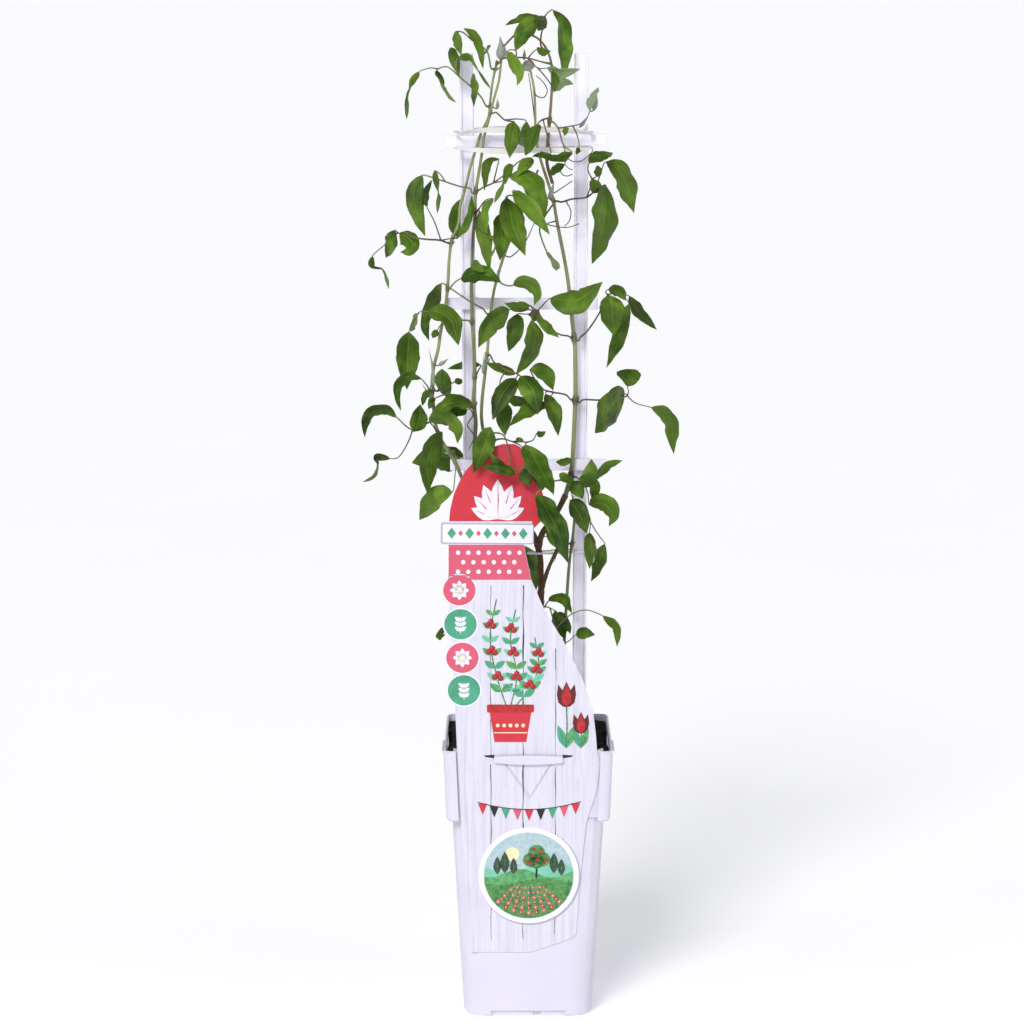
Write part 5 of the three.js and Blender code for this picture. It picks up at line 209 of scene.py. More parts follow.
        [-34.1,-18.6,525.9]],11.1,50,38,"plain",2),([[-9.9,-30.7,514.6],[-15.8,-35.9,508.5],[-20.9,-40.4,501.2],[-24.5,-43.4,492.4],
        [-27.9,-46,483.3]],17.6,36,26,"plain",0),([[-6.2,-30.7,516.2],[-1,-36.4,511.1],[3.6,-41.5,505],[5.9,-44.4,496.5],
        [7.3,-46.5,487.6]],18.4,-23,-13,"plain",4),([[-15.3,-14,496.9],[-11.3,-14.9,495.2],[-7.1,-15.4,493.8],[-3,-14.1,494],
        [0.9,-12,494.9]],10.4,40,30,"plain",1),([[-18.5,-26.9,495.7],[-18.8,-30.3,489.5],[-19.1,-33.3,483.1],[-18.8,-34.7,476.2],
        [-18.1,-35.2,469.1]],14.2,-23,-13,"plain",3)]),
    "leaf_23": ([-76,-10.5,502.1], "stem_left", [[[-76.9,-12.1,502.1],[-77.9,-13.7,502],[-78.7,-15,504.8],[-82.2,-18,510],[-84.3,-18,512.5]],[[-78.7,-15,504.8],
        [-78.3,-20,500.7],[-77.7,-22,504.5]]], [([[-84.3,-18,512.5],[-94.3,-21.6,515.2],[-103.1,-24.4,509.2],[-103.4,-25.7,498.6],
        [-100.2,-26,487.9]],11.1,-54,-44,"plain",0),([[-77.7,-22,504.5],[-79.6,-24,501.8],[-81.4,-25.5,498.8],[-82.6,-25,495.2],[-83.7,-24,491.6]],6.7,39,29,"plain",1)]),
    "leaf_24": ([-76,-10.5,504.1], "stem_left", [[[-75.3,-8.8,504.2],[-74.7,-7.1,504.2],[-73.4,-4,501.1],[-65.1,5.6,502.5],[-59,8.3,506.8]],[[-73.4,-4,501.1],
        [-71.7,2,501.1],[-69.4,8,508.4],[-68.6,10.5,517.2]]], [([[-68.6,10.5,517.2],[-67.9,10.8,510.5],[-66.9,11.7,503.9],[-65.1,14,497.8],
        [-63.2,16.5,491.8]],13.6,23,13,"plain",1),([[-59,8.3,506.8],[-56.6,8.4,507.3],[-54.5,9.6,507.6],[-53.2,11.8,507.7],[-52,14,507.7]],6.0,-23,-13,"plain",0)]),
    "leaf_25": ([-43.1,-11.5,489.4], "stem_middle", [[[-44.7,-12.8,489.3],[-46.2,-14,489.2],[-49.1,-16,495.1],[-52.6,-18,496.2],[-62.5,-20,500.7],
        [-73.6,-16,496.7]],[[-52.6,-18,496.2],[-47.4,-27,497.6],[-44.2,-30,494.3]],[[-49.1,-16,495.1],[-45.9,-20,489.5],[-48.3,-21.9,488.5]]], [([[-44.2,-30,494.3],
        [-52.6,-35.2,496],[-61.2,-40,495.6],[-69.2,-43.2,490.7],[-76.9,-46,485]],17.4,51,41,"plain",1),([[-48.3,-21.9,488.5],[-52.4,-24.6,488.2],
        [-56.6,-26.9,487.4],[-60.5,-27.5,484.5],[-64,-27.4,481]],10.1,23,13,"plain",2),([[-73.6,-16,496.7],[-75.8,-17.3,495.1],[-77.4,-17.2,492.8],
        [-78.1,-15.6,490.4],[-78.8,-14,488]],7.6,50,38,"plain",0)]),
    "leaf_26": ([-74,-10.5,479.2], "stem_left", [[[-75.2,-11.9,479.1],[-76.4,-13.3,479],[-77.7,-15,478.1],[-80.9,-16.7,476.5],[-91.7,-10.3,471],[-104.4,2,479]],
        [[-91.7,-10.3,471],[-90.1,-18.4,470.5]],[[-91.7,-10.3,471],[-94.6,-11.2,462.5],[-103.4,-4.2,447.9],[-109.9,1.7,446]]], [([[-104.4,2,479],[-113.9,3.3,485.8],
        [-125,5.7,482.1],[-130,9.6,472.4],[-130.8,13.8,461.2]],13.7,-54,-44,"plain",0),([[-90.1,-18.4,470.5],[-88,-18.5,476],[-86.3,-18,481.5],[-85.8,-15.5,486.8],
        [-85.6,-12.4,491.8]],14.3,23,13,"plain",1),([[-109.9,1.7,446],[-120.7,2.4,447.8],[-120.6,4.5,439.5],[-124.1,8,430.9],
        [-132.8,11.8,425.3]],10.8,-28,-152,"twisted",2)]),
    "leaf_27": ([-71.6,-10.5,468.6], "stem_left", [[[-71.8,-12.4,468.5],[-72,-14.2,468.4],[-74.5,-16,473.9],[-77.9,-22.9,479]],[[-72,-14.2,468.4],[-69.5,-15,469.7],
        [-67.8,-16,469.7]]], [([[-77.9,-22.9,479],[-69.7,-28.5,482.4],[-61.2,-33.8,481.6],[-55.4,-37.2,473.9],
        [-55.5,-38.9,463.6]],18.1,50,40,"plain",0),([[-67.8,-16,469.7],[-75.6,-21.6,460.2],[-80.1,-26.2,448.5],[-80,-29.2,435.3],
        [-79.3,-32,422.1]],23.3,-54,-44,"plain",1)]),
    "leaf_28": ([-62.2,-10.8,452.1], "stem_left", [[[-60.6,-10.5,453.1],[-59.3,-9.4,453.9],[-58.6,2.6,449.2],[-56.6,9.4,446.4],[-50,13.1,443.5]],[[-58.6,2.6,449.2],
        [-57.1,-21,448.2],[-57.8,-26,437.8],[-59.8,-28,423.7]]], [([[-50,13.1,443.5],[-61,13,445.6],[-72,13.3,446.3],[-82.8,14.1,443.8],
        [-93.4,15.1,440.5]],26.0,-42,-25,"plain",0),([[-59.8,-28,423.7],[-69.7,-25.6,420.9],[-77.1,-21.6,414.7],[-82,-16.8,406.6],
        [-86.7,-12,398.4]],18.6,30,20,"plain",1)]),
    "leaf_29": ([-42.3,-11,514.3], "stem_middle", [[[-41.7,-9.1,514.3],[-41.1,-7.3,514.3],[-39.8,-3,516.9],[-37.5,8,519.6],
        [-37.8,9.8,520.2]]], [([[-37.8,9.8,520.2],[-44.8,9.5,520.4],[-51.7,9.7,520.1],[-58.3,11.4,518.5],[-64.7,13.5,516.6]],8.4,40,30,"plain",0)]),
    "leaf_30": ([-30.2,-11,458.6], "stem_inner", [[[-29.4,-12.5,459.1],[-28.6,-14.1,459.7],[-25.4,-22,464.3],[-19.1,-34,466.8],[-11.9,-44,466.1],[-2.1,-51.8,466.5],
        [-2.2,-51.8,464.9]],[[-25.4,-22,464.3],[-30.8,-38,474.5],[-29.4,-45.6,477.9]],[[-2.1,-51.8,466.5],[3.6,-56,469.1],[6.6,-58,475.2]],[[-11.9,-44,466.1],
        [-9.4,-51,467.8]],[[-11.9,-44,466.1],[-5.7,-40,462.1],[-3.9,-38.1,458.7]]], [([[-29.4,-45.6,477.9],[-32.7,-49.9,469.6],[-36.1,-53.2,460.8],
        [-39.6,-55.3,451.8],[-43.1,-57.3,442.7]],17.5,-30,-20,"plain",1),([[-2.2,-51.8,464.9],[3,-60.9,457.1],[8.4,-69.5,448.8],[14,-76.9,439.6],
        [19.6,-84,430.2]],23.0,-46,-36,"plain",0),([[6.6,-58,475.2],[8,-59.8,474.7],[9.7,-61.3,474.5],[11.8,-60.9,475.4],
        [13.6,-60,476.4]],5.0,23,13,"plain",2),([[-9.4,-51,467.8],[-8.2,-52.7,468.6],[-6.9,-54.3,469.2],[-5,-54.1,468.4],
        [-3.4,-53.2,467.1]],4.2,23,13,"plain",3),([[-3.9,-38.1,458.7],[-5.6,-38,456.3],[-6.7,-37.1,453.7],[-6.7,-35.3,451.3],[-6.5,-33.4,448.9]],7.7,50,38,"plain",4)]),
    "leaf_31": ([-34.1,-10.9,465.6], "stem_inner", [[[-33.4,-12.5,465.9],[-32.6,-14.2,466.3],[-27,-28.3,470.8],[-19.1,-42.5,470.4],[-15.1,-52,459.1],
        [-12.8,-55,448.5],[-6.6,-55,446.9]],[[-12.8,-55,448.5],[-17.5,-55,446.9],[-18,-54.2,445.2]],[[-12.8,-55,448.5],[-9.7,-58,445],[-9.7,-59.8,442.9]],
        [[-6.6,-55,446.9],[-1.1,-54.9,448.5],[0.1,-56.4,446.6]],[[-6.6,-55,446.9],[1.2,-56,446.3],[5.1,-57.2,443.3]],[[-6.6,-55,446.9],
        [-4.7,-56,445.8]]], [([[-18,-54.2,445.2],[-21.3,-55.6,448.1],[-24.6,-56.6,451.2],[-27.4,-56.1,454.9],
        [-30,-55.2,458.8]],8.6,-35,-26,"plain",1),([[-9.7,-59.8,442.9],[-16.4,-61.6,445.7],[-23.4,-62.6,448],[-30.7,-61.2,448.5],
        [-37.9,-58.9,448.3]],9.0,30,22,"plain",2),([[0.1,-56.4,446.6],[0.8,-57.9,447.9],[1.3,-58.3,449.5],[1,-56.5,450.6],
        [0.8,-54.7,451.6]],6.0,-39,-23,"plain",3),([[-4.7,-56,445.8],[-3.4,-58.4,443],[-2,-60.4,440],[-0.4,-60.5,436.5],
        [1.2,-60,433]],11.0,23,14,"plain",5),([[5.1,-57.2,443.3],[7.7,-59.8,441.1],[9.9,-62,438.3],[10.4,-62.2,434.1],[10.6,-61.8,429.8]],12.0,-24,-15,"plain",4)]),
    "leaf_32": ([33.5,-10.9,432.4], "stem_right", [[[32.4,-13.1,432.5],[31.5,-14.7,432.7],[27.6,-22,432.4],[23.4,-39.4,434.7],[17.6,-56.3,435.3],[6,-60.6,427.2]],
        [[27.6,-22,432.4],[25.9,-24,435.1],[24.5,-25.8,437.8]],[[31.5,-14.7,432.7],[32.1,-17,436.4],[33.9,-21,443.4],[34,-23,449.6]]], [([[6,-60.6,427.2],
        [14,-64.7,415.2],[20.9,-67.7,402.2],[26.1,-69,388.2],[30.9,-70,374]],26.4,-54,-44,"plain",0),([[24.5,-25.8,437.8],[27.2,-28,436.2],[30.1,-29.8,434.6],
        [33.5,-30,433],[36.9,-29.5,431.4]],7.5,23,13,"plain",1),([[34,-23,449.6],[31,-24.2,448.6],[27.8,-24.9,447.7],[24.6,-23.8,447.4],
        [21.8,-22,447.2]],8.6,50,38,"plain",2)]),
    "leaf_33": ([38.6,-15.9,413.4], "stem_low", [[[37.8,-17.3,413.5],[36.9,-18.9,413.5],[35.5,-22,416.3],[33,-25,416.2]],[[36.9,-18.9,413.5],[42.7,-22,412.3],
        [48.9,-28,402.9],[48.6,-30,391.7]],[[35.5,-22,416.3],[33.8,-28,425.3],[32.9,-32.9,430.4]],[[42.7,-22,412.3],[52.3,-20,393.5],[57.2,-18,385.9],
        [61.2,-17,380.4]]], [([[33,-25,416.2],[37.5,-29.7,411.7],[41.3,-33.5,406],[43.9,-35.8,398.9],[46.3,-38,391.7]],15.1,23,13,"plain",0),([[48.6,-30,391.7],
        [49.2,-33.5,385.1],[49.6,-36.4,378.2],[49.1,-37.5,370.9],[48.3,-38,363.5]],13.1,-43,-33,"plain",1),([[32.9,-32.9,430.4],[35.8,-36.5,429.8],
        [38.7,-39.5,428.2],[41,-40.4,424.3],[43,-40.8,420.1]],12.5,-23,-13,"plain",2),([[61.2,-17,380.4],[59,-16.4,371.7],[56.4,-14.7,363.3],[53.4,-11.4,355.5],
        [50.3,-8,347.8]],13.6,50,38,"plain",3)]),
    "leaf_34": ([33.9,-11,434.3], "stem_right", [[[35.6,-12.6,434],[36.9,-13.9,433.7],[38,-15,433.7],[44.3,-19,430.3],[49,-20,432.1],[56.1,-20,433.9]],
        [[44.3,-19,430.3],[43.3,-26,427.4]],[[44.3,-19,430.3],[47.6,-14,419.9],[48.7,-12,410.7]],[[49,-20,432.1],[51.5,-14,432.7],
        [52.4,-12,432.6]]], [([[43.8,-26.1,426.9],[46.5,-29.1,432.4],[48.8,-31.8,438.2],[49.4,-33.7,444.7],
        [49.6,-35.2,451.3]],14.2,23,13,"plain",1),([[52.4,-12,432.6],[52.8,-12,427.5],[52.8,-11.1,422.5],[52,-8.7,418],
        [51,-6,413.8]],9.3,23,13,"plain",3),([[56.1,-20,433.9],[58.5,-22.5,439.5],[62.3,-24.3,444.5],[68.4,-24.3,446.7],
        [74.8,-24,448.3]],9.3,40,30,"plain",0),([[48.7,-12,410.7],[56.4,-15.8,413.2],[63.7,-19.2,410.8],[67.3,-21.3,403.3],[64,-22,395]],15.3,25,15,"plain",2)]),
    "leaf_35": ([35,-13.7,379.8], "stem_low", [[[33.5,-13.9,380],[31.6,-14.2,380.1],[31.5,-14.9,382.1],[27.7,-22.4,389.1],[23.6,-26,395.3],[19.2,-28,396.5]],
        [[31.5,-14.9,382.1],[27.2,-2,382.3],[17.7,6,382.6],[1.7,9,378.8],[-4.4,10,374.6]]], [([[19.2,-28,396.5],[19.5,-30.9,392.1],[20.4,-33.4,387.6],
        [23,-34,383.1],[25.9,-34,378.8]],11.7,-23,-13,"plain",0),([[-4.4,10,374.6],[1.2,9.3,366],[5,9.7,356.6],[6,11.7,346.5],[6.7,14,336.5]],18.0,49,39,"plain",1)]),
    "leaf_36": ([10.3,-7.9,328.1], "woody", [[[11.7,-10.4,327.9],[12.6,-12,327.8],[13.3,-13,328.7],[16.4,-17,333.9]],[[13.3,-13,328.7],[17.5,-20,328.8],
        [21.2,-20.5,326.8]],[[21.2,-20.5,326.8],[23.5,-23.6,325.7]],[[17.5,-20,328.8],[22.2,-26.3,313.8],[28.9,-28,302],[38.1,-28,308.8]],[[22.2,-26.3,313.8],
        [34.7,-36.8,327.2],[45.8,-38,330.7],[59,-38,326]]], [([[16.4,-17,333.9],[22.2,-19.6,337],[28.4,-21.8,337.1],[32,-22,331],
        [35,-22,324.6]],12.3,50,38,"plain",0),([[21.3,-20.5,326.3],[23.3,-20.7,320.1],[25.3,-19.9,314],[27.2,-17.9,308.1],
        [29.1,-15.6,302.3]],13.6,50,38,"plain",1),([[23.5,-23.6,325.7],[27.1,-26.5,323],[30.3,-28.9,319.7],[32.2,-29.8,314.8],
        [33.7,-30.2,309.7]],11.1,50,38,"plain",2),([[38.1,-28,308.8],[41.4,-30.3,310.1],[45,-32.3,311],[49.1,-32.5,310.4],
        [53.2,-32,309.3]],10.1,-23,-13,"plain",3),([[59,-38,326],[64.8,-40.5,321.9],[69.7,-42.5,316.6],[70.5,-42.5,309.2],[70.4,-42,301.6]],9.8,50,38,"plain",4)]),
    "leaf_37": ([-27.1,-16.8,302.6], "stem_left", [[[-29.3,-17.1,302.2],[-31.1,-17.4,302],[-38.4,-18,312.1],[-52.7,-20,317.4],[-63.1,-22,312.9],
        [-65.9,-22,311]]], [([[-65.9,-22,311],[-68,-24,310.4],[-69.7,-25.3,308.8],[-70,-24.7,305.9],[-70.2,-24,303.1]],11.5,-64,-38,"plain",0)]),
    "leaf_38": ([19.7,-11,651.5], "stem_right", [[[21.1,-12,651.7],[22.6,-13,652],[25.5,-15,651.3],[34.1,-17,653.8],[45.8,-18,655.4],[52.8,-16.7,660.8],
        [60.7,-5.4,664]],[[45.8,-18,655.4],[48,-22,662.7],[49.5,-23,669.7]],[[52.8,-16.7,660.8],[56.2,-4.7,671.8],[60.9,5.6,681.7]],[[49.5,-23,669.7],
        [46.4,-22,676.6],[47.1,-21,681.7]],[[49.5,-23,669.7],[52.9,-23,671.6]],[[52.8,-16.7,660.8],[53.7,-14.3,658.3]]], [([[47.1,-21,681.7],[52.5,-14.8,684.3],
        [57.7,-8.3,686.4],[62.4,-1.1,687.6],[66.9,6.2,688.7]],11.7,-35,-26,"plain",3),([[60.9,5.6,681.7],[71.1,6.7,674.3],[77.2,9.8,663.6],[80.7,13.6,651.9],
        [84.1,17.4,640.3]],22.4,-42,-32,"plain",2),([[52.9,-23,671.6],[53.6,-24.3,673.8],[54.1,-25,676.2],[53.8,-23.8,678.5],
        [53.4,-22.1,680.5]],6.7,-23,-13,"plain",4),([[53.7,-14.3,658.3],[52.8,-15.7,661.5],[51.7,-15.7,664.8],[50.8,-13.4,667.4],
        [49.8,-10.8,669.8]],10.1,23,13,"plain",5),([[60.7,-5.4,664],[59.8,-15.2,649.5],[58.2,-24.6,634.8],[54.1,-32.6,619.8],[49.2,-40,604.7]],29.5,-54,-44,"plain",0)]),
}
BUDS = {"bud_tip": ([-21.2,-14.5,761.9], [-22.1,-15.0,779.6], 4.7), "bud_round": ([0.9,-11.0,753.5], [-2.2,-11.0,760.6], 4.6), "bud_hanging": ([14.7,-21.0,612.1],
        [23.1,-22.0,599.6], 2.8, [[19.0,-13.4,648.9],[13.0,-19.0,640.7],[8.8,-21.0,631.0],[10.5,-21.0,622.6],[14.8,-21.0,611.8]])}
SHOOTS = [([-24.3,-12,723.8], [-24.2,-14,732.0], 1.4), ([-35.7,-12.5,516.4], [-35.0,-14.5,531.5], 1.5), ([-34.6,-12.5,522.0], [-29.1,-14.5,529.9], 1.2),
        ([-24.2,-11,589.9], [-24.1,-13,598.3], 1.5), ([16.2,-11.5,653.4], [20.0,-13.5,667.6], 1.9), ([18.1,-11.5,658.9], [15.0,-13.5,666.0], 1.3),
        ([-74.1,-14,491.2], [-84.3,-16,508.6], 1.5), ([-74.5,-13,506.2], [-78.5,-15,537.0], 1.3), ([-70.7,-14,522.7], [-62.5,-16,528.5], 1.6),
        ([-3.5,-11,762.0], [-3.3,-13,770.1], 1.3), ([51.2,-9,722.6], [52.6,-11,738.9], 2.2), ([40.3,-9,709.4], [46.9,-11,718.8], 1.4)]
TENDRILS = [[[4.9,-11.0,714.9],[2.6,-12.2,734.3],[-0.0,-11.0,751.2]],[[5.8,-13.0,749.3],[11.6,-13.7,744.0],[14.7,-14.1,737.8],[12.0,-14.2,732.5],[7.1,-13.7,733.3],
        [4.4,-13.0,736.0]],[[14.6,-14.0,634.1],[23.2,-15.0,632.0],[31.5,-15.1,631.6],[39.9,-14.0,634.3]],[[30.1,-15.0,650.8],[33.2,-16.0,644.6],[32.2,-16.1,637.0],
        [28.4,-15.0,632.4]],[[4.9,-12.0,634.7],[-3.5,-13.2,618.5],[-14.7,-12.0,608.1]],[[49.3,-13.0,694.3],[50.2,-13.6,691.3],[46.5,-14.0,687.1],[41.1,-14.2,683.2],
        [34.8,-14.1,682.8],[30.2,-13.6,685.9],[29.1,-13.0,689.0]],[[23.8,-13.0,676.1],[27.1,-14.0,672.3],[30.7,-14.1,671.5],[34.6,-13.0,673.0]],[[28.6,-13.0,680.3],
        [32.1,-14.2,677.1],[34.6,-13.0,676.5]],[[20.9,-12.5,658.7],[27.9,-13.7,663.3],[34.6,-12.5,667.7]],[[-46.9,-13.0,455.9],[-42.9,-13.8,466.4],
        [-48.0,-14.2,475.2],[-43.7,-13.9,483.2],[-46.0,-13.0,488.6]]]
TIE_LOOP = [[-50,-17.2],[-30,-17.2],[-10,-17.3],[12,-17.2],[32,-17.2],[43,-17],[48.6,-14.4],[49.6,-8],[49.6,1],[48.4,4.8],[44,5.6],[20,5.6],[-8,5.6],[-34,5.6],
        [-52,5.6],[-55.8,4.6],[-56.8,1],[-56.8,-8],[-55.4,-14.4]]
TIE_BACK = [[0.8,-12.4],[6,-13.8],[12.5,-14],[16,-12],[30,-6.6],[43,-5.6],[48,-5.0],[48.9,0],[48,5],[42,5.8],[34,4.8],[14,-1],[6,-3.6],[1.6,-6.2],[-0.4,-9.4]]
TIE_BACK_Z = 371.57
# label: height, left and right edge of each row, and the four discs (x, z, half width, half height)
CARD_ROWS = [[55.2,-45.6,1.6],[61.1,-47,19.2],[67,-47.2,35.2],[70.4,-47.4,38.4],[86.4,-48.4,39.5],[115.7,-50.2,41.4],[134.9,-51.4,43.2],[163.2,-53.2,45.9],
        [190.5,-54.6,54.5],[212.7,-55.7,56.7],[222.5,-56.2,54.3],[235.6,-56.7,53.4],[255.9,-57.5,50.9],[259.4,-57.7,49.8],[260.6,-58.6,49.4],[262.3,-60.7,48.8],
        [264.4,-62.4,48.1],[266.7,-63.7,47.4],[269.2,-64.5,46.5],[271.8,-64.7,45.7],[274.4,-64.5,44.8],[276.9,-63.7,44],[280,-61.9,43],[281.3,-60.7,42.4],
        [283,-58.8,41.5],[285.5,-59,40.3],[286.8,-59.8,39.6],[288.4,-61.9,38.8],[290.5,-63.6,37.8],[292.8,-64.9,36.7],[295.3,-65.7,35.4],[297.8,-65.9,34.2],
        [300.4,-65.7,32.9],[302.9,-64.9,31.7],[305.2,-63.6,30.5],[307.2,-61.9,29.5],[308.9,-60.1,28.7],[310.3,-60.2,28],[312.1,-60.3,26.9],[313.4,-61.3,26.1],
        [315,-63.3,25.2],[317,-65,24],[319.3,-66.3,22.6],[321.8,-67.1,21.1],[324.3,-67.4,19.5],[326.9,-67.1,18],[329.4,-66.3,16.5],[331.6,-65.1,15.1],
        [333.6,-63.4,13.9],[335.3,-61.5,12.9],[336.3,-61.5,12.3],[338.9,-61.6,11.2],[340.1,-62,10.7],[341.8,-64.2,9.9],[343.8,-65.9,9],[346,-67.2,8.1],
        [348.5,-68,7],[351,-68.2,5.9],[353.6,-67.9,4.8],[356,-67.2,3.7],[358.3,-65.9,2.8],[359.8,-64.6,2.1],[361.9,-62.7,1.7],[373,-62.6,-0.7],[386.2,-62.5,-3.4],
        [386.7,-66.8,-3.2],[387.4,-68.4,-2.8],[388.7,-69,-2.2],[396.2,-69,1.3],[402,-69,7.4],[403.3,-68.4,8.7],[404,-66.8,9.4],[404.5,-62.1,9.9],[413.2,-61.3,13],
        [425.2,-58.5,11.5],[434,-54.6,8.3],[444,-48.8,4],[452.4,-40.6,0.5],[458.5,-32.8,-3],[462.3,-26.1,-7.3],[463.9,-19.9,-11.2]]
DISCS = [[-54.01,351.02,14.21,13.21],[-53.18,324.34,14.21,13.31],[-51.73,297.83,14.21,13.44],[-50.53,271.79,14.21,13.57]]

# ---------------------------------------------------------------- camera, light and floor
def look(obj, target):
    obj.rotation_mode = "QUATERNION"
    obj.rotation_quaternion = (Vector(target) - obj.location).to_track_quat("-Z", "Y")


TARGET = Vector((-0.0128, 0, 0.4031))
ELEVATION = math.radians(9.3)
camera = bpy.data.objects.new("camera", bpy.data.cameras.new("camera"))
SCENE.collection.objects.link(camera)
camera.data.sensor_width = 36
camera.data.lens = 36 * 3125 / 1024
camera.location = TARGET + 2.5 * Vector((0, -math.cos(ELEVATION), math.sin(ELEVATION)))
camera.data.clip_start, camera.data.clip_end = 0.05, 4000
look(camera, TARGET)
SCENE.camera = camera
SCENE.view_settings.view_transform = "Standard"
SCENE.view_settings.look = "None"
SCENE.view_settings.exposure = 0.0
SCENE.view_settings.gamma = 1.0


def softbox(name, at, to, size, power, colour=(1, 1, 1)):
    light = bpy.data.lights.new(name, "AREA")
    light.shape, light.size, light.size_y = "RECTANGLE", size[0], size[1]
    light.energy, light.color = power, colour
    o = bpy.data.objects.new(name, light)
    o.location = at
    SCENE.collection.objects.link(o)
    look(o, to)


def distant(name, toward, strength, spread, colour=(1, 1, 1)):
    """An even light over the whole floor, soft because its source is wide."""
    light = bpy.data.lights.new(name, "SUN")
    light.energy, light.angle, light.color = strength, math.radians(spread), colour
    o = bpy.data.objects.new(name, light)
    o.location = toward
    SCENE.collection.objects.link(o)
    look(o, (0, 0, 0))


distant("key", (-0.85, -2.3, 1.9), 2.2, 20, (1, 0.985, 0.965))
distant("fill", (2.4, -1.7, 1.1), 0.36, 50, (0.94, 0.96, 1))
softbox("strip_left", (-1.7, -1.2, 0.9), (0, 0, 0.45), (0.5, 1.6), 5)
softbox("strip_right", (1.8, -0.9, 0.8), (0, 0, 0.4), (0.4, 1.5), 3, (0.95, 0.96, 1))

# the surroundings are a pale room: lightest at the height of the floor's far edge
world = bpy.data.worlds.new("studio")
SCENE.world = world
world.use_nodes = True
_t = world.node_tree
_bg = _t.nodes["Background"]
_co, _sep, _rp = _t.nodes.new("ShaderNodeTexCoord"), _t.nodes.new("ShaderNodeSeparateXYZ"), _t.nodes.new("ShaderNodeValToRGB")
_t.links.new(_co.outputs["Generated"], _sep.inputs[0])
_t.links.new(_sep.outputs["Z"], _rp.inputs["Fac"])
_t.links.new(_rp.outputs["Color"], _bg.inputs["Color"])
_rp.color_ramp.elements[0].position, _rp.color_ramp.elements[0].color = 0.06, (0.975, 0.982, 1.0, 1)
_rp.color_ramp.elements[1].position, _rp.color_ramp.elements[1].color = 0.36, (0.26, 0.265, 0.28, 1)
_bg.inputs["Strength"].default_value = 1.0


# ---------------------------------------------------------------- shader helper
class Shader:
    """One procedural material: the constants go straight on the shader's sockets."""

    def __init__(self, name, **constants):
        self.m = bpy.data.materials.new(name)
        self.m.use_nodes = True
        self.t = self.m.node_tree
        self.b = self.t.nodes["Principled BSDF"]
        for key, value in constants.items():
            self.b.inputs[key.replace("_", " ")].default_value = value
        self._coord = None

    def node(self, kind, **props):
        n = self.t.nodes.new(kind)
        for key, value in props.items():
            setattr(n, key, value)
        return n

    def put(self, socket, value):
        if isinstance(value, (int, float, tuple, list)):
            socket.default_value = value
        else:
            self.t.links.new(value, socket)

    def coord(self, kind="Object"):
        if self._coord is None:
            self._coord = self.node("ShaderNodeTexCoord")
        return self._coord.outputs[kind]

    def scaled(self, vec, scale, rotation=(0, 0, 0)):
        n = self.node("ShaderNodeMapping")
        self.put(n.inputs["Vector"], vec)
        n.inputs["Scale"].default_value = scale
        n.inputs["Rotation"].default_value = rotation
        return n.outputs["Vector"]

    def noise(self, vec, scale, detail=4.0, rough=0.55, distortion=0.0, out="Fac"):
        n = self.node("ShaderNodeTexNoise")
        self.put(n.inputs["Vector"], vec)
        n.inputs["Scale"].default_value = scale
        n.inputs["Detail"].default_value = detail
        n.inputs["Roughness"].default_value = rough
        n.inputs["Distortion"].default_value = distortion
        return n.outputs[out]

    def cells(self, vec, scale, feature="DISTANCE_TO_EDGE", out="Distance"):
        n = self.node("ShaderNodeTexVoronoi", feature=feature)
        self.put(n.inputs["Vector"], vec)
        n.inputs["Scale"].default_value = scale
        return n.outputs[out]

    def attr(self, name, out="Fac"):
        return self.node("ShaderNodeAttribute", attribute_name=name).outputs[out]

    def ramp(self, fac, stops, out="Color", ease="LINEAR"):
        n = self.node("ShaderNodeValToRGB")
        self.put(n.inputs["Fac"], fac)
        n.color_ramp.interpolation = ease
        e = n.color_ramp.elements
        while len(e) < len(stops):
            e.new(0.5)
        for k, (pos, colour) in enumerate(stops):
            e[k].position = pos
            e[k].color = (*colour, 1) if len(colour) == 3 else colour
        return n.outputs[out]

    def span(self, value, a, b, c=0.0, d=1.0):
        n = self.node("ShaderNodeMapRange")
        self.put(n.inputs["Value"], value)
        for key, x in (("From Min", a), ("From Max", b), ("To Min", c), ("To Max", d)):
            n.inputs[key].default_value = x
        return n.outputs["Result"]

    def mix(self, fac, a, b, blend="MIX"):
        n = self.node("ShaderNodeMix", data_type="RGBA", blend_type=blend)
        self.put(n.inputs["Factor"], fac)
        for socket, v in ((n.inputs[6], a), (n.inputs[7], b)):
            self.put(socket, (*v, 1) if isinstance(v, tuple) and len(v) == 3 else v)
        return n.outputs[2]

    def math(self, op, a, b=0.0, clamp=False):
        n = self.node("ShaderNodeMath", operation=op, use_clamp=clamp)
        self.put(n.inputs[0], a)
        self.put(n.inputs[1], b)
        return n.outputs[0]

    def base(self, colour):
        self.put(self.b.inputs["Base Color"], colour)

    def rough(self, value):
        self.put(self.b.inputs["Roughness"], value)

    def bump(self, *layers):
        """Each layer is (height, strength, distance in metres)."""
        normal = None
        for height, strength, distance in layers:
            n = self.node("ShaderNodeBump")
            n.inputs["Strength"].default_value = strength
            n.inputs["Distance"].default_value = distance
            self.put(n.inputs["Height"], height)
            if normal is not None:
                self.put(n.inputs["Normal"], normal)
            normal = n.outputs["Normal"]
        self.put(self.b.inputs["Normal"], normal)
        return self.m


def srgb(r, g, b):
    return tuple(((c / 255) / 12.92 if c <= 10 else ((c / 255 + 0.055) / 1.055) ** 2.4) for c in (r, g, b))


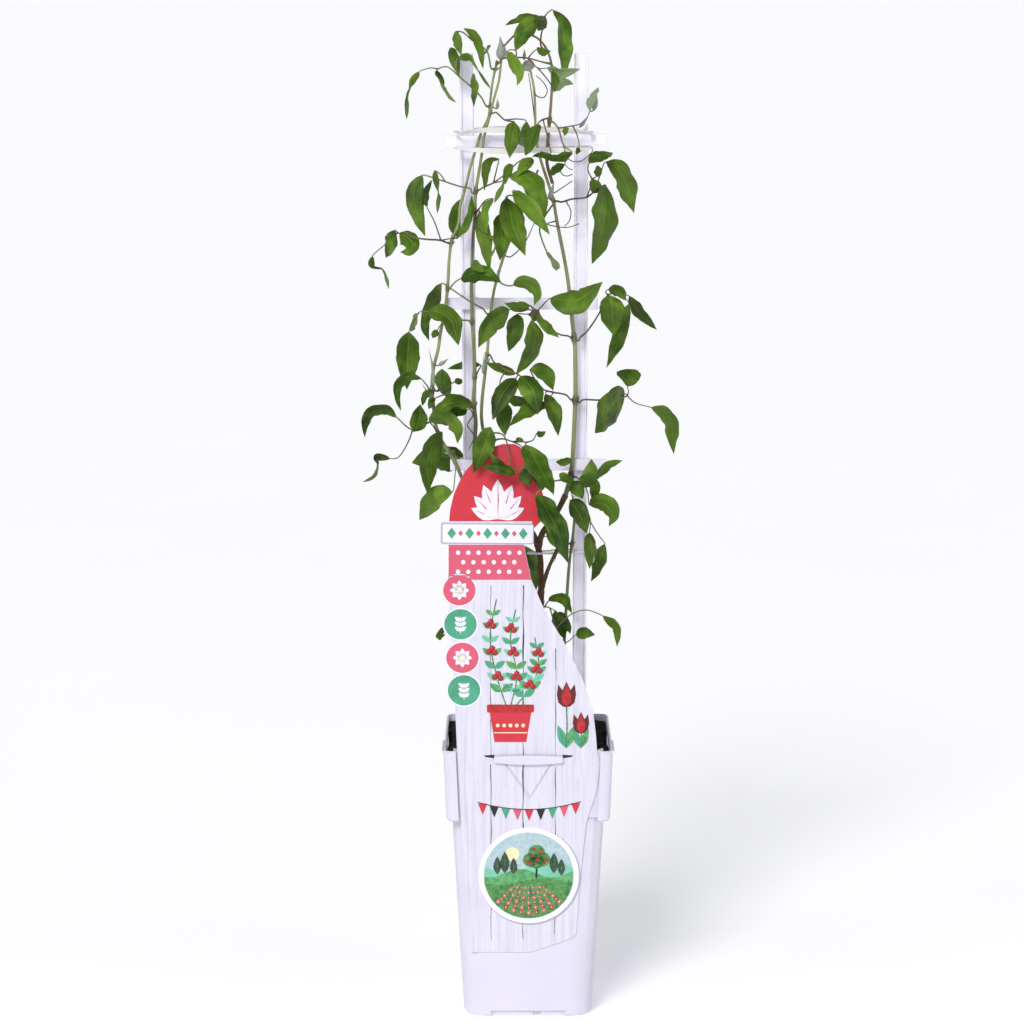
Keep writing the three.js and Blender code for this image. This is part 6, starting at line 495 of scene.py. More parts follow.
# ---------------------------------------------------------------- materials
def leaf_shader(name, dark, mid, light, vein, rough, back):
    s = Shader(name, Specular_IOR_Level=0.18 if not back else 0.12)
    s.b.inputs["Subsurface Weight"].default_value = 0.05
    s.b.inputs["Subsurface Radius"].default_value = (0.7, 1.0, 0.2)
    s.b.inputs["Subsurface Scale"].default_value = 0.0012
    uv, obj = s.coord("UV"), s.coord("Object")
    blotch = s.noise(obj, 55, 3)
    colour = s.ramp(blotch, [(0.30, dark), (0.50, mid), (0.78, light)])
    colour = s.mix(s.span(s.attr("tint"), 0, 1, 0.0, 0.55), colour, mid if back else light)
    colour = s.mix(s.span(s.attr("age"), 0, 1, 0.0, 0.7), colour, tuple(c * 0.62 for c in dark))
    colour = s.mix(s.math("MULTIPLY", s.attr("flush"), 0.55), colour, srgb(112, 92, 40))
    # the silvery down of a blade that has only just opened
    down = s.span(s.noise(uv, 30, 4), 0.3, 0.7, 0.72, 1.0)
    colour = s.mix(s.math("MULTIPLY", s.attr("bloom"), down), colour, srgb(142, 156, 132))
    net = s.span(s.cells(uv, 9.5), 0.0, 0.09, 1.0, 0.0)
    colour = s.mix(s.math("MULTIPLY", net, 0.10 if back else 0.06), colour, vein)
    colour = s.mix(s.math("MULTIPLY", s.attr("vein"), 0.6 if back else 0.30), colour, vein)
    # painted highlight: small bright flecks mixed towards the light green stand in for the mottled sheen on the blades
    painted_highlight_speck = s.span(s.noise(uv, 40, 2), 0.70, 0.8, 0, 1)
    colour = s.mix(s.math("MULTIPLY", painted_highlight_speck, 0.10), colour, light)
    s.base(colour)
    s.rough(s.math("ADD", s.span(s.noise(obj, 160, 3), 0.3, 0.7, rough - 0.06, rough + 0.08), s.math("MULTIPLY", s.attr("vein"), 0.05)))
    return s.bump((net, 0.16 if not back else 0.3, 0.0002), (s.noise(uv, 24, 5, 0.65), 0.22, 0.0003))


LEAF_TOP = leaf_shader("leaf_upper", srgb(10, 26, 1), srgb(48, 82, 7), srgb(114, 147, 44), srgb(120, 150, 58), 0.42, False)
LEAF_BACK = leaf_shader("leaf_underside", srgb(56, 82, 28), srgb(88, 114, 50), srgb(126, 150, 86), srgb(146, 164, 106), 0.55, True)


def stalk_shader():
    s = Shader("leaf_stalk", Specular_IOR_Level=0.35)
    obj = s.coord("Object")
    k = s.math("ADD", s.math("MULTIPLY", s.attr("flush"), 0.75), s.span(s.noise(obj, 38, 3), 0.35, 0.65, -0.18, 0.3), clamp=True)
    colour = s.ramp(k, [(0.12, srgb(116, 134, 76)), (0.5, srgb(98, 92, 70)), (0.85, srgb(74, 56, 60))])
    s.base(colour)
    s.rough(s.span(s.noise(obj, 200, 2), 0.3, 0.7, 0.42, 0.6))
    return s.bump((s.noise(s.scaled(s.coord("UV"), (26, 2.5, 1)), 3, 4), 0.25, 0.0002))


STALK = stalk_shader()


def stem_shader(name, green, shade, brown, share):
    s = Shader(name, Specular_IOR_Level=0.35)
    obj, uv = s.coord("Object"), s.coord("UV")
    streak = s.noise(s.scaled(uv, (9, 0.5, 1)), 4, 5, 0.6)
    colour = s.ramp(streak, [(0.28, shade), (0.5, green), (0.74, tuple(min(1, c * 1.35) for c in green))])
    old = s.math("ADD", s.attr("age"), s.span(s.noise(s.scaled(obj, (40, 40, 9)), 1.0, 4), 0.3, 0.7, -0.35, share), clamp=True)
    colour = s.mix(old, colour, s.ramp(streak, [(0.3, tuple(c * 0.6 for c in brown)), (0.6, brown), (0.8, tuple(c * 1.5 for c in brown))]))
    s.base(colour)
    s.rough(s.span(s.noise(obj, 220, 3), 0.3, 0.7, 0.48, 0.68))
    return s.bump((s.noise(s.scaled(uv, (16, 0.8, 1)), 4, 6, 0.6), 0.35, 0.0003), (s.noise(obj, 900, 2), 0.15, 0.0001))


STEM_GREEN = stem_shader("stem_green", srgb(142, 150, 104), srgb(98, 106, 66), srgb(84, 68, 56), 0.32)
STEM_BROWN = stem_shader("stem_brown", srgb(120, 108, 78), srgb(96, 80, 60), srgb(92, 64, 60), 0.85)


def bark_shader():
    s = Shader("bark", Specular_IOR_Level=0.2)
    uv, obj = s.coord("UV"), s.coord("Object")
    fibre = s.noise(s.scaled(uv, (7, 0.55, 1)), 5, 8, 0.68, 0.4)
    flake = s.cells(s.scaled(uv, (3.4, 0.6, 1)), 2.4)
    colour = s.ramp(fibre, [(0.27, srgb(46, 33, 26)), (0.45, srgb(92, 68, 50)), (0.6, srgb(133, 104, 76)), (0.78, srgb(176, 150, 116))])
    colour = s.mix(s.span(flake, 0.0, 0.07, 0.75, 0.0), colour, srgb(38, 27, 22))
    colour = s.mix(s.span(s.noise(obj, 45, 3), 0.52, 0.7, 0, 0.4), colour, srgb(104, 104, 66))
    s.base(colour)
    s.rough(s.span(fibre, 0.3, 0.7, 0.95, 0.72))
    return s.bump((fibre, 0.9, 0.0009), (s.span(flake, 0, 0.1), 0.6, 0.0005), (s.noise(obj, 800, 3), 0.2, 0.0002))


BARK = bark_shader()


def bud_shader():
    s = Shader("bud_downy", Specular_IOR_Level=0.2, Sheen_Weight=0.45, Sheen_Roughness=0.5)
    s.b.inputs["Sheen Tint"].default_value = (0.92, 0.95, 0.9, 1)
    uv, obj = s.coord("UV"), s.coord("Object")
    k = s.noise(s.scaled(uv, (8, 1.2, 1)), 5, 5)
    colour = s.ramp(k, [(0.3, srgb(118, 128, 116)), (0.55, srgb(150, 158, 150)), (0.75, srgb(190, 194, 192))])
    colour = s.mix(s.span(s.attr("age"), 0, 1, 0, 0.85), colour, srgb(98, 110, 38))
    colour = s.mix(s.math("MULTIPLY", s.attr("flush"), 0.6), colour, srgb(58, 62, 52))
    s.base(colour)
    s.rough(s.span(s.noise(obj, 500, 3), 0.3, 0.7, 0.62, 0.85))
    return s.bump((s.noise(s.scaled(uv, (30, 3, 1)), 6, 4), 0.35, 0.0003), (s.noise(obj, 2600, 2), 0.3, 0.0001))


BUD = bud_shader()


def plastic(name, colour, rough, grain, scale, streaks=0.0, sss=0.02, coat=0.0):
    s = Shader(name, Specular_IOR_Level=0.5, Coat_Weight=coat, Coat_Roughness=0.12)
    s.b.inputs["Subsurface Weight"].default_value = sss
    s.b.inputs["Subsurface Radius"].default_value = (1.0, 0.95, 1.1)
    s.b.inputs["Subsurface Scale"].default_value = 0.003
    obj = s.coord("Object")
    shade = tuple(c * 0.9 for c in colour)
    c = s.mix(s.span(s.noise(obj, 9, 4), 0.35, 0.7), colour, shade)
    scuff = s.span(s.noise(s.scaled(obj, (26, 26, 120)), 1.0, 6, 0.7), 0.62, 0.78, 0, 1)
    c = s.mix(s.math("MULTIPLY", scuff, 0.35 * streaks), c, tuple(x * 0.74 for x in colour))
    s.base(c)
    s.rough(s.math("ADD", s.span(s.noise(obj, 34, 5), 0.3, 0.7, rough - 0.05, rough + 0.07), s.math("MULTIPLY", scuff, 0.14 * streaks)))
    return s.bump((s.noise(obj, scale, 3), grain, 0.00012), (s.noise(obj, 14, 2), 0.10, 0.0012))


POT_WHITE = plastic("pot_plastic_white", srgb(210, 206, 222), 0.40, 0.30, 1900, 0.6)
BAR_WHITE = plastic("trellis_plastic_white", srgb(234, 231, 246), 0.27, 0.12, 1200, 0.25, coat=0.15)


def band_shader():
    s = Shader("elastic_band", Specular_IOR_Level=0.45)
    s.b.inputs["Subsurface Weight"].default_value = 0.35
    s.b.inputs["Subsurface Radius"].default_value = (1.0, 0.9, 0.6)
    s.b.inputs["Subsurface Scale"].default_value = 0.0015
    obj = s.coord("Object")
    c = s.ramp(s.noise(s.scaled(obj, (30, 30, 400)), 1, 4), [(0.3, srgb(205, 201, 200)), (0.7, srgb(228, 225, 224))])
    s.base(c)
    s.rough(s.span(s.noise(obj, 150, 3), 0.3, 0.7, 0.34, 0.5))
    return s.bump((s.noise(s.scaled(obj, (60, 60, 900)), 1, 3), 0.3, 0.0002))


BAND = band_shader()


def soil_shader():
    s = Shader("peat_soil", Specular_IOR_Level=0.25)
    obj = s.coord("Object")
    k = s.noise(obj, 210, 8, 0.7)
    c = s.ramp(k, [(0.3, srgb(12, 9, 8)), (0.5, srgb(29, 22, 18)), (0.68, srgb(52, 39, 30)), (0.85, srgb(84, 66, 49))])
    c = s.mix(s.span(s.attr("tint"), 0, 1, 0, 0.8), c, srgb(88, 64, 44))
    s.base(c)
    s.rough(s.span(k, 0.3, 0.7, 0.98, 0.8))
    return s.bump((k, 0.9, 0.0012), (s.noise(obj, 1300, 3), 0.5, 0.0004))


SOIL = soil_shader()


def card_shader():
    s = Shader("label_board", Specular_IOR_Level=0.5, Coat_Weight=0.12, Coat_Roughness=0.18)
    obj = s.coord("Object")
    grain = s.noise(s.scaled(obj, (170, 1, 9)), 1.6, 6, 0.62, 0.6)
    knots = s.noise(s.scaled(obj, (34, 1, 13)), 1.0, 3)
    c = s.ramp(grain, [(0.30, srgb(190, 188, 203)), (0.5, srgb(204, 202, 216)), (0.7, srgb(213, 211, 224))])
    c = s.mix(s.span(knots, 0.60, 0.78, 0, 0.35), c, srgb(184, 184, 198))
    s.base(c)
    s.rough(s.span(s.noise(obj, 60, 4), 0.3, 0.7, 0.26, 0.38))
    return s.bump((s.noise(obj, 26, 3), 0.16, 0.0016), (s.noise(obj, 1500, 2), 0.06, 0.0001))


CARD = card_shader()


def ink(name, colour, vary=0.14, mottled=None):
    s = Shader(name, Specular_IOR_Level=0.5, Coat_Weight=0.12, Coat_Roughness=0.18)
    obj = s.coord("Object")
    other = mottled or tuple(c * (1 - vary) for c in colour)
    scale = 330 if mottled else 70
    c = s.mix(s.span(s.noise(obj, scale, 5, 0.65), 0.38, 0.62), colour, other)
    s.base(c)
    s.rough(s.span(s.noise(obj, 60, 4), 0.3, 0.7, 0.26, 0.38))
    return s.bump((s.noise(obj, 26, 3), 0.16, 0.0016), (s.noise(obj, 1500, 2), 0.06, 0.0001))


INK = {
    "red": ink("ink_red", srgb(197, 38, 56), 0.10),
    "pink": ink("ink_pink", srgb(205, 82, 108), 0.07),
    "white": ink("ink_white", srgb(226, 223, 237), 0.03),
    "line": ink("ink_line", srgb(34, 26, 34), 0.15),
    "grey": ink("ink_grey", srgb(160, 161, 176), 0.08),
    "grain": ink("ink_grain", srgb(190, 188, 204), 0.06),
    "gap": ink("ink_gap", srgb(44, 38, 54), 0.4),
    "petal": ink("ink_petal", srgb(148, 14, 22), mottled=srgb(184, 32, 36)),
    "petal_dark": ink("ink_petal_dark", srgb(96, 8, 16), 0.25),
    "cream": ink("ink_cream", srgb(238, 222, 176), 0.12),
    "mint": ink("ink_mint", srgb(116, 192, 166), 0.16),
    "mint_dark": ink("ink_mint_dark", srgb(70, 158, 124), 0.2),
    "fern": ink("ink_fern", srgb(58, 132, 78), mottled=srgb(98, 168, 104)),
    "hedge": ink("ink_hedge", srgb(40, 98, 52), mottled=srgb(84, 150, 74)),
    "shade": ink("ink_shade", srgb(26, 44, 36), mottled=srgb(46, 78, 52)),
    "sky": ink("ink_sky", srgb(150, 176, 186), mottled=srgb(176, 196, 200)),
    "board": ink("ink_board", srgb(22, 20, 26), 0.3),
}


# ---------------------------------------------------------------- mesh collecting
RNG = np.random.default_rng(4171)
VALUES = ("vein", "tint", "age", "flush", "bloom")


def unit(v):
    return v / np.maximum(np.linalg.norm(v, axis=-1, keepdims=True), 1e-9)


class Skin:
    """Gathers closed parts in millimetres and turns them into one piece."""

    def __init__(self):
        self.v, self.f, self.m, self.uv = [], [], [], []
        self.a = {k: [] for k in VALUES}
        self.n = 0

    def add(self, verts, faces, mat=0, uv=None, **values):
        verts = np.asarray(verts, float)
        faces = [tuple(f) for f in faces]
        # outward faces: the signed volume of a closed part is positive
        tris = np.array([(f[0], f[k], f[k + 1]) for f in faces for k in range(1, len(f) - 1)])
        a, b, c = verts[tris[:, 0]], verts[tris[:, 1]], verts[tris[:, 2]]
        if np.einsum("ij,ij->i", a - verts.mean(0), np.cross(b - a, c - a)).sum() < 0:
            faces = [f[::-1] for f in faces]
        n = len(verts)
        self.v.append(verts)
        self.f.extend(tuple(i + self.n for i in f) for f in faces)
        self.m.extend([mat] * len(faces) if isinstance(mat, int) else list(mat))
        self.uv.append(np.zeros((n, 2)) if uv is None else np.asarray(uv, float))
        for k in VALUES:
            self.a[k].append(np.broadcast_to(np.asarray(values.get(k, 0.0), float), (n,)))
        self.n += n

    def piece(self, name, materials, slot, nodes=(), smooth=True, sharp=None):
        mesh = bpy.data.meshes.new(name)
        v = np.concatenate(self.v) * MM
        mesh.from_pydata(v.tolist(), [], self.f)
        for m in materials:
            mesh.materials.append(m)
        mesh.polygons.foreach_set("material_index", np.asarray(self.m, dtype=np.int32))
        mesh.polygons.foreach_set("use_smooth", np.full(len(mesh.polygons), smooth))
        loops = np.empty(len(mesh.loops), dtype=np.int32)
        mesh.loops.foreach_get("vertex_index", loops)
        layer = mesh.uv_layers.new(name="UVMap")
        layer.data.foreach_set("uv", np.concatenate(self.uv)[loops].ravel())
        for k in VALUES:
            values = np.concatenate(self.a[k])
            if values.any():
                mesh.attributes.new(k, "FLOAT", "POINT").data.foreach_set("value", values.astype(np.float32))
        if sharp:
            mesh.set_sharp_from_angle(angle=math.radians(sharp))
        mesh.validate()
        mesh.update()
        o = bpy.data.objects.new(name, mesh)
        SCENE.collection.objects.link(o)
        return settle(o, nodes)


def settle(o, nodes=()):
    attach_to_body(o, "root")
    if nodes:
        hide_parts(*nodes)
    return o


def ring_faces(rows, sides, looped=False):
    """Quads over rows of closed rings; fans from the two ends' own middle points."""
    faces = []
    last = rows if looped else rows - 1
    for r in range(last):
        a, b = r * sides, ((r + 1) % rows) * sides
        for s in range(sides):
            t = (s + 1) % sides
            faces.append((a + s, a + t, b + t, b + s))
    if not looped:
        n = rows * sides
        faces += [(s, n, (s + 1) % sides) for s in range(sides)]
        e = (rows - 1) * sides
        faces += [(e + s, e + (s + 1) % sides, n + 1) for s in range(sides)]
    return faces


def catmull(points):
    """Centripetal Catmull-Rom curve through the points: a function of 0..1."""
    p = np.asarray(points, float)
    n = len(p)
    q = np.vstack([2 * p[0] - p[1], p, 2 * p[-1] - p[-2]])

    def at(t):
        t = np.clip(np.atleast_1d(np.asarray(t, float)), 0, 1) * (n - 1)
        k = np.minimum(t.astype(int), n - 2)
        w = (t - k)[:, None]
        p0, p1, p2, p3 = q[k], q[k + 1], q[k + 2], q[k + 3]
        d = [np.sqrt(np.linalg.norm(b - a, axis=1, keepdims=True)) for a, b in ((p0, p1), (p1, p2), (p2, p3))]
        d[1] = np.where(d[1] < 1e-4, 1, d[1])
        d0, d2 = np.where(d[0] < 1e-4, d[1], d[0]), np.where(d[2] < 1e-4, d[1], d[2])
        d1 = d[1]
        t1 = ((p1 - p0) / d0 - (p2 - p0) / (d0 + d1) + (p2 - p1) / d1) * d1
        t2 = ((p2 - p1) / d1 - (p3 - p1) / (d1 + d2) + (p3 - p2) / d2) * d1
        return p1 + t1 * w + (-3 * p1 + 3 * p2 - 2 * t1 - t2) * w**2 + (2 * p1 - 2 * p2 + t1 + t2) * w**3

    return at


def resample(points, step, smooth=True):
    """Points every step along the smooth curve through the given ones, with the distance run."""
    p = np.asarray(points, float)
    dense = catmull(p)(np.linspace(0, 1, 24 * (len(p) - 1) + 1)) if smooth and len(p) > 2 else p
    run = np.concatenate([[0], np.cumsum(np.linalg.norm(np.diff(dense, axis=0), axis=1))])
    n = max(3, int(math.ceil(run[-1] / step)) + 1)
    s = np.linspace(0, run[-1], n)
    return np.stack([np.interp(s, run, dense[:, k]) for k in range(3)], 1), s


def frames(p):
    """Tangents and two side vectors carried along without twist."""
    t = unit(np.gradient(p, axis=0))
    n = np.empty_like(t)
    ref = np.array([0, -1.0, 0.12]) if abs(t[0][1]) < 0.9 else np.array([1.0, 0, 0])
    n[0] = unit(ref - t[0] * (ref @ t[0]))
    for i in range(1, len(p)):
        n[i] = unit(n[i - 1] - t[i] * (n[i - 1] @ t[i]))
    return t, n, np.cross(t, n)


def tube(skin, points, radius, sides=10, step=2.0, mat=0, relief=None, smooth=True, dome=0.6, **values):
    """A closed tube. radius is a function of the distance run (an array) and the whole length;
    relief multiplies it by (distance, angle). Values may be functions of the distance too."""
    p, s = resample(points, step, smooth)
    length = s[-1]
    r = np.broadcast_to(np.asarray(radius(s, length) if callable(radius) else radius, float), s.shape).copy()
    # rounded ends
    p = np.vstack([p[0] + (p[0] - p[1]) * 0, p])
    s = np.concatenate([[s[0]], s])
    p[0] = p[1] + unit(p[1] - p[2]) * r[0] * dome * 0.5
    r = np.concatenate([[r[0] * 0.72], r])
    p = np.vstack([p, p[-1] + unit(p[-1] - p[-2]) * r[-1] * dome * 0.5])
    s = np.concatenate([s, [length]])
    r = np.concatenate([r, [r[-1] * 0.72]])
    t, n, b = frames(p)
    ang = np.arange(sides) * 2 * math.pi / sides
    k = r[:, None] * np.ones((1, sides))
    if relief is not None:
        k = k * relief(s[:, None], ang[None, :])
    v = p[:, None, :] + k[..., None] * (np.cos(ang)[None, :, None] * n[:, None, :] + np.sin(ang)[None, :, None] * b[:, None, :])
    ends = np.stack([p[0] - t[0] * r[0] * dome * 0.4, p[-1] + t[-1] * r[-1] * dome * 0.4])
    verts = np.vstack([v.reshape(-1, 3), ends])
    turn = np.minimum(ang, 2 * math.pi - ang) / math.pi
    uv = np.stack(np.broadcast_arrays(turn[None, :], s[:, None] / 10.0), -1).reshape(-1, 2)
    uv = np.vstack([uv, [0.5, s[0] / 10], [0.5, s[-1] / 10]])
    vals = {}
    for key, value in values.items():
        if callable(value):
            a = np.repeat(np.asarray(value(s, p), float), sides)
            vals[key] = np.concatenate([a, [a[0], a[-1]]])
        else:
            vals[key] = value
    skin.add(verts, ring_faces(len(p), sides), mat, uv, **vals)
    return p, s


def pchip(x, y):
    """Smooth rise and fall through the points without overshoot."""
    x, y = np.asarray(x, float), np.asarray(y, float)
    h, d = np.diff(x), np.diff(y) / np.diff(x)
    m = np.zeros_like(y)
    for i in range(1, len(x) - 1):
        if d[i - 1] * d[i] > 0:
            w1, w2 = 2 * h[i] + h[i - 1], h[i] + 2 * h[i - 1]
            m[i] = (w1 + w2) / (w1 / d[i - 1] + w2 / d[i])
    m[0], m[-1] = d[0], d[-1]

    def at(t):
        t = np.asarray(t, float)
        k = np.clip(np.searchsorted(x, t, side="right") - 1, 0, len(x) - 2)
        u = (t - x[k]) / h[k]
        return ((1 + 2 * u) * (1 - u) ** 2 * y[k] + u * (1 - u) ** 2 * h[k] * m[k]
                + u * u * (3 - 2 * u) * y[k + 1] + u * u * (u - 1) * h[k] * m[k + 1])

    return at


# ---------------------------------------------------------------- leaves
OUTLINE = pchip([0, 0.02, 0.06, 0.13, 0.22, 0.34, 0.44, 0.58, 0.72, 0.85, 0.93, 1],
                [0.02, 0.16, 0.42, 0.71, 0.92, 1, 0.99, 0.88, 0.665, 0.375, 0.175, 0.0])
FAN = pchip([0, 0.03, 0.1, 0.25, 0.45, 0.62, 0.76, 0.88, 0.95, 1],
            [0.03, 0.14, 0.36, 0.66, 0.92, 1.04, 0.96, 0.66, 0.38, 0.0])
SIDE = [0.055, 0.13, 0.24, 0.31, 0.36, 0.41, 0.5, 0.6, 0.655, 0.70, 0.745, 0.83, 0.93]
SIDE_SMALL = [0.09, 0.22, 0.36, 0.5, 0.66, 0.84]
VEINS = ((0.0, 1.0, 0.05), (0.36, 0.62, 0.045), (0.70, 0.45, 0.042))
FACE = np.array([0, -0.987, 0.16])


def env0(t):
    return np.sin(math.pi * np.clip(t, 0, 1)) ** 0.7


def leaflet(skin, spec, rng, tint, age, flush, bloom=0.0, top=0, back=1):
    points, width, roll0, roll1, kind = spec
    curve = catmull(points)
    small = width < 7.5
    side = SIDE_SMALL if small else SIDE
    u = np.array([-1.0] + [-x for x in side[::-1]] + [0.0] + side + [1.0])
    rows = 22 if small else 34
    k = np.arange(1, rows + 1) / (rows + 1)
    t = 0.55 * k + 0.45 * (0.5 - 0.5 * np.cos(math.pi * k))
    if kind == "fan":
        half = width / 2 * FAN(t)
    else:
        half = width / 2 * OUTLINE(t) ** rng.uniform(0.9, 1.12)
    c = curve(t)
    run = np.concatenate([[0], np.cumsum(np.linalg.norm(np.diff(curve(np.linspace(0, 1, 60)), axis=0), axis=1))])
    length = run[-1]
    T = unit(curve(np.minimum(t + 1e-4, 1)) - curve(np.maximum(t - 1e-4, 0)))
    n0 = unit(FACE - T * (T @ FACE)[:, None])
    s0 = np.cross(T, n0)
    roll = np.radians(roll0 + (roll1 - roll0) * t)[:, None]
    N = n0 * np.cos(roll) + s0 * np.sin(roll)
    S = np.cross(T, N)
    # widths left and right, with the slight irregularity of a real margin
    lop = rng.uniform(-0.05, 0.05)
    H = half[:, None] * np.ones((1, len(u)))
    edge_noise = np.zeros((rows, 2))
    for f in (2.3, 4.1, 6.7, 10.3):
        for e in range(2):
            edge_noise[:, e] += np.sin(2 * math.pi * (f * t + rng.random())) * 0.020 / (1 + 0.12 * f)
    H = H * np.where(u[None, :] < 0, 1 + lop + edge_noise[:, :1], 1 - lop + edge_noise[:, 1:])
    au = np.abs(u)
    scale = np.clip(half / 6.0, 0.12, 1.0)[:, None]
    fold = 0.2 * (1 + 0.25 * math.sin(6.3 * rng.random())) * (1 - 0.35 * t)[:, None]
    mid = fold * half[:, None] * (1.22 * au - 0.34 * au**3)[None, :]
    # soft pillows between the veins, and a lazy wave along each margin
    pillow = np.where(au < 0.36, np.sin(math.pi * au / 0.36), np.where(au < 0.7, 0.9 * np.sin(math.pi * (au - 0.36) / 0.34),
                      0.7 * np.sin(math.pi * np.clip((au - 0.7) / 0.34, 0, 1))))
    mid = mid + 0.13 * scale * pillow[None, :]
    # some blades roll their margins back, some cup
    mid = mid + rng.uniform(-0.34, 0.12) * (half * env0(t))[:, None] * (au**2.2)[None, :]
    puff = np.zeros((rows, len(u)))
    for f in (5.0, 8.6):
        ph = rng.random() * 6.28
        puff += np.sin(2 * math.pi * f * t[:, None] * length / 45 + ph + 2.2 * au[None, :]) * 0.06
    mid = mid + puff * scale * (pillow[None, :] * 0.8)
    env = np.sin(math.pi * t) ** 0.7
    for e, sign in enumerate((-1, 1)):
        wave = np.zeros(rows)
        for f, amp in ((rng.uniform(1.4, 2.1), 0.11), (rng.uniform(2.8, 4.2), 0.06)):
            wave += amp * np.sin(2 * math.pi * (f * t + rng.random()))
        mid = mid + np.where(np.sign(u)[None, :] == sign, (wave * env * half)[:, None] * (au**2)[None, :], 0)
    dip = np.zeros(len(u))
    vein = np.zeros(len(u))
    for pos, depth, w in VEINS:
        if small and pos > 0.5:
            continue
        near = np.exp(-(((au - pos) / w) ** 2))
        dip += depth * near
        vein += (1.0 if pos == 0 else 0.30) * near
    thick = 0.17 * (1 - au**8)[None, :] * (0.45 + 0.55 * scale)
    groove = (0.13 * dip * np.where(au < 0.2, 1.4, 0.7))[None, :] * scale
    # the midrib swells on the back towards the stalk
    rib = (0.34 * np.exp(-((au / 0.05) ** 2))[None, :] * (1 - 0.75 * t)[:, None] + 0.13 * dip[None, :]) * np.maximum(scale, 0.5)
    up, down = mid + thick - groove, mid - thick - rib
    base = c[:, None, :] + S[:, None, :] * (H * u[None, :])[..., None]
    upper = base + N[:, None, :] * up[..., None]
    lower = base + N[:, None, :] * down[..., None]
    n = len(u)
    rim = (upper[:, [0, -1]] + lower[:, [0, -1]]) / 2
    upper[:, [0, -1]] = rim
    ring = np.concatenate([upper, lower[:, n - 2 : 0 : -1]], axis=1)
    sides = ring.shape[1]
    ends = np.stack([curve(0)[0], curve(1)[0]])
    verts = np.vstack([ring.reshape(-1, 3), ends])
    uu = np.concatenate([u, u[n - 2 : 0 : -1]])
    uv = np.stack(np.broadcast_arrays((uu[None, :] * width / 2) / 10, t[:, None] * length / 10), -1).reshape(-1, 2)
    uv = np.vstack([uv, [0, 0], [0, length / 10]]) + rng.uniform(0, 40)
    vv = np.concatenate([vein, vein[n - 2 : 0 : -1]])
    vein_v = np.concatenate([(vv[None, :] * np.ones((rows, 1))).ravel(), [1, 1]])
    flush_v = np.repeat(np.clip(flush + 0.5 * np.exp(-t / 0.07) + 0.35 * np.exp(-(1 - t) / 0.05), 0, 1), sides)
    flush_v = np.concatenate([flush_v, [flush, flush]]) * (0.5 + 0.5 * np.concatenate([np.tile(np.abs(uu) ** 4, rows), [0, 0]])) if flush < 0.9 else flush
    faces = ring_faces(rows, sides)
    mats = [top if (i % sides) < n - 1 else back for i in range((rows - 1) * sides)] + [top if s < n - 1 else back for s in range(sides)] * 2
    # the faces keep the order of their materials: only their winding may turn
    skin.add(verts, faces, mats, uv, vein=vein_v, tint=tint, age=age, flush=flush_v, bloom=bloom)


STEM_CURVES = {}
# blades near the tips that have just opened, and how silvery they still are
NEW_BLADES = {("leaf_05", 4): 0.95, ("leaf_07", 2): 0.6, ("leaf_07", 3): 0.7}


def leaf_piece(number, name, data):
    attach, stem, pets, blades = data
    rng = np.random.default_rng(900 + number)
    skin = Skin()
    young = np.clip((attach[2] - 560) / 240, 0, 1)
    tone = np.clip(rng.normal(0.25 + 0.45 * young, 0.24), 0, 1)
    red = float(np.clip(rng.normal(0.55, 0.22), 0.1, 1))
    by_branch = {}
    for b in blades:
        by_branch.setdefault(b[5], []).append(b)
    for i, path in enumerate(pets):
        path = [list(q) for q in path]
        if i == 0:
            path = [list(attach)] + path
        for b in by_branch.get(i, ()):
            if math.dist(path[-1], b[0][0]) > 0.25:
                path.append(list(b[0][0]))
            # the stalk runs a little way into the blade's midrib
            path.append(list(catmull(b[0])(0.035)[0]))
        main = i == 0
        wide = 0.74 if main else 0.56

        def radius(s, length, wide=wide, main=main):
            k = wide * (1 - 0.28 * s / max(length, 1e-6))
            k = k + (0.55 if main else 0.22) * np.exp(-((s / 1.9) ** 2))
            return k * (1 - 0.25 * np.exp(-(((length - s) / 0.9) ** 2)))

        tube(skin, path, radius, sides=8 if main else 7, step=1.5, mat=2,
             relief=lambda s, a: 1 + 0.07 * np.cos(4 * a), flush=red, tint=tone)
    for k, b in enumerate(blades):
        points, width, r0, r1, kind, branch = b
        leaflet(skin, (points, width, r0, r1, kind), rng, tint=float(np.clip(tone + rng.normal(0, 0.18), 0, 1)),
                age=float(np.clip(rng.normal(0.2, 0.28), 0, 1)), flush=float(np.clip(rng.normal(0.02, 0.05), 0, 0.35)),
                bloom=NEW_BLADES.get((name, k), 0.0))
    return skin.piece("foliage_" + name[-2:], [LEAF_TOP, LEAF_BACK, STALK], "leaf", (name,))


# ---------------------------------------------------------------- stems
def noise1(x, seed, octaves=4):
    """Smooth seeded wobble of one or more coordinates."""
    r = np.random.default_rng(seed)
    out = 0.0
    for o in range(octaves):
        ph = r.uniform(0, 6.28, 3)
        out = out + (np.sin(x * 2.0**o * 1.1 + ph[0]) + np.sin(x * 2.0**o * 1.73 + ph[1]) + 0.6 * np.sin(x * 2.0**o * 2.61 + ph[2])) / 2.0**o
    return out / 3.2


def small_bud(skin, at, along, out, length, r, mat, **values):
    """A pointed bud of two scales that leans out of a stem."""
    along, out = unit(np.asarray(along, float)), unit(np.asarray(out, float))
    axis = unit(along * 0.85 + out * 0.6)
    start = np.asarray(at, float)
    pts = [start, start + axis * length * 0.5 + out * length * 0.06, start + axis * length]
    prof = pchip([0, 0.12, 0.35, 0.6, 0.85, 1], [0.65, 0.95, 1, 0.72, 0.3, 0.06])
    tube(skin, pts, lambda s, L: r * prof(s / L), sides=8, step=length / 9, mat=mat, relief=lambda s, a: 1 + 0.10 * np.cos(2 * a), **values)


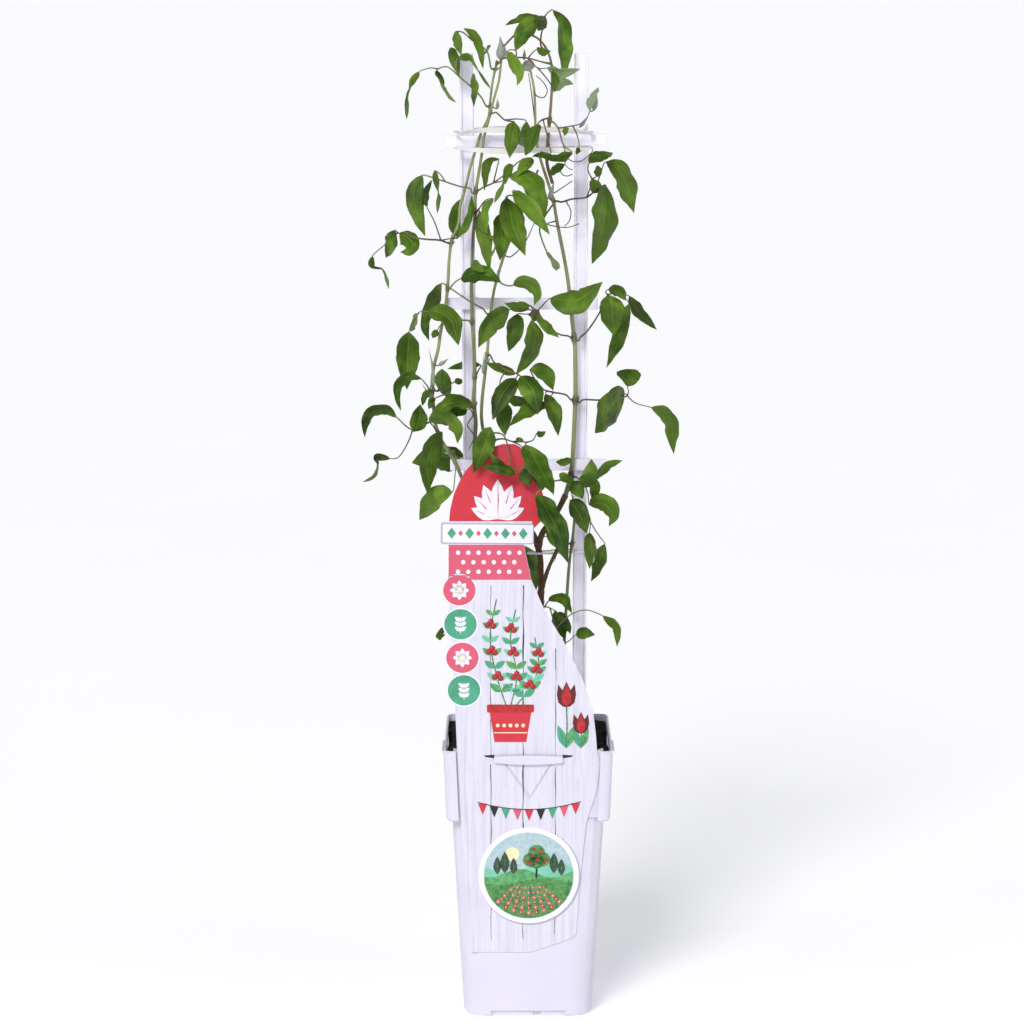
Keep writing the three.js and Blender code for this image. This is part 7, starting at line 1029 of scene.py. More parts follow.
def stem_piece(name, number):
    spec = STEMS[name]
    r0, r1 = spec[0]
    joints = [data[0] for data in LEAVES.values() if data[1] == name]
    curve, run = resample(spec[1], 1.8)
    where = []
    for at in joints:
        d = np.linalg.norm(curve - np.asarray(at), axis=1)
        where.append((run[d.argmin()], at))
    top = curve[:, 2].max()
    skin = Skin()
    phase = number * 1.7

    def radius(s, length):
        r = 0.92 * (r0 + (r1 * 0.94 - r0) * s / length)
        for w, _ in where:
            r = r * (1 + 0.42 * np.exp(-(((s - w) / 2.1) ** 2)))
        r = r * (1 + 0.045 * noise1(s / 9, number + 5))
        return r

    def relief(s, a):
        return 1 + 0.08 * np.cos(6 * (a + 0.004 * s + phase)) + 0.03 * np.sin(3 * a + s * 0.09)

    def age(s, p):
        base = np.clip(1.05 - (p[:, 2] - 222) / 410, 0, 1)
        for w, _ in where:
            base = base + 0.45 * np.exp(-(((s - w) / 3.0) ** 2))
        return np.clip(base + 0.12 * noise1(s / 14, number), 0, 1)

    p, s = tube(skin, spec[1], radius, sides=18, step=1.8, relief=relief, age=age)
    rng = np.random.default_rng(50 + number)
    for w, at in where:
        i = int(np.abs(s - w).argmin())
        i = min(max(i, 1), len(p) - 2)
        along = unit(p[i + 1] - p[i - 1])
        lead = LEAVES_OUT.get(tuple(at))
        out = -lead if lead is not None else np.array([rng.normal(), rng.normal(), 0.2])
        out = unit(out - along * (out @ along))
        r = r0 + (r1 - r0) * w / s[-1]
        up = along if along[2] > 0 else -along
        small_bud(skin, p[i] + out * r * 0.9, up, out, rng.uniform(2.6, 4.2), rng.uniform(0.75, 1.05), 1, age=0.22)
        # the other leaf of the pair has gone; no scar is drawn for it
    STEM_CURVES[name] = (p, s)
    brown = name == "stem_brown"
    return skin.piece(name.replace("stem_", "shoot_"), [STEM_BROWN if brown else STEM_GREEN, BUD], "brown_stem" if brown else "green_stem", (name,))


def woody_piece():
    skin = Skin()

    def bark(seed, deep):
        def relief(s, a):
            strips = np.abs(np.sin(3.5 * (a + 0.35 * np.sin(s / 17 + seed)) + 0.8 * noise1(s / 8, seed)))
            fine = np.sin(9 * a + 1.3 * noise1(s / 5, seed + 3)) * 0.35
            lumps = noise1(s / 6.5 + 2 * np.sin(a), seed + 9)
            return 1 + deep * ((1 - strips) * -0.9 + fine * 0.5 + lumps * 0.35)
        return relief

    for k, (r, path) in enumerate(WOODY):
        ends = (0.35, 0.25) if k else (0.6, 0.2)

        def radius(s, length, r=r, ends=ends, k=k):
            v = r[0] + (r[1] - r[0]) * s / length
            v = v * (1 + ends[0] * np.exp(-((s / 6) ** 2)) * (1 if k else 0.4) + ends[1] * np.exp(-(((length - s) / 4) ** 2)))
            return v * (1 + 0.07 * noise1(s / 12, 31 + k))

        tube(skin, path, radius, sides=26, step=1.3, relief=bark(k + 1, 0.17), tint=0.4)
    # lifting strips of old bark
    rng = np.random.default_rng(77)
    for k in range(26):
        r, path = WOODY[0] if k % 4 else WOODY[2 if k % 8 else 3]
        p, s = resample(path, 1.5)
        t, n, b = frames(p)
        lo = rng.uniform(0.05, 0.8)
        i0 = int(lo * len(p))
        i1 = min(len(p) - 2, i0 + int(rng.uniform(8, 22) / 1.5) + 3)
        if i1 - i0 < 4:
            continue
        a = rng.uniform(0, 6.28)
        ii = np.arange(i0, i1)
        rr = r[0] + (r[1] - r[0]) * ii / len(p)
        q = (ii - i0) / (i1 - 1 - i0)
        lift = 0.05 + rng.uniform(0.3, 1.0) * (2 * np.abs(q - rng.uniform(0.3, 0.6))) ** 2.4
        ang = a + 0.5 * np.sin(q * 2 + a)
        d = n[ii] * np.cos(ang)[:, None] + b[ii] * np.sin(ang)[:, None]
        path = p[ii] + d * (rr * 0.96 + lift)[:, None]
        wide = rng.uniform(0.35, 0.8)
        tube(skin, path, lambda s, L, wide=wide: wide * np.sin(math.pi * np.clip(s / L, 0.04, 0.96)) ** 0.5, sides=6, step=1.6,
             relief=lambda s, a: 1 - 0.45 * np.abs(np.sin(a)), dome=0.3, tint=0.9)
    for k, (r, path) in enumerate(ROOTSTOCK):
        tube(skin, path, lambda s, L, r=r: r[0] + (r[1] - r[0]) * s / L, sides=14, step=3, relief=bark(k + 20, 0.10), tint=0.2)
    return skin.piece("woody_base", [BARK], "bark", ("stem_woody_base",))


# ---------------------------------------------------------------- buds, shoots and tendrils
def downy(skin, a, b, r, segments=20, fat=None, mat=0, ridge=0.09, **values):
    a, b = np.asarray(a, float), np.asarray(b, float)
    prof = fat or pchip([0, 0.05, 0.18, 0.32, 0.52, 0.76, 1], [0.42, 0.66, 0.96, 1, 0.74, 0.34, 0.04])
    mid = (a + b) / 2 + np.array([0.03, -0.02, 0]) * np.linalg.norm(b - a)
    tube(skin, [a, mid, b], lambda s, L: r * prof(s / L), sides=segments, step=np.linalg.norm(b - a) / 22, mat=mat,
         relief=lambda s, an: 1 + ridge * np.cos(4 * an) - 0.05 * np.abs(np.cos(2 * an)), **values)


def bud_pieces():
    skin = Skin()
    a, b, r = BUDS["bud_tip"][:3]
    downy(skin, a, b, r * 0.84, age=0.1)
    piece_tip = skin.piece("tip_bud", [BUD, STALK], "bud", ("bud_tip",))
    skin = Skin()
    a, b, r = BUDS["bud_round"][:3]
    downy(skin, a, b, r, fat=pchip([0, 0.06, 0.25, 0.5, 0.76, 0.93, 1], [0.5, 0.86, 1.08, 1.12, 0.98, 0.62, 0.2]), ridge=0.05, age=0.16)
    skin.piece("round_bud", [BUD], "bud", ("bud_round",))
    skin = Skin()
    a, b, r, stalk = BUDS["bud_hanging"]
    # about to open: slender at the stalk, widest near the blunt end, with two sepal tips standing out
    downy(skin, a, b, r, fat=pchip([0, 0.03, 0.16, 0.44, 0.6, 0.77, 0.91, 1], [0.36, 0.42, 0.5, 0.54, 0.8, 1, 0.86, 0.34]), ridge=0.13, age=0.9)
    a, b = np.asarray(a, float), np.asarray(b, float)
    along = unit(b - a)
    across = unit(np.cross(along, [0, 1, 0]))
    for side, out in ((1, 1.5), (-1, 1.9)):
        tips = [b - along * 2.6 + across * side * 1.5, b - along * 0.9 + across * side * 1.75, b + along * (out - 0.7) + across * side * 1.25]
        tube(skin, tips, lambda s, L: 0.95 * (1 - 0.86 * (s / L) ** 1.4), sides=10, step=0.4, mat=0, age=0.7, flush=0.6)
    tube(skin, stalk, lambda s, L: 0.72 - 0.1 * s / L, sides=8, step=1.5, mat=1, flush=0.5)
    skin.piece("hanging_bud", [BUD, STALK], "bud", ("bud_hanging",))
    return piece_tip


def shoots():
    """Young shoots and tendrils; each one starts on the stem or stalk nearest to it."""
    carriers = [p for p, _ in STEM_CURVES.values()]
    for a, _, pets, _ in LEAVES.values():
        carriers += [resample([list(a)] + list(map(list, path)) if i == 0 else path, 1.5)[0] for i, path in enumerate(pets) if len(path) > 1]
    carriers = np.vstack(carriers)

    def carrier(q):
        d = np.linalg.norm((carriers - np.asarray(q, float)) * [1, 0.6, 1], axis=1)
        return carriers[d.argmin()], d.min()

    skin = Skin()
    for a, b, r in SHOOTS:
        a, b = np.asarray(a, float), np.asarray(b, float)
        root, gap = carrier(a)
        downy(skin, a, b, r, segments=12, age=0.3)
        if gap > 0.6:
            bow = (root + a) / 2 + np.array([0, -0.4, -0.12 * gap])
            tube(skin, [root, bow, a, a + (b - a) * 0.12], lambda s, L: 0.62 - 0.1 * s / L, sides=7, step=1.3, mat=1, flush=0.35)
    for path in TENDRILS:
        (r0, d0), (r1, d1) = carrier(path[0]), carrier(path[-1])
        path = [list(q) for q in (path if d0 <= d1 else path[::-1])]
        root, gap = (r0, d0) if d0 <= d1 else (r1, d1)
        if gap > 0.5:
            path = [list(root)] + path
        tube(skin, path, lambda s, L: 0.54 - 0.2 * s / L, sides=7, step=1.3, mat=1, flush=0.8,
             relief=lambda s, a: 1 + 0.08 * np.cos(3 * a + s * 0.3))
    skin.piece("tendrils_and_shoots", [BUD, STALK], "green_stem")


# ---------------------------------------------------------------- soil
def pot_half(z):
    return POT_BASE / 2 + (POT_AT_COLLAR - POT_BASE) / 2 * z / COLLAR_Z


def cavity(z):
    return pot_half(min(z, POT_HEIGHT)) - WALL


def collar(z):
    return (COLLAR_LOW + (RIM - COLLAR_LOW) * (z - COLLAR_Z) / (POT_HEIGHT - COLLAR_Z)) / 2 - WALL


def plan(z, count):
    """The collar's inside at a height: a round-cornered square, set back behind the label recess."""
    q = square_ring(collar(z) - 0.45, CORNER_R - WALL, count)
    r = 15
    c = cavity(z) - 0.45 - r
    dx = np.clip(np.abs(q[:, 0]) - c, 0, r)
    front = c + np.sqrt(r * r - dx * dx)
    back = (np.abs(q[:, 0]) < RECESS_HALF + WALL + 0.4) & (q[:, 1] < -front)
    q[:, 1] = np.where(back, -front, q[:, 1])
    return q


def square_ring(half, corner, count):
    """count points round a square with round corners, evenly by angle."""
    pts = []
    c = half - corner
    for i in range(count):
        a = 2 * math.pi * i / count
        dx, dy = math.cos(a), math.sin(a)
        k = half / max(abs(dx), abs(dy))
        x, y = dx * k, dy * k
        if abs(x) > c and abs(y) > c:
            cx, cy = math.copysign(c, x), math.copysign(c, y)
            # meet the corner's arc along this direction
            bq = dx * cx + dy * cy
            cc = cx * cx + cy * cy - corner * corner
            t = bq + math.sqrt(max(0, bq * bq - cc))
            x, y = dx * t, dy * t
        pts.append((x, y))
    return np.array(pts)


def soil_height(x, y):
    r = np.random.default_rng(12)
    h = 0.0
    for f, amp in ((0.035, 0.8), (0.08, 0.6), (0.17, 0.5), (0.34, 0.42), (0.62, 0.3)):
        for _ in range(3):
            a, ph = r.uniform(0, 6.28), r.uniform(0, 6.28)
            h = h + amp * np.sin((x * math.cos(a) + y * math.sin(a)) * f * 6.28 / 2 + ph) / 3
    return h + 1.3 * np.exp(-(x * x + y * y) / 1000)


def soil_pieces():
    sides, levels = 256, 50
    top = lambda x, y: SOIL_Z + 0.9 + soil_height(x, y) + 1.1 * np.clip(y / 60, 0, 1)
    outer = plan(SOIL_Z, sides)
    rings = []
    for z, inset, corner in ((FLOOR_Z + 0.4, 3.4, 12), (FLOOR_Z + 3.4, 0.45, 15), (80, 0.45, 15), (150, 0.45, 15), (COLLAR_Z + 5, 0.5, 15)):
        q = square_ring(cavity(z) - inset, corner, sides)
        rings.append(np.column_stack([q, np.full(sides, float(z))]))
    # the soil has fallen away just inside the slots in the side walls
    hollow = lambda q: (np.abs(q[:, 0]) > 60.6) & (np.abs(q[:, 1]) < 22.5)
    for z in (COLLAR_Z + 10.2, 195, SOIL_Z - 4):
        q = plan(z, sides)
        rings.append(np.column_stack([q, np.where(hollow(q), min(z, 206.2), float(z))]))
    for k in np.linspace(1, 0.02, levels):
        q = outer * k
        z = top(q[:, 0], q[:, 1]) - 0.9 * np.clip((k - 0.93) / 0.07, 0, 1) ** 2
        rings.append(np.column_stack([q, np.where(hollow(q), 207.2, z)]))
    v = np.vstack(rings)
    ends = np.array([[0, 0, FLOOR_Z + 0.35], [0, 0, float(top(0.0, 0.0))]])
    skin = Skin()
    skin.add(np.vstack([v, ends]), ring_faces(len(rings), sides), 0, None)
    skin.piece("soil_body", [SOIL], "soil", ("potting_soil",))
    # crumbs, fibres and chips of bark on top
    rng = np.random.default_rng(3)
    ico = bmesh.new()
    bmesh.ops.create_icosphere(ico, subdivisions=2, radius=1.0)
    iv = np.array([x.co[:] for x in ico.verts])
    itris = [tuple(x.index for x in f.verts) for f in ico.faces]
    ico.free()
    skin = Skin()
    lim = cavity(SOIL_Z) - 3.2
    for k in range(560):
        x, y = rng.uniform(-lim, lim, 2)
        if abs(x) > lim - 8 and abs(y) > lim - 8 and math.hypot(abs(x) - (lim - 8), abs(y) - (lim - 8)) > 8:
            continue
        size = rng.choice([0.7, 1.1, 1.6, 2.4, 3.2], p=[0.36, 0.3, 0.19, 0.1, 0.05])
        shape = rng.uniform(0.6, 1.3, 3) * size
        chip = rng.random() < 0.16
        if chip:
            shape = np.array([2.4, 0.9, 0.45]) * size * rng.uniform(0.8, 1.2)
        w = iv * (1 + 0.22 * np.sin(iv @ rng.normal(0, 2.6, (3, 3)) + rng.uniform(0, 6, 3)).sum(1, keepdims=True) / 2)
        q = Matrix.Rotation(rng.uniform(0, 6.28), 3, "Z") @ Matrix.Rotation(rng.uniform(-0.5, 0.5), 3, "X") @ Matrix.Rotation(rng.uniform(-0.4, 0.4), 3, "Y")
        w = (w * shape) @ np.array(q).T
        z = float(top(x, y)) + 0.25 * shape[2]
        skin.add(w + [x, y, z], itris, 0, None, tint=float(0.95 if chip else rng.uniform(0, 0.35)))
    skin.piece("soil_crumbs", [SOIL], "soil")


# ---------------------------------------------------------------- moulded plastic
def applied(o):
    """The object's modifiers baked into its mesh."""
    done = bpy.data.meshes.new_from_object(o.evaluated_get(bpy.context.evaluated_depsgraph_get()))
    o.modifiers.clear()
    o.data = done
    done.name = o.name
    return done


def moulded(node, name, material, bevel, angle=32, segments=2):
    src = bpy.data.objects[node]
    mesh = src.data.copy()
    mesh.name = name
    bm = bmesh.new()
    bm.from_mesh(mesh)
    bmesh.ops.remove_doubles(bm, verts=bm.verts, dist=2e-6)
    bmesh.ops.dissolve_limit(bm, angle_limit=math.radians(0.6), verts=bm.verts, edges=bm.edges)
    bm.to_mesh(mesh)
    bm.free()
    mesh.materials.clear()
    mesh.materials.append(material)
    o = bpy.data.objects.new(name, mesh)
    o.matrix_world = src.matrix_world
    SCENE.collection.objects.link(o)
    m = o.modifiers.new("soft_edges", "BEVEL")
    m.width, m.segments, m.limit_method, m.angle_limit = bevel * MM, segments, "ANGLE", math.radians(angle)
    m.use_clamp_overlap = True
    m.harden_normals = False
    m.miter_outer = "MITER_ARC"
    done = applied(o)
    bm = bmesh.new()
    bm.from_mesh(done)
    bmesh.ops.triangulate(bm, faces=[f for f in bm.faces if len(f.verts) > 4])
    bm.to_mesh(done)
    bm.free()
    done.polygons.foreach_set("use_smooth", np.full(len(done.polygons), True))
    done.set_sharp_from_angle(angle=math.radians(38))
    w = o.modifiers.new("flat_faces", "WEIGHTED_NORMAL")
    w.keep_sharp, w.weight = True, 60
    applied(o)
    return settle(o, (node,))


# ---------------------------------------------------------------- elastic bands
def band_piece(name, node, outline, z, height, thick, seed, bend=None, lean_to=0.0, rest=0.0):
    p = np.array([(x, y, 0.0) for x, y in outline])
    closed = np.vstack([p, p[:3]])
    dense = catmull(np.vstack([p[-2:], closed]))(np.linspace(0, 1, 40 * (len(closed) + 1)))
    # one lap of the smooth outline
    seg = 40
    lap = dense[2 * seg : 2 * seg + len(p) * seg] if len(dense) >= (len(p) + 2) * seg else dense
    run = np.concatenate([[0], np.cumsum(np.linalg.norm(np.diff(np.vstack([lap, lap[:1]]), axis=0), axis=1))])
    n = int(run[-1] / 1.6)
    s = np.linspace(0, run[-1], n, endpoint=False)
    loop = np.vstack([lap, lap[:1]])
    c = np.stack([np.interp(s, run, loop[:, k]) for k in range(3)], 1)
    t = unit(np.roll(c, -1, 0) - np.roll(c, 1, 0))
    out = np.stack([t[:, 1], -t[:, 0], np.zeros(n)], 1)
    a = np.arange(14) * 2 * math.pi / 14
    sx = np.sign(np.cos(a)) * np.abs(np.cos(a)) ** 0.45
    sy = np.sign(np.sin(a)) * np.abs(np.sin(a)) ** 0.35
    lift = 0.28 * np.sin(s * 2 * math.pi / run[-1] * 3 + seed) + 0.12 * np.sin(s * 2 * math.pi / run[-1] * 11 + seed)
    tall = height / 2 * (1 + 0.04 * np.sin(s * 2 * math.pi / run[-1] * 7 + seed))
    # the strip turns on its edge as it goes, most where it bends round the uprights
    near = np.clip((np.abs(c[:, 0] + 3.6) - bend[0]) / (bend[1] - bend[0]), 0, 1) ** 1.4 if bend else np.zeros(n)
    lean = 0.10 * np.sin(s * 2 * math.pi / run[-1] * 4 + seed) + lean_to * near
    flat, up = sx[None, :] * thick / 2, sy[None, :] * tall[:, None]
    co, si = np.cos(lean)[:, None], np.sin(lean)[:, None]
    v = c[:, None, :] + out[:, None, :] * (flat * co + up * si)[..., None]
    v[..., 2] = z + lift[:, None] + rest * near[:, None] + up * co - flat * si
    skin = Skin()
    skin.add(v.reshape(-1, 3), ring_faces(n, 14, True), 0, None)
    skin.piece(name, [BAND], "elastic", (node,), sharp=50)


# ---------------------------------------------------------------- label card and its print
def card_y(z):
    d = np.asarray(z, float) - 222.6
    return np.where(d < 0, -64.3 - 0.0545 * d, -64.3 - 0.054 * d + 6.18e-4 * d * d)


SLIT = (-26.3, 26.7, 214.2, 216.9)


def card_piece():
    z0 = [r[0] for r in CARD_ROWS]
    zs = sorted(set([round(z, 2) for z in z0] + [SLIT[2], SLIT[3]] + [round(z, 2) for z in np.arange(z0[0] + 3, z0[-1], 4.0)]))
    zs = [z for i, z in enumerate(zs) if i == 0 or z - zs[i - 1] > 0.25 or z in SLIT[2:]]
    xl = np.interp(zs, z0, [r[1] for r in CARD_ROWS])
    xr = np.interp(zs, z0, [r[2] for r in CARD_ROWS])
    i0, i1 = zs.index(SLIT[2]), zs.index(SLIT[3])
    f1, f2 = (SLIT[0] - xl[i0]) / (xr[i0] - xl[i0]), (SLIT[1] - xl[i0]) / (xr[i0] - xl[i0])
    cols = np.unique(np.round(np.concatenate([np.linspace(0, f1, 6), np.linspace(f1, f2, 11), np.linspace(f2, 1, 6)]), 6))
    c1, c2 = int(np.abs(cols - f1).argmin()), int(np.abs(cols - f2).argmin())
    grid = {}
    verts, faces, uv = [], [], []
    nc, nr = len(cols), len(zs)
    y = card_y(zs)
    for side, off in ((0, -0.3), (1, 0.3)):
        for r in range(nr):
            for c in range(nc):
                x = xl[r] + (xr[r] - xl[r]) * cols[c]
                grid[side, r, c] = len(verts)
                verts.append((x, y[r] + off, zs[r]))
                uv.append((x / 10, zs[r] / 10))
    once = {}
    for r in range(nr - 1):
        for c in range(nc - 1):
            if i0 <= r < i1 and c1 <= c < c2:
                continue
            ring = [(r, c), (r, c + 1), (r + 1, c + 1), (r + 1, c)]
            faces.append(tuple(grid[0, a, b] for a, b in ring))
            faces.append(tuple(grid[1, a, b] for a, b in ring[::-1]))
            for k in range(4):
                a, b = ring[k], ring[(k + 1) % 4]
                if (b, a) in once:
                    del once[(b, a)]
                else:
                    once[(a, b)] = True
    for a, b in once:
        faces.append((grid[0, b[0], b[1]], grid[0, a[0], a[1]], grid[1, a[0], a[1]], grid[1, b[0], b[1]]))
    skin = Skin()
    skin.add(verts, faces, 0, uv)
    skin.piece("label_sheet", [CARD], "label", ("label_card",), sharp=35)


class Print:
    """Flat shapes in the card's own plane (x, z), laid on its curved front as thin closed skins."""

    LEVEL = 0.045

    def __init__(self):
        self.skin = Skin()
        self.inks = list(INK)

    def lay(self, verts, faces, ink, level):
        bm = bmesh.new()
        vs = [bm.verts.new((x, 0, z)) for x, z in verts]
        for f in faces:
            try:
                bm.faces.new([vs[i] for i in f])
            except ValueError:
                pass
        zs = [v[1] for v in verts]
        for z in np.arange(math.ceil(min(zs) / 6) * 6, max(zs), 6):
            bmesh.ops.bisect_plane(bm, geom=bm.verts[:] + bm.edges[:] + bm.faces[:], dist=1e-5, plane_co=(0, 0, float(z)), plane_no=(0, 0, 1))
        bmesh.ops.triangulate(bm, faces=bm.faces[:])
        bm.verts.index_update()
        p = np.array([(v.co.x, v.co.z) for v in bm.verts])
        tris = [tuple(v.index for v in f.verts) for f in bm.faces]
        bm.free()
        if not tris:
            return
        # one winding for the whole sheet
        fixed = []
        for a, b, c in tris:
            area = (p[b][0] - p[a][0]) * (p[c][1] - p[a][1]) - (p[b][1] - p[a][1]) * (p[c][0] - p[a][0])
            if abs(area) < 1e-7:
                continue
            fixed.append((a, b, c) if area > 0 else (a, c, b))
        n = len(p)
        y = card_y(p[:, 1]) - 0.3
        front = np.column_stack([p[:, 0], y - 0.03 - self.LEVEL * level, p[:, 1]])
        back = np.column_stack([p[:, 0], y + 0.03, p[:, 1]])
        faces = list(fixed) + [(a + n, c + n, b + n) for a, b, c in fixed]
        edges = {}
        for f in fixed:
            for k in range(3):
                a, b = f[k], f[(k + 1) % 3]
                if (b, a) in edges:
                    del edges[(b, a)]
                else:
                    edges[(a, b)] = True
        faces += [(b, a, a + n, b + n) for a, b in edges]
        self.skin.add(np.vstack([front, back]), faces, self.inks.index(ink), np.vstack([p, p]) / 10)

    @staticmethod
    def place(pts, at, turn, size=1.0):
        a = math.radians(turn)
        c, s = math.cos(a), math.sin(a)
        return [(at[0] + size * (x * c - z * s), at[1] + size * (x * s + z * c)) for x, z in pts]

    def poly(self, pts, ink, level, at=(0, 0), turn=0, size=1.0):
        pts = self.place(pts, at, turn, size)
        tris = tessellate_polygon([[Vector((x, z, 0)) for x, z in pts]])
        self.lay(pts, [tuple(t) for t in tris], ink, level)

    def strip(self, path, width, ink, level, closed=False, at=(0, 0), turn=0, size=1.0, taper=False):
        path = self.place(path, at, turn, size)
        p = np.asarray(path, float)
        n = len(p)
        d = (np.roll(p, -1, 0) - np.roll(p, 1, 0)) if closed else np.gradient(p, axis=0)
        d = d / np.maximum(np.linalg.norm(d, axis=1, keepdims=True), 1e-9)
        w = np.full(n, width / 2)
        if taper:
            w = w * np.maximum(0.12, np.sin(np.linspace(0.08, math.pi - 0.08, n)))
        side = np.column_stack([-d[:, 1], d[:, 0]]) * w[:, None]
        verts = [tuple(q) for q in p + side] + [tuple(q) for q in p - side]
        faces = [(i, (i + 1) % n, n + (i + 1) % n, n + i) for i in range(n if closed else n - 1)]
        self.lay(verts, faces, ink, level)

    def disc(self, r, ink, level, at, rz=None, count=36, turn=0):
        self.poly([(r * math.cos(a), (rz or r) * math.sin(a)) for a in np.linspace(0, 2 * math.pi, count, endpoint=False)], ink, level, at, turn)

    def rounded(self, w, h, r, ink, level, at, turn=0):
        pts = []
        for cx, cz, a0 in ((w / 2 - r, h / 2 - r, 0), (r - w / 2, h / 2 - r, 90), (r - w / 2, r - h / 2, 180), (w / 2 - r, r - h / 2, 270)):
            pts += [(cx + r * math.cos(math.radians(a0 + k)), cz + r * math.sin(math.radians(a0 + k))) for k in (0, 22.5, 45, 67.5, 90)]
        self.poly(pts, ink, level, at, turn)

    PETAL = [(0, 0), (0.16, 0.10), (0.27, 0.28), (0.33, 0.5), (0.30, 0.72), (0.19, 0.90), (0.05, 0.985), (0, 1), (-0.05, 0.985),
             (-0.19, 0.90), (-0.30, 0.72), (-0.33, 0.5), (-0.27, 0.28), (-0.16, 0.10)]

    def blossom(self, at, r, turn, level, petals=5, ink="petal", dark="petal_dark"):
        for k in range(petals):
            a = turn + 360 / petals * k
            wide = [(x * (1.12 + 0.12 * math.sin(3 * k + at[0])), z * (1 + 0.05 * math.sin(5 * k + at[1]))) for x, z in self.PETAL]
            self.poly(wide, dark, level, at, a, r * 1.02)
            self.poly([(x * 0.93, z * 0.96 + 0.02) for x, z in wide], ink, level + 1, at, a + 1.5, r)
            if r > 6:
                for q in (-0.10, 0.02, 0.13):
                    self.strip([(q * 0.4, 0.12), (q, 0.42), (q * 0.9, 0.76)], r * 0.022, dark, level + 2, at=at, turn=a, size=r, taper=True)
        if r > 6:
            for k in range(14):
                a = 360 / 14 * k + turn + 8
                self.strip([(0, 0.02), (0.01, 0.17), (0.03, 0.30)], r * 0.026, "cream", level + 3, at=at, turn=a, size=r)
        self.disc(r * 0.12, "cream", level + 4, at, count=14)

    def leaf(self, at, length, turn, level, ink="mint", rib="mint_dark", wide=0.36):
        side = [(0.02, 0.0), (0.55, 0.16), (0.95, 0.36), (0.88, 0.58), (0.5, 0.82), (0.0, 1.0)]
        pts = [(x * wide / 1.9, z) for x, z in side] + [(-x * wide / 1.9, z) for x, z in side[-2::-1]]
        self.poly(pts, ink, level, at, turn, length)
        if length > 5:
            self.strip([(0, 0.02), (0.015, 0.5), (0, 0.9)], length * 0.035, rib, level + 1, at=at, turn=turn, size=length, taper=True)


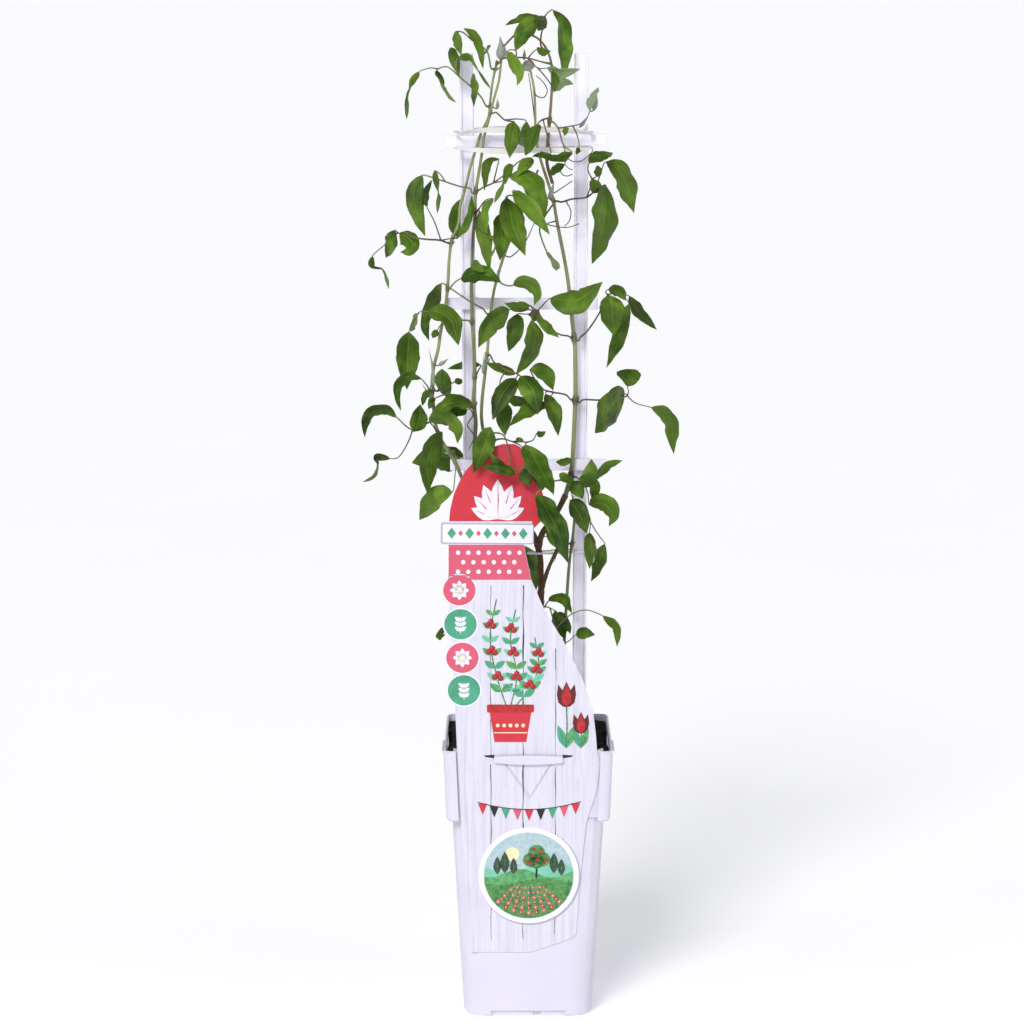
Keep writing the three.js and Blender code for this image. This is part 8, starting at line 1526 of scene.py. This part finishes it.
def card_print():
    p = Print()
    zs = [r[0] for r in CARD_ROWS]
    left = lambda z, inset=0.4: float(np.interp(z, zs, [r[1] for r in CARD_ROWS])) + inset
    right = lambda z, inset=0.4: float(np.interp(z, zs, [r[2] for r in CARD_ROWS])) - inset
    # planks of the painted ground: uneven dark gaps and fine grey grain
    rng = np.random.default_rng(21)

    def gap(x0, x1, z0, z1, w, ink="gap", level=1):
        for lo, hi in ((z0, min(z1, 212.4)), (max(z0, 218.4), z1)) if z0 < 214 < z1 else ((z0, z1),):
            if hi - lo < 2:
                continue
            q = np.arange(lo, hi, 3.1)
            x = x0 + (x1 - x0) * (q - z0) / (z1 - z0) + 0.22 * np.sin(q / 5.1 + x0) + rng.normal(0, 0.06, len(q))
            n = len(q)
            wide = w * (1 + 0.45 * np.sin(q / 8.3 + x0) + rng.normal(0, 0.12, n))
            verts = [(a - b / 2, c) for a, b, c in zip(x, wide, q)] + [(a + b / 2, c) for a, b, c in zip(x, wide, q)]
            p.lay(verts, [(i, i + 1, n + i + 1, n + i) for i in range(n - 1)], ink, level)

    gap(-29.5, -29.5, 66, 357, 0.45)
    gap(-4.0, -4.0, 66, 357, 0.8)
    gap(21.5, 21.5, 70, 306, 0.45)
    for _ in range(46):
        z0 = rng.uniform(66, 340)
        x0 = rng.uniform(-42, min(46, right(z0) - 5))
        L = rng.uniform(6, 30)
        if z0 < 218 and z0 + L > 212 or right(z0 + L) < x0 + 2:
            continue
        gap(x0, x0 + rng.uniform(-0.6, 0.6), z0, z0 + L, rng.uniform(0.10, 0.24), "grain", 0)
    # arched red head
    q = [z for z in np.arange(404.6, zs[-1], 1.5)] + [zs[-1] - 0.05]
    outline = [(left(z, 0.05), z) for z in q] + [(right(z, 0.05), z) for z in q[::-1]]
    p.poly(outline, "red", 1)
    q = np.arange(391, 404.7, 1.7)
    p.poly([(3.0, z) for z in q] + [(right(z, 0.05), z) for z in q[::-1]], "red", 1)
    # a fan of white leaves on the red head
    for k in range(-3, 4):
        p.leaf((-24.0 + 1.1 * k, 406.0), 31 - 2.6 * abs(k) ** 1.35, -21 * k, 2 + (3 - abs(k)), ink="white", rib="pink", wide=0.42)
    # bar: lozenges in turn large and small
    p.rounded(72.6, 15.9, 1.6, "grey", 3, (-32.0, 395.0), -0.5)
    p.rounded(70.8, 14.1, 1.0, "white", 4, (-31.8, 395.0), -0.5)
    for k in range(9):
        d = 4.4 if k % 2 == 0 else 2.4
        p.poly([(0, -d), (d * 0.8, 0), (0, d), (-d * 0.8, 0)], ("mint_dark", "pink")[k % 2], 5, (-60.0 + 7.0 * k, 395.4 - 0.05 * k))
    # pink panel with staggered dots
    q = list(np.arange(359.2, 386.4, 1.6)) + [386.4]
    p.poly([(max(left(z, 0.2), -62.6), z) for z in q] + [(min(right(z, 0.2), 6), z) for z in q[::-1]], "pink", 1)
    for row in range(3):
        for k in range(7):
            x, z = -55.0 + 8.0 * k + 4.0 * (row % 2), 365.5 + 7.4 * row
            if left(z) + 3 < x < min(right(z), 6) - 3:
                p.disc(1.7, "white", 2, (x, z), count=20)
    # four discs on the left edge: daisies and leaf pairs in turn
    for k, (x, z, rx, rz) in enumerate(DISCS):
        p.disc(rx - 0.35, "white", 1, (x, z), rz - 0.35, 48)
        p.disc(rx - 1.5, "pink" if k % 2 == 0 else "mint_dark", 2, (x, z), rz - 1.4, 48)
        if k % 2 == 0:
            for j in range(8):
                p.leaf((x, z), 7.6, 45 * j, 3, ink="white", rib="white", wide=0.62)
            p.disc(2.0, "cream", 5, (x, z), count=20)
        else:
            p.strip([(0, -7.2), (0, 6.0)], 0.7, "white", 3, at=(x, z))
            for dz in (-5.4, -1.4, 2.4):
                for turn in (-52, 52):
                    p.leaf((x, z + dz), 5.6, turn, 3, ink="white", rib="mint", wide=0.55)
    # berry branches in a pot
    inside = lambda x, z, gap=2.0: left(z) + gap < x < right(z) - gap
    stems = [[(-17, 258), (-25, 284), (-30, 314), (-25, 344)], [(-14, 258), (-9, 284), (-14, 312), (-10, 336)], [(-11, 258), (3, 276), (8, 294), (5, 314)]]
    for n, path in enumerate(stems):
        line = catmull([(x, z, 0) for x, z in path])(np.linspace(0, 1, 44))[:, :2]
        p.strip([tuple(v) for v in line], 1.0, "hedge", 2)
        for k in range(7):
            x, z = line[7 + 5 * k]
            for side in (-1, 1):
                L, turn = 11.5 - 0.7 * k, side * 54
                tip = (x - L * math.sin(math.radians(turn)), z + L * math.cos(math.radians(turn)))
                if inside(*tip):
                    p.leaf((x, z), L, turn, 3 + k % 2, ink=("fern", "mint", "mint_dark")[(k + n) % 3], rib="hedge", wide=0.5)
            if k % 2:
                for dx, dz in ((2.2, 2.0), (-2.4, 2.8), (0.2, 5.4)):
                    p.disc(2.3, "petal_dark", 6, (x + dx, z + dz), count=22)
                    p.disc(1.9, "petal", 7, (x + dx - 0.2, z + dz + 0.2), count=22)
                    p.disc(0.5, "pink", 8, (x + dx - 0.8, z + dz + 0.9), count=10)
    p.poly([(-12.5, -17), (12.5, -17), (16.5, 8), (-16.5, 8)], "red", 4, (-14, 247))
    p.rounded(37, 6.4, 1.0, "petal", 5, (-14, 257.2))
    for k in range(5):
        p.disc(1.5, "cream", 5, (-24.0 + 5.0 * k, 243.5), count=18)
    p.strip([(-27.2, 237.6), (-0.8, 237.6)], 0.8, "cream", 5)
    # two tulips on the right
    for x, z, size, low in ((30.0, 262.0, 1.0, 225), (41.5, 240.0, 0.86, 225)):
        p.strip([(x, low), (x + 0.6, (low + z) / 2), (x, z)], 1.1, "hedge", 2)
        for side in (-1, 1):
            p.leaf((x, low), 20 * size, side * 20, 3, ink="mint_dark" if side > 0 else "fern", rib="hedge", wide=0.34)
        p.poly([(-6, 0), (-7.2, 6), (-6.2, 14), (-3, 9.5), (0, 16), (3, 9.5), (6.2, 14), (7.2, 6), (6, 0), (3, -2.8), (0, -3.6), (-3, -2.8)], "petal_dark", 4, (x, z), size=size * 1.05)
        p.poly([(-3.4, 0), (-3.8, 6), (0, 15), (3.8, 6), (3.4, 0), (0, -3)], "petal", 5, (x, z), size=size)
    # the hanging flap's cut outline, drawn as painted shade: a grey line and a thin dark line stand in for the shadows
    # along the cut
    p.strip([(-18.6, 212.0), (1.4, 183.4), (18.4, 211.6)], 0.45, "grey", 1)
    p.strip([(-17.4, 212.0), (1.5, 185.2), (17.3, 211.4)], 0.2, "gap", 1)
    # painted shadow: dark slivers beyond both ends of the slit stand in for the shade in the openings there
    for side in (-1, 1):
        p.poly([(0.2 + side * 26.9, 219.6), (0.2 + side * 35.5, 218.9), (0.2 + side * 33.5, 217.5), (0.2 + side * 27.0, 216.7)], "line", 1)
    # a string of pennants
    sag = lambda x: 174.5 + 6.5 * (x / 42) ** 2
    p.strip([(x, sag(x)) for x in np.linspace(-40, 42, 44)], 0.7, "line", 3)
    for k in range(9):
        x = -36.0 + 9.2 * k
        p.poly([(-3.7, 0), (3.7, 0), (0, -9.4)], ("red", "board", "mint_dark", "pink")[k % 4], 2, (x, sag(x)))
    # round landscape: hills, a flower field, cypresses and a fruit tree
    c, R = (0.5, 119.5), 35.6
    arc = lambda x: math.sqrt(max(R * R - x * x, 0))
    p.disc(40.6, "grey", 1, (c[0] + 0.8, c[1] - 0.8), count=80)
    p.disc(40.0, "white", 2, c, count=80)
    p.disc(R + 0.3, "sky", 3, c, count=80)
    p.disc(5.6, "cream", 4, (c[0] - 13, c[1] + 18), count=32)

    def hill(top, ink, level):
        xs = np.linspace(-R + 0.5, R - 0.5, 60)
        up = [(x, max(min(top(x), arc(x)), -arc(x) + 0.2)) for x in xs]
        p.poly(up + [(x, -arc(x)) for x in xs[::-1]], ink, level, c)

    hill(lambda x: 7 + 4.5 * math.sin(x / 11), "mint", 4)
    hill(lambda x: 2 + 3.5 * math.sin(x / 8 + 2.4), "fern", 5)
    hill(lambda x: -5 + 2.5 * math.sin(x / 12 + 0.6), "hedge", 6)
    for x, z, L in ((-25, 1, 15), (-19, 2, 18), (-12, 1, 14), (20, 2, 17), (26, 0, 14)):
        p.leaf((c[0] + x, c[1] + z), L, 0, 7, ink="shade", rib="hedge", wide=0.42)
    p.strip([(6, -2), (6.3, 4), (6, 11)], 1.6, "board", 7, at=c)
    for dx, dz, r in ((-5, 13, 5.6), (5.4, 13.5, 5.8), (0.3, 19, 6.6), (0.2, 12, 6.0)):
        p.disc(r, "hedge", 8, (c[0] + 6 + dx, c[1] + dz), count=30)
    for dx, dz in ((-7, 12), (-3, 17), (1, 13.5), (4, 20), (8, 14), (-1.5, 22), (6.4, 10.4), (-4.4, 9.8)):
        p.disc(1.35, "petal", 9, (c[0] + 6 + dx, c[1] + dz), count=16)
    for k in range(-4, 5):
        foot = (6.4 * k, -arc(6.4 * k) * 0.93)
        p.strip([(2.6 * k, -8.0), foot], 0.5, "mint_dark", 7, at=c)
        for j in range(6):
            f = (j + 0.5) / 6
            x, z = 2.6 * k + (foot[0] - 2.6 * k) * f, -8.0 + (foot[1] + 8.0) * f
            p.disc(0.9 + 0.9 * f, ("petal", "pink")[(j + k) % 2], 8, (c[0] + x, c[1] + z), count=14)
            p.disc(0.3 + 0.3 * f, "cream", 9, (c[0] + x, c[1] + z), count=8)
    p.skin.piece("label_print", [INK[k] for k in p.inks], "label", smooth=False)


# ---------------------------------------------------------------- build
LEAVES_OUT = {}
for _name, (_a, _stem, _pets, _blades) in LEAVES.items():
    LEAVES_OUT[tuple(_a)] = unit(np.asarray(_pets[0][1], float) - np.asarray(_a, float))

moulded("pot", "pot_shell", POT_WHITE, 0.22)
moulded("upright_left", "trellis_upright_left", BAR_WHITE, 0.18)
moulded("upright_right", "trellis_upright_right", BAR_WHITE, 0.18)
for _n in ("top", "middle", "lower"):
    moulded("crossbar_" + _n, "trellis_slat_" + _n, BAR_WHITE, 0.2)
band_piece("band_upper", "tie_upper", TIE_LOOP, 707.4, 4.0, 0.7, 1.0, (26, 50), 1.15, -2.6)
band_piece("band_lower", "tie_lower", TIE_LOOP, 691.4, 4.0, 0.7, 2.6, (26, 50), -1.15, 1.9)
band_piece("band_back", "tie_back", TIE_BACK, TIE_BACK_Z, 1.6, 0.7, 0.4)
soil_pieces()
woody_piece()
for _i, _n in enumerate(STEMS):
    stem_piece(_n, _i)
bud_pieces()
shoots()
for _i, (_n, _d) in enumerate(LEAVES.items()):
    leaf_piece(_i, _n, _d)
card_piece()
card_print()

# ---------------------------------------------------------------- floor
floor_mesh = bpy.data.meshes.new("floor")
floor_mesh.from_pydata([(-900, -900, 0), (900, -900, 0), (900, 1800, 0), (-900, 1800, 0)], [], [(0, 1, 2, 3)])
floor = bpy.data.objects.new("floor", floor_mesh)
SCENE.collection.objects.link(floor)
_s = Shader("floor_paper", Specular_IOR_Level=0.1, Roughness=0.75)
_s.base(_s.ramp(_s.noise(_s.coord("Object"), 3.0, 3), [(0.3, (0.80, 0.80, 0.81)), (0.7, (0.815, 0.815, 0.825))]))
_s.b.inputs["Emission Color"].default_value = (0.96, 0.97, 1, 1)
_s.b.inputs["Emission Strength"].default_value = 0.36
floor_mesh.materials.append(_s.m)
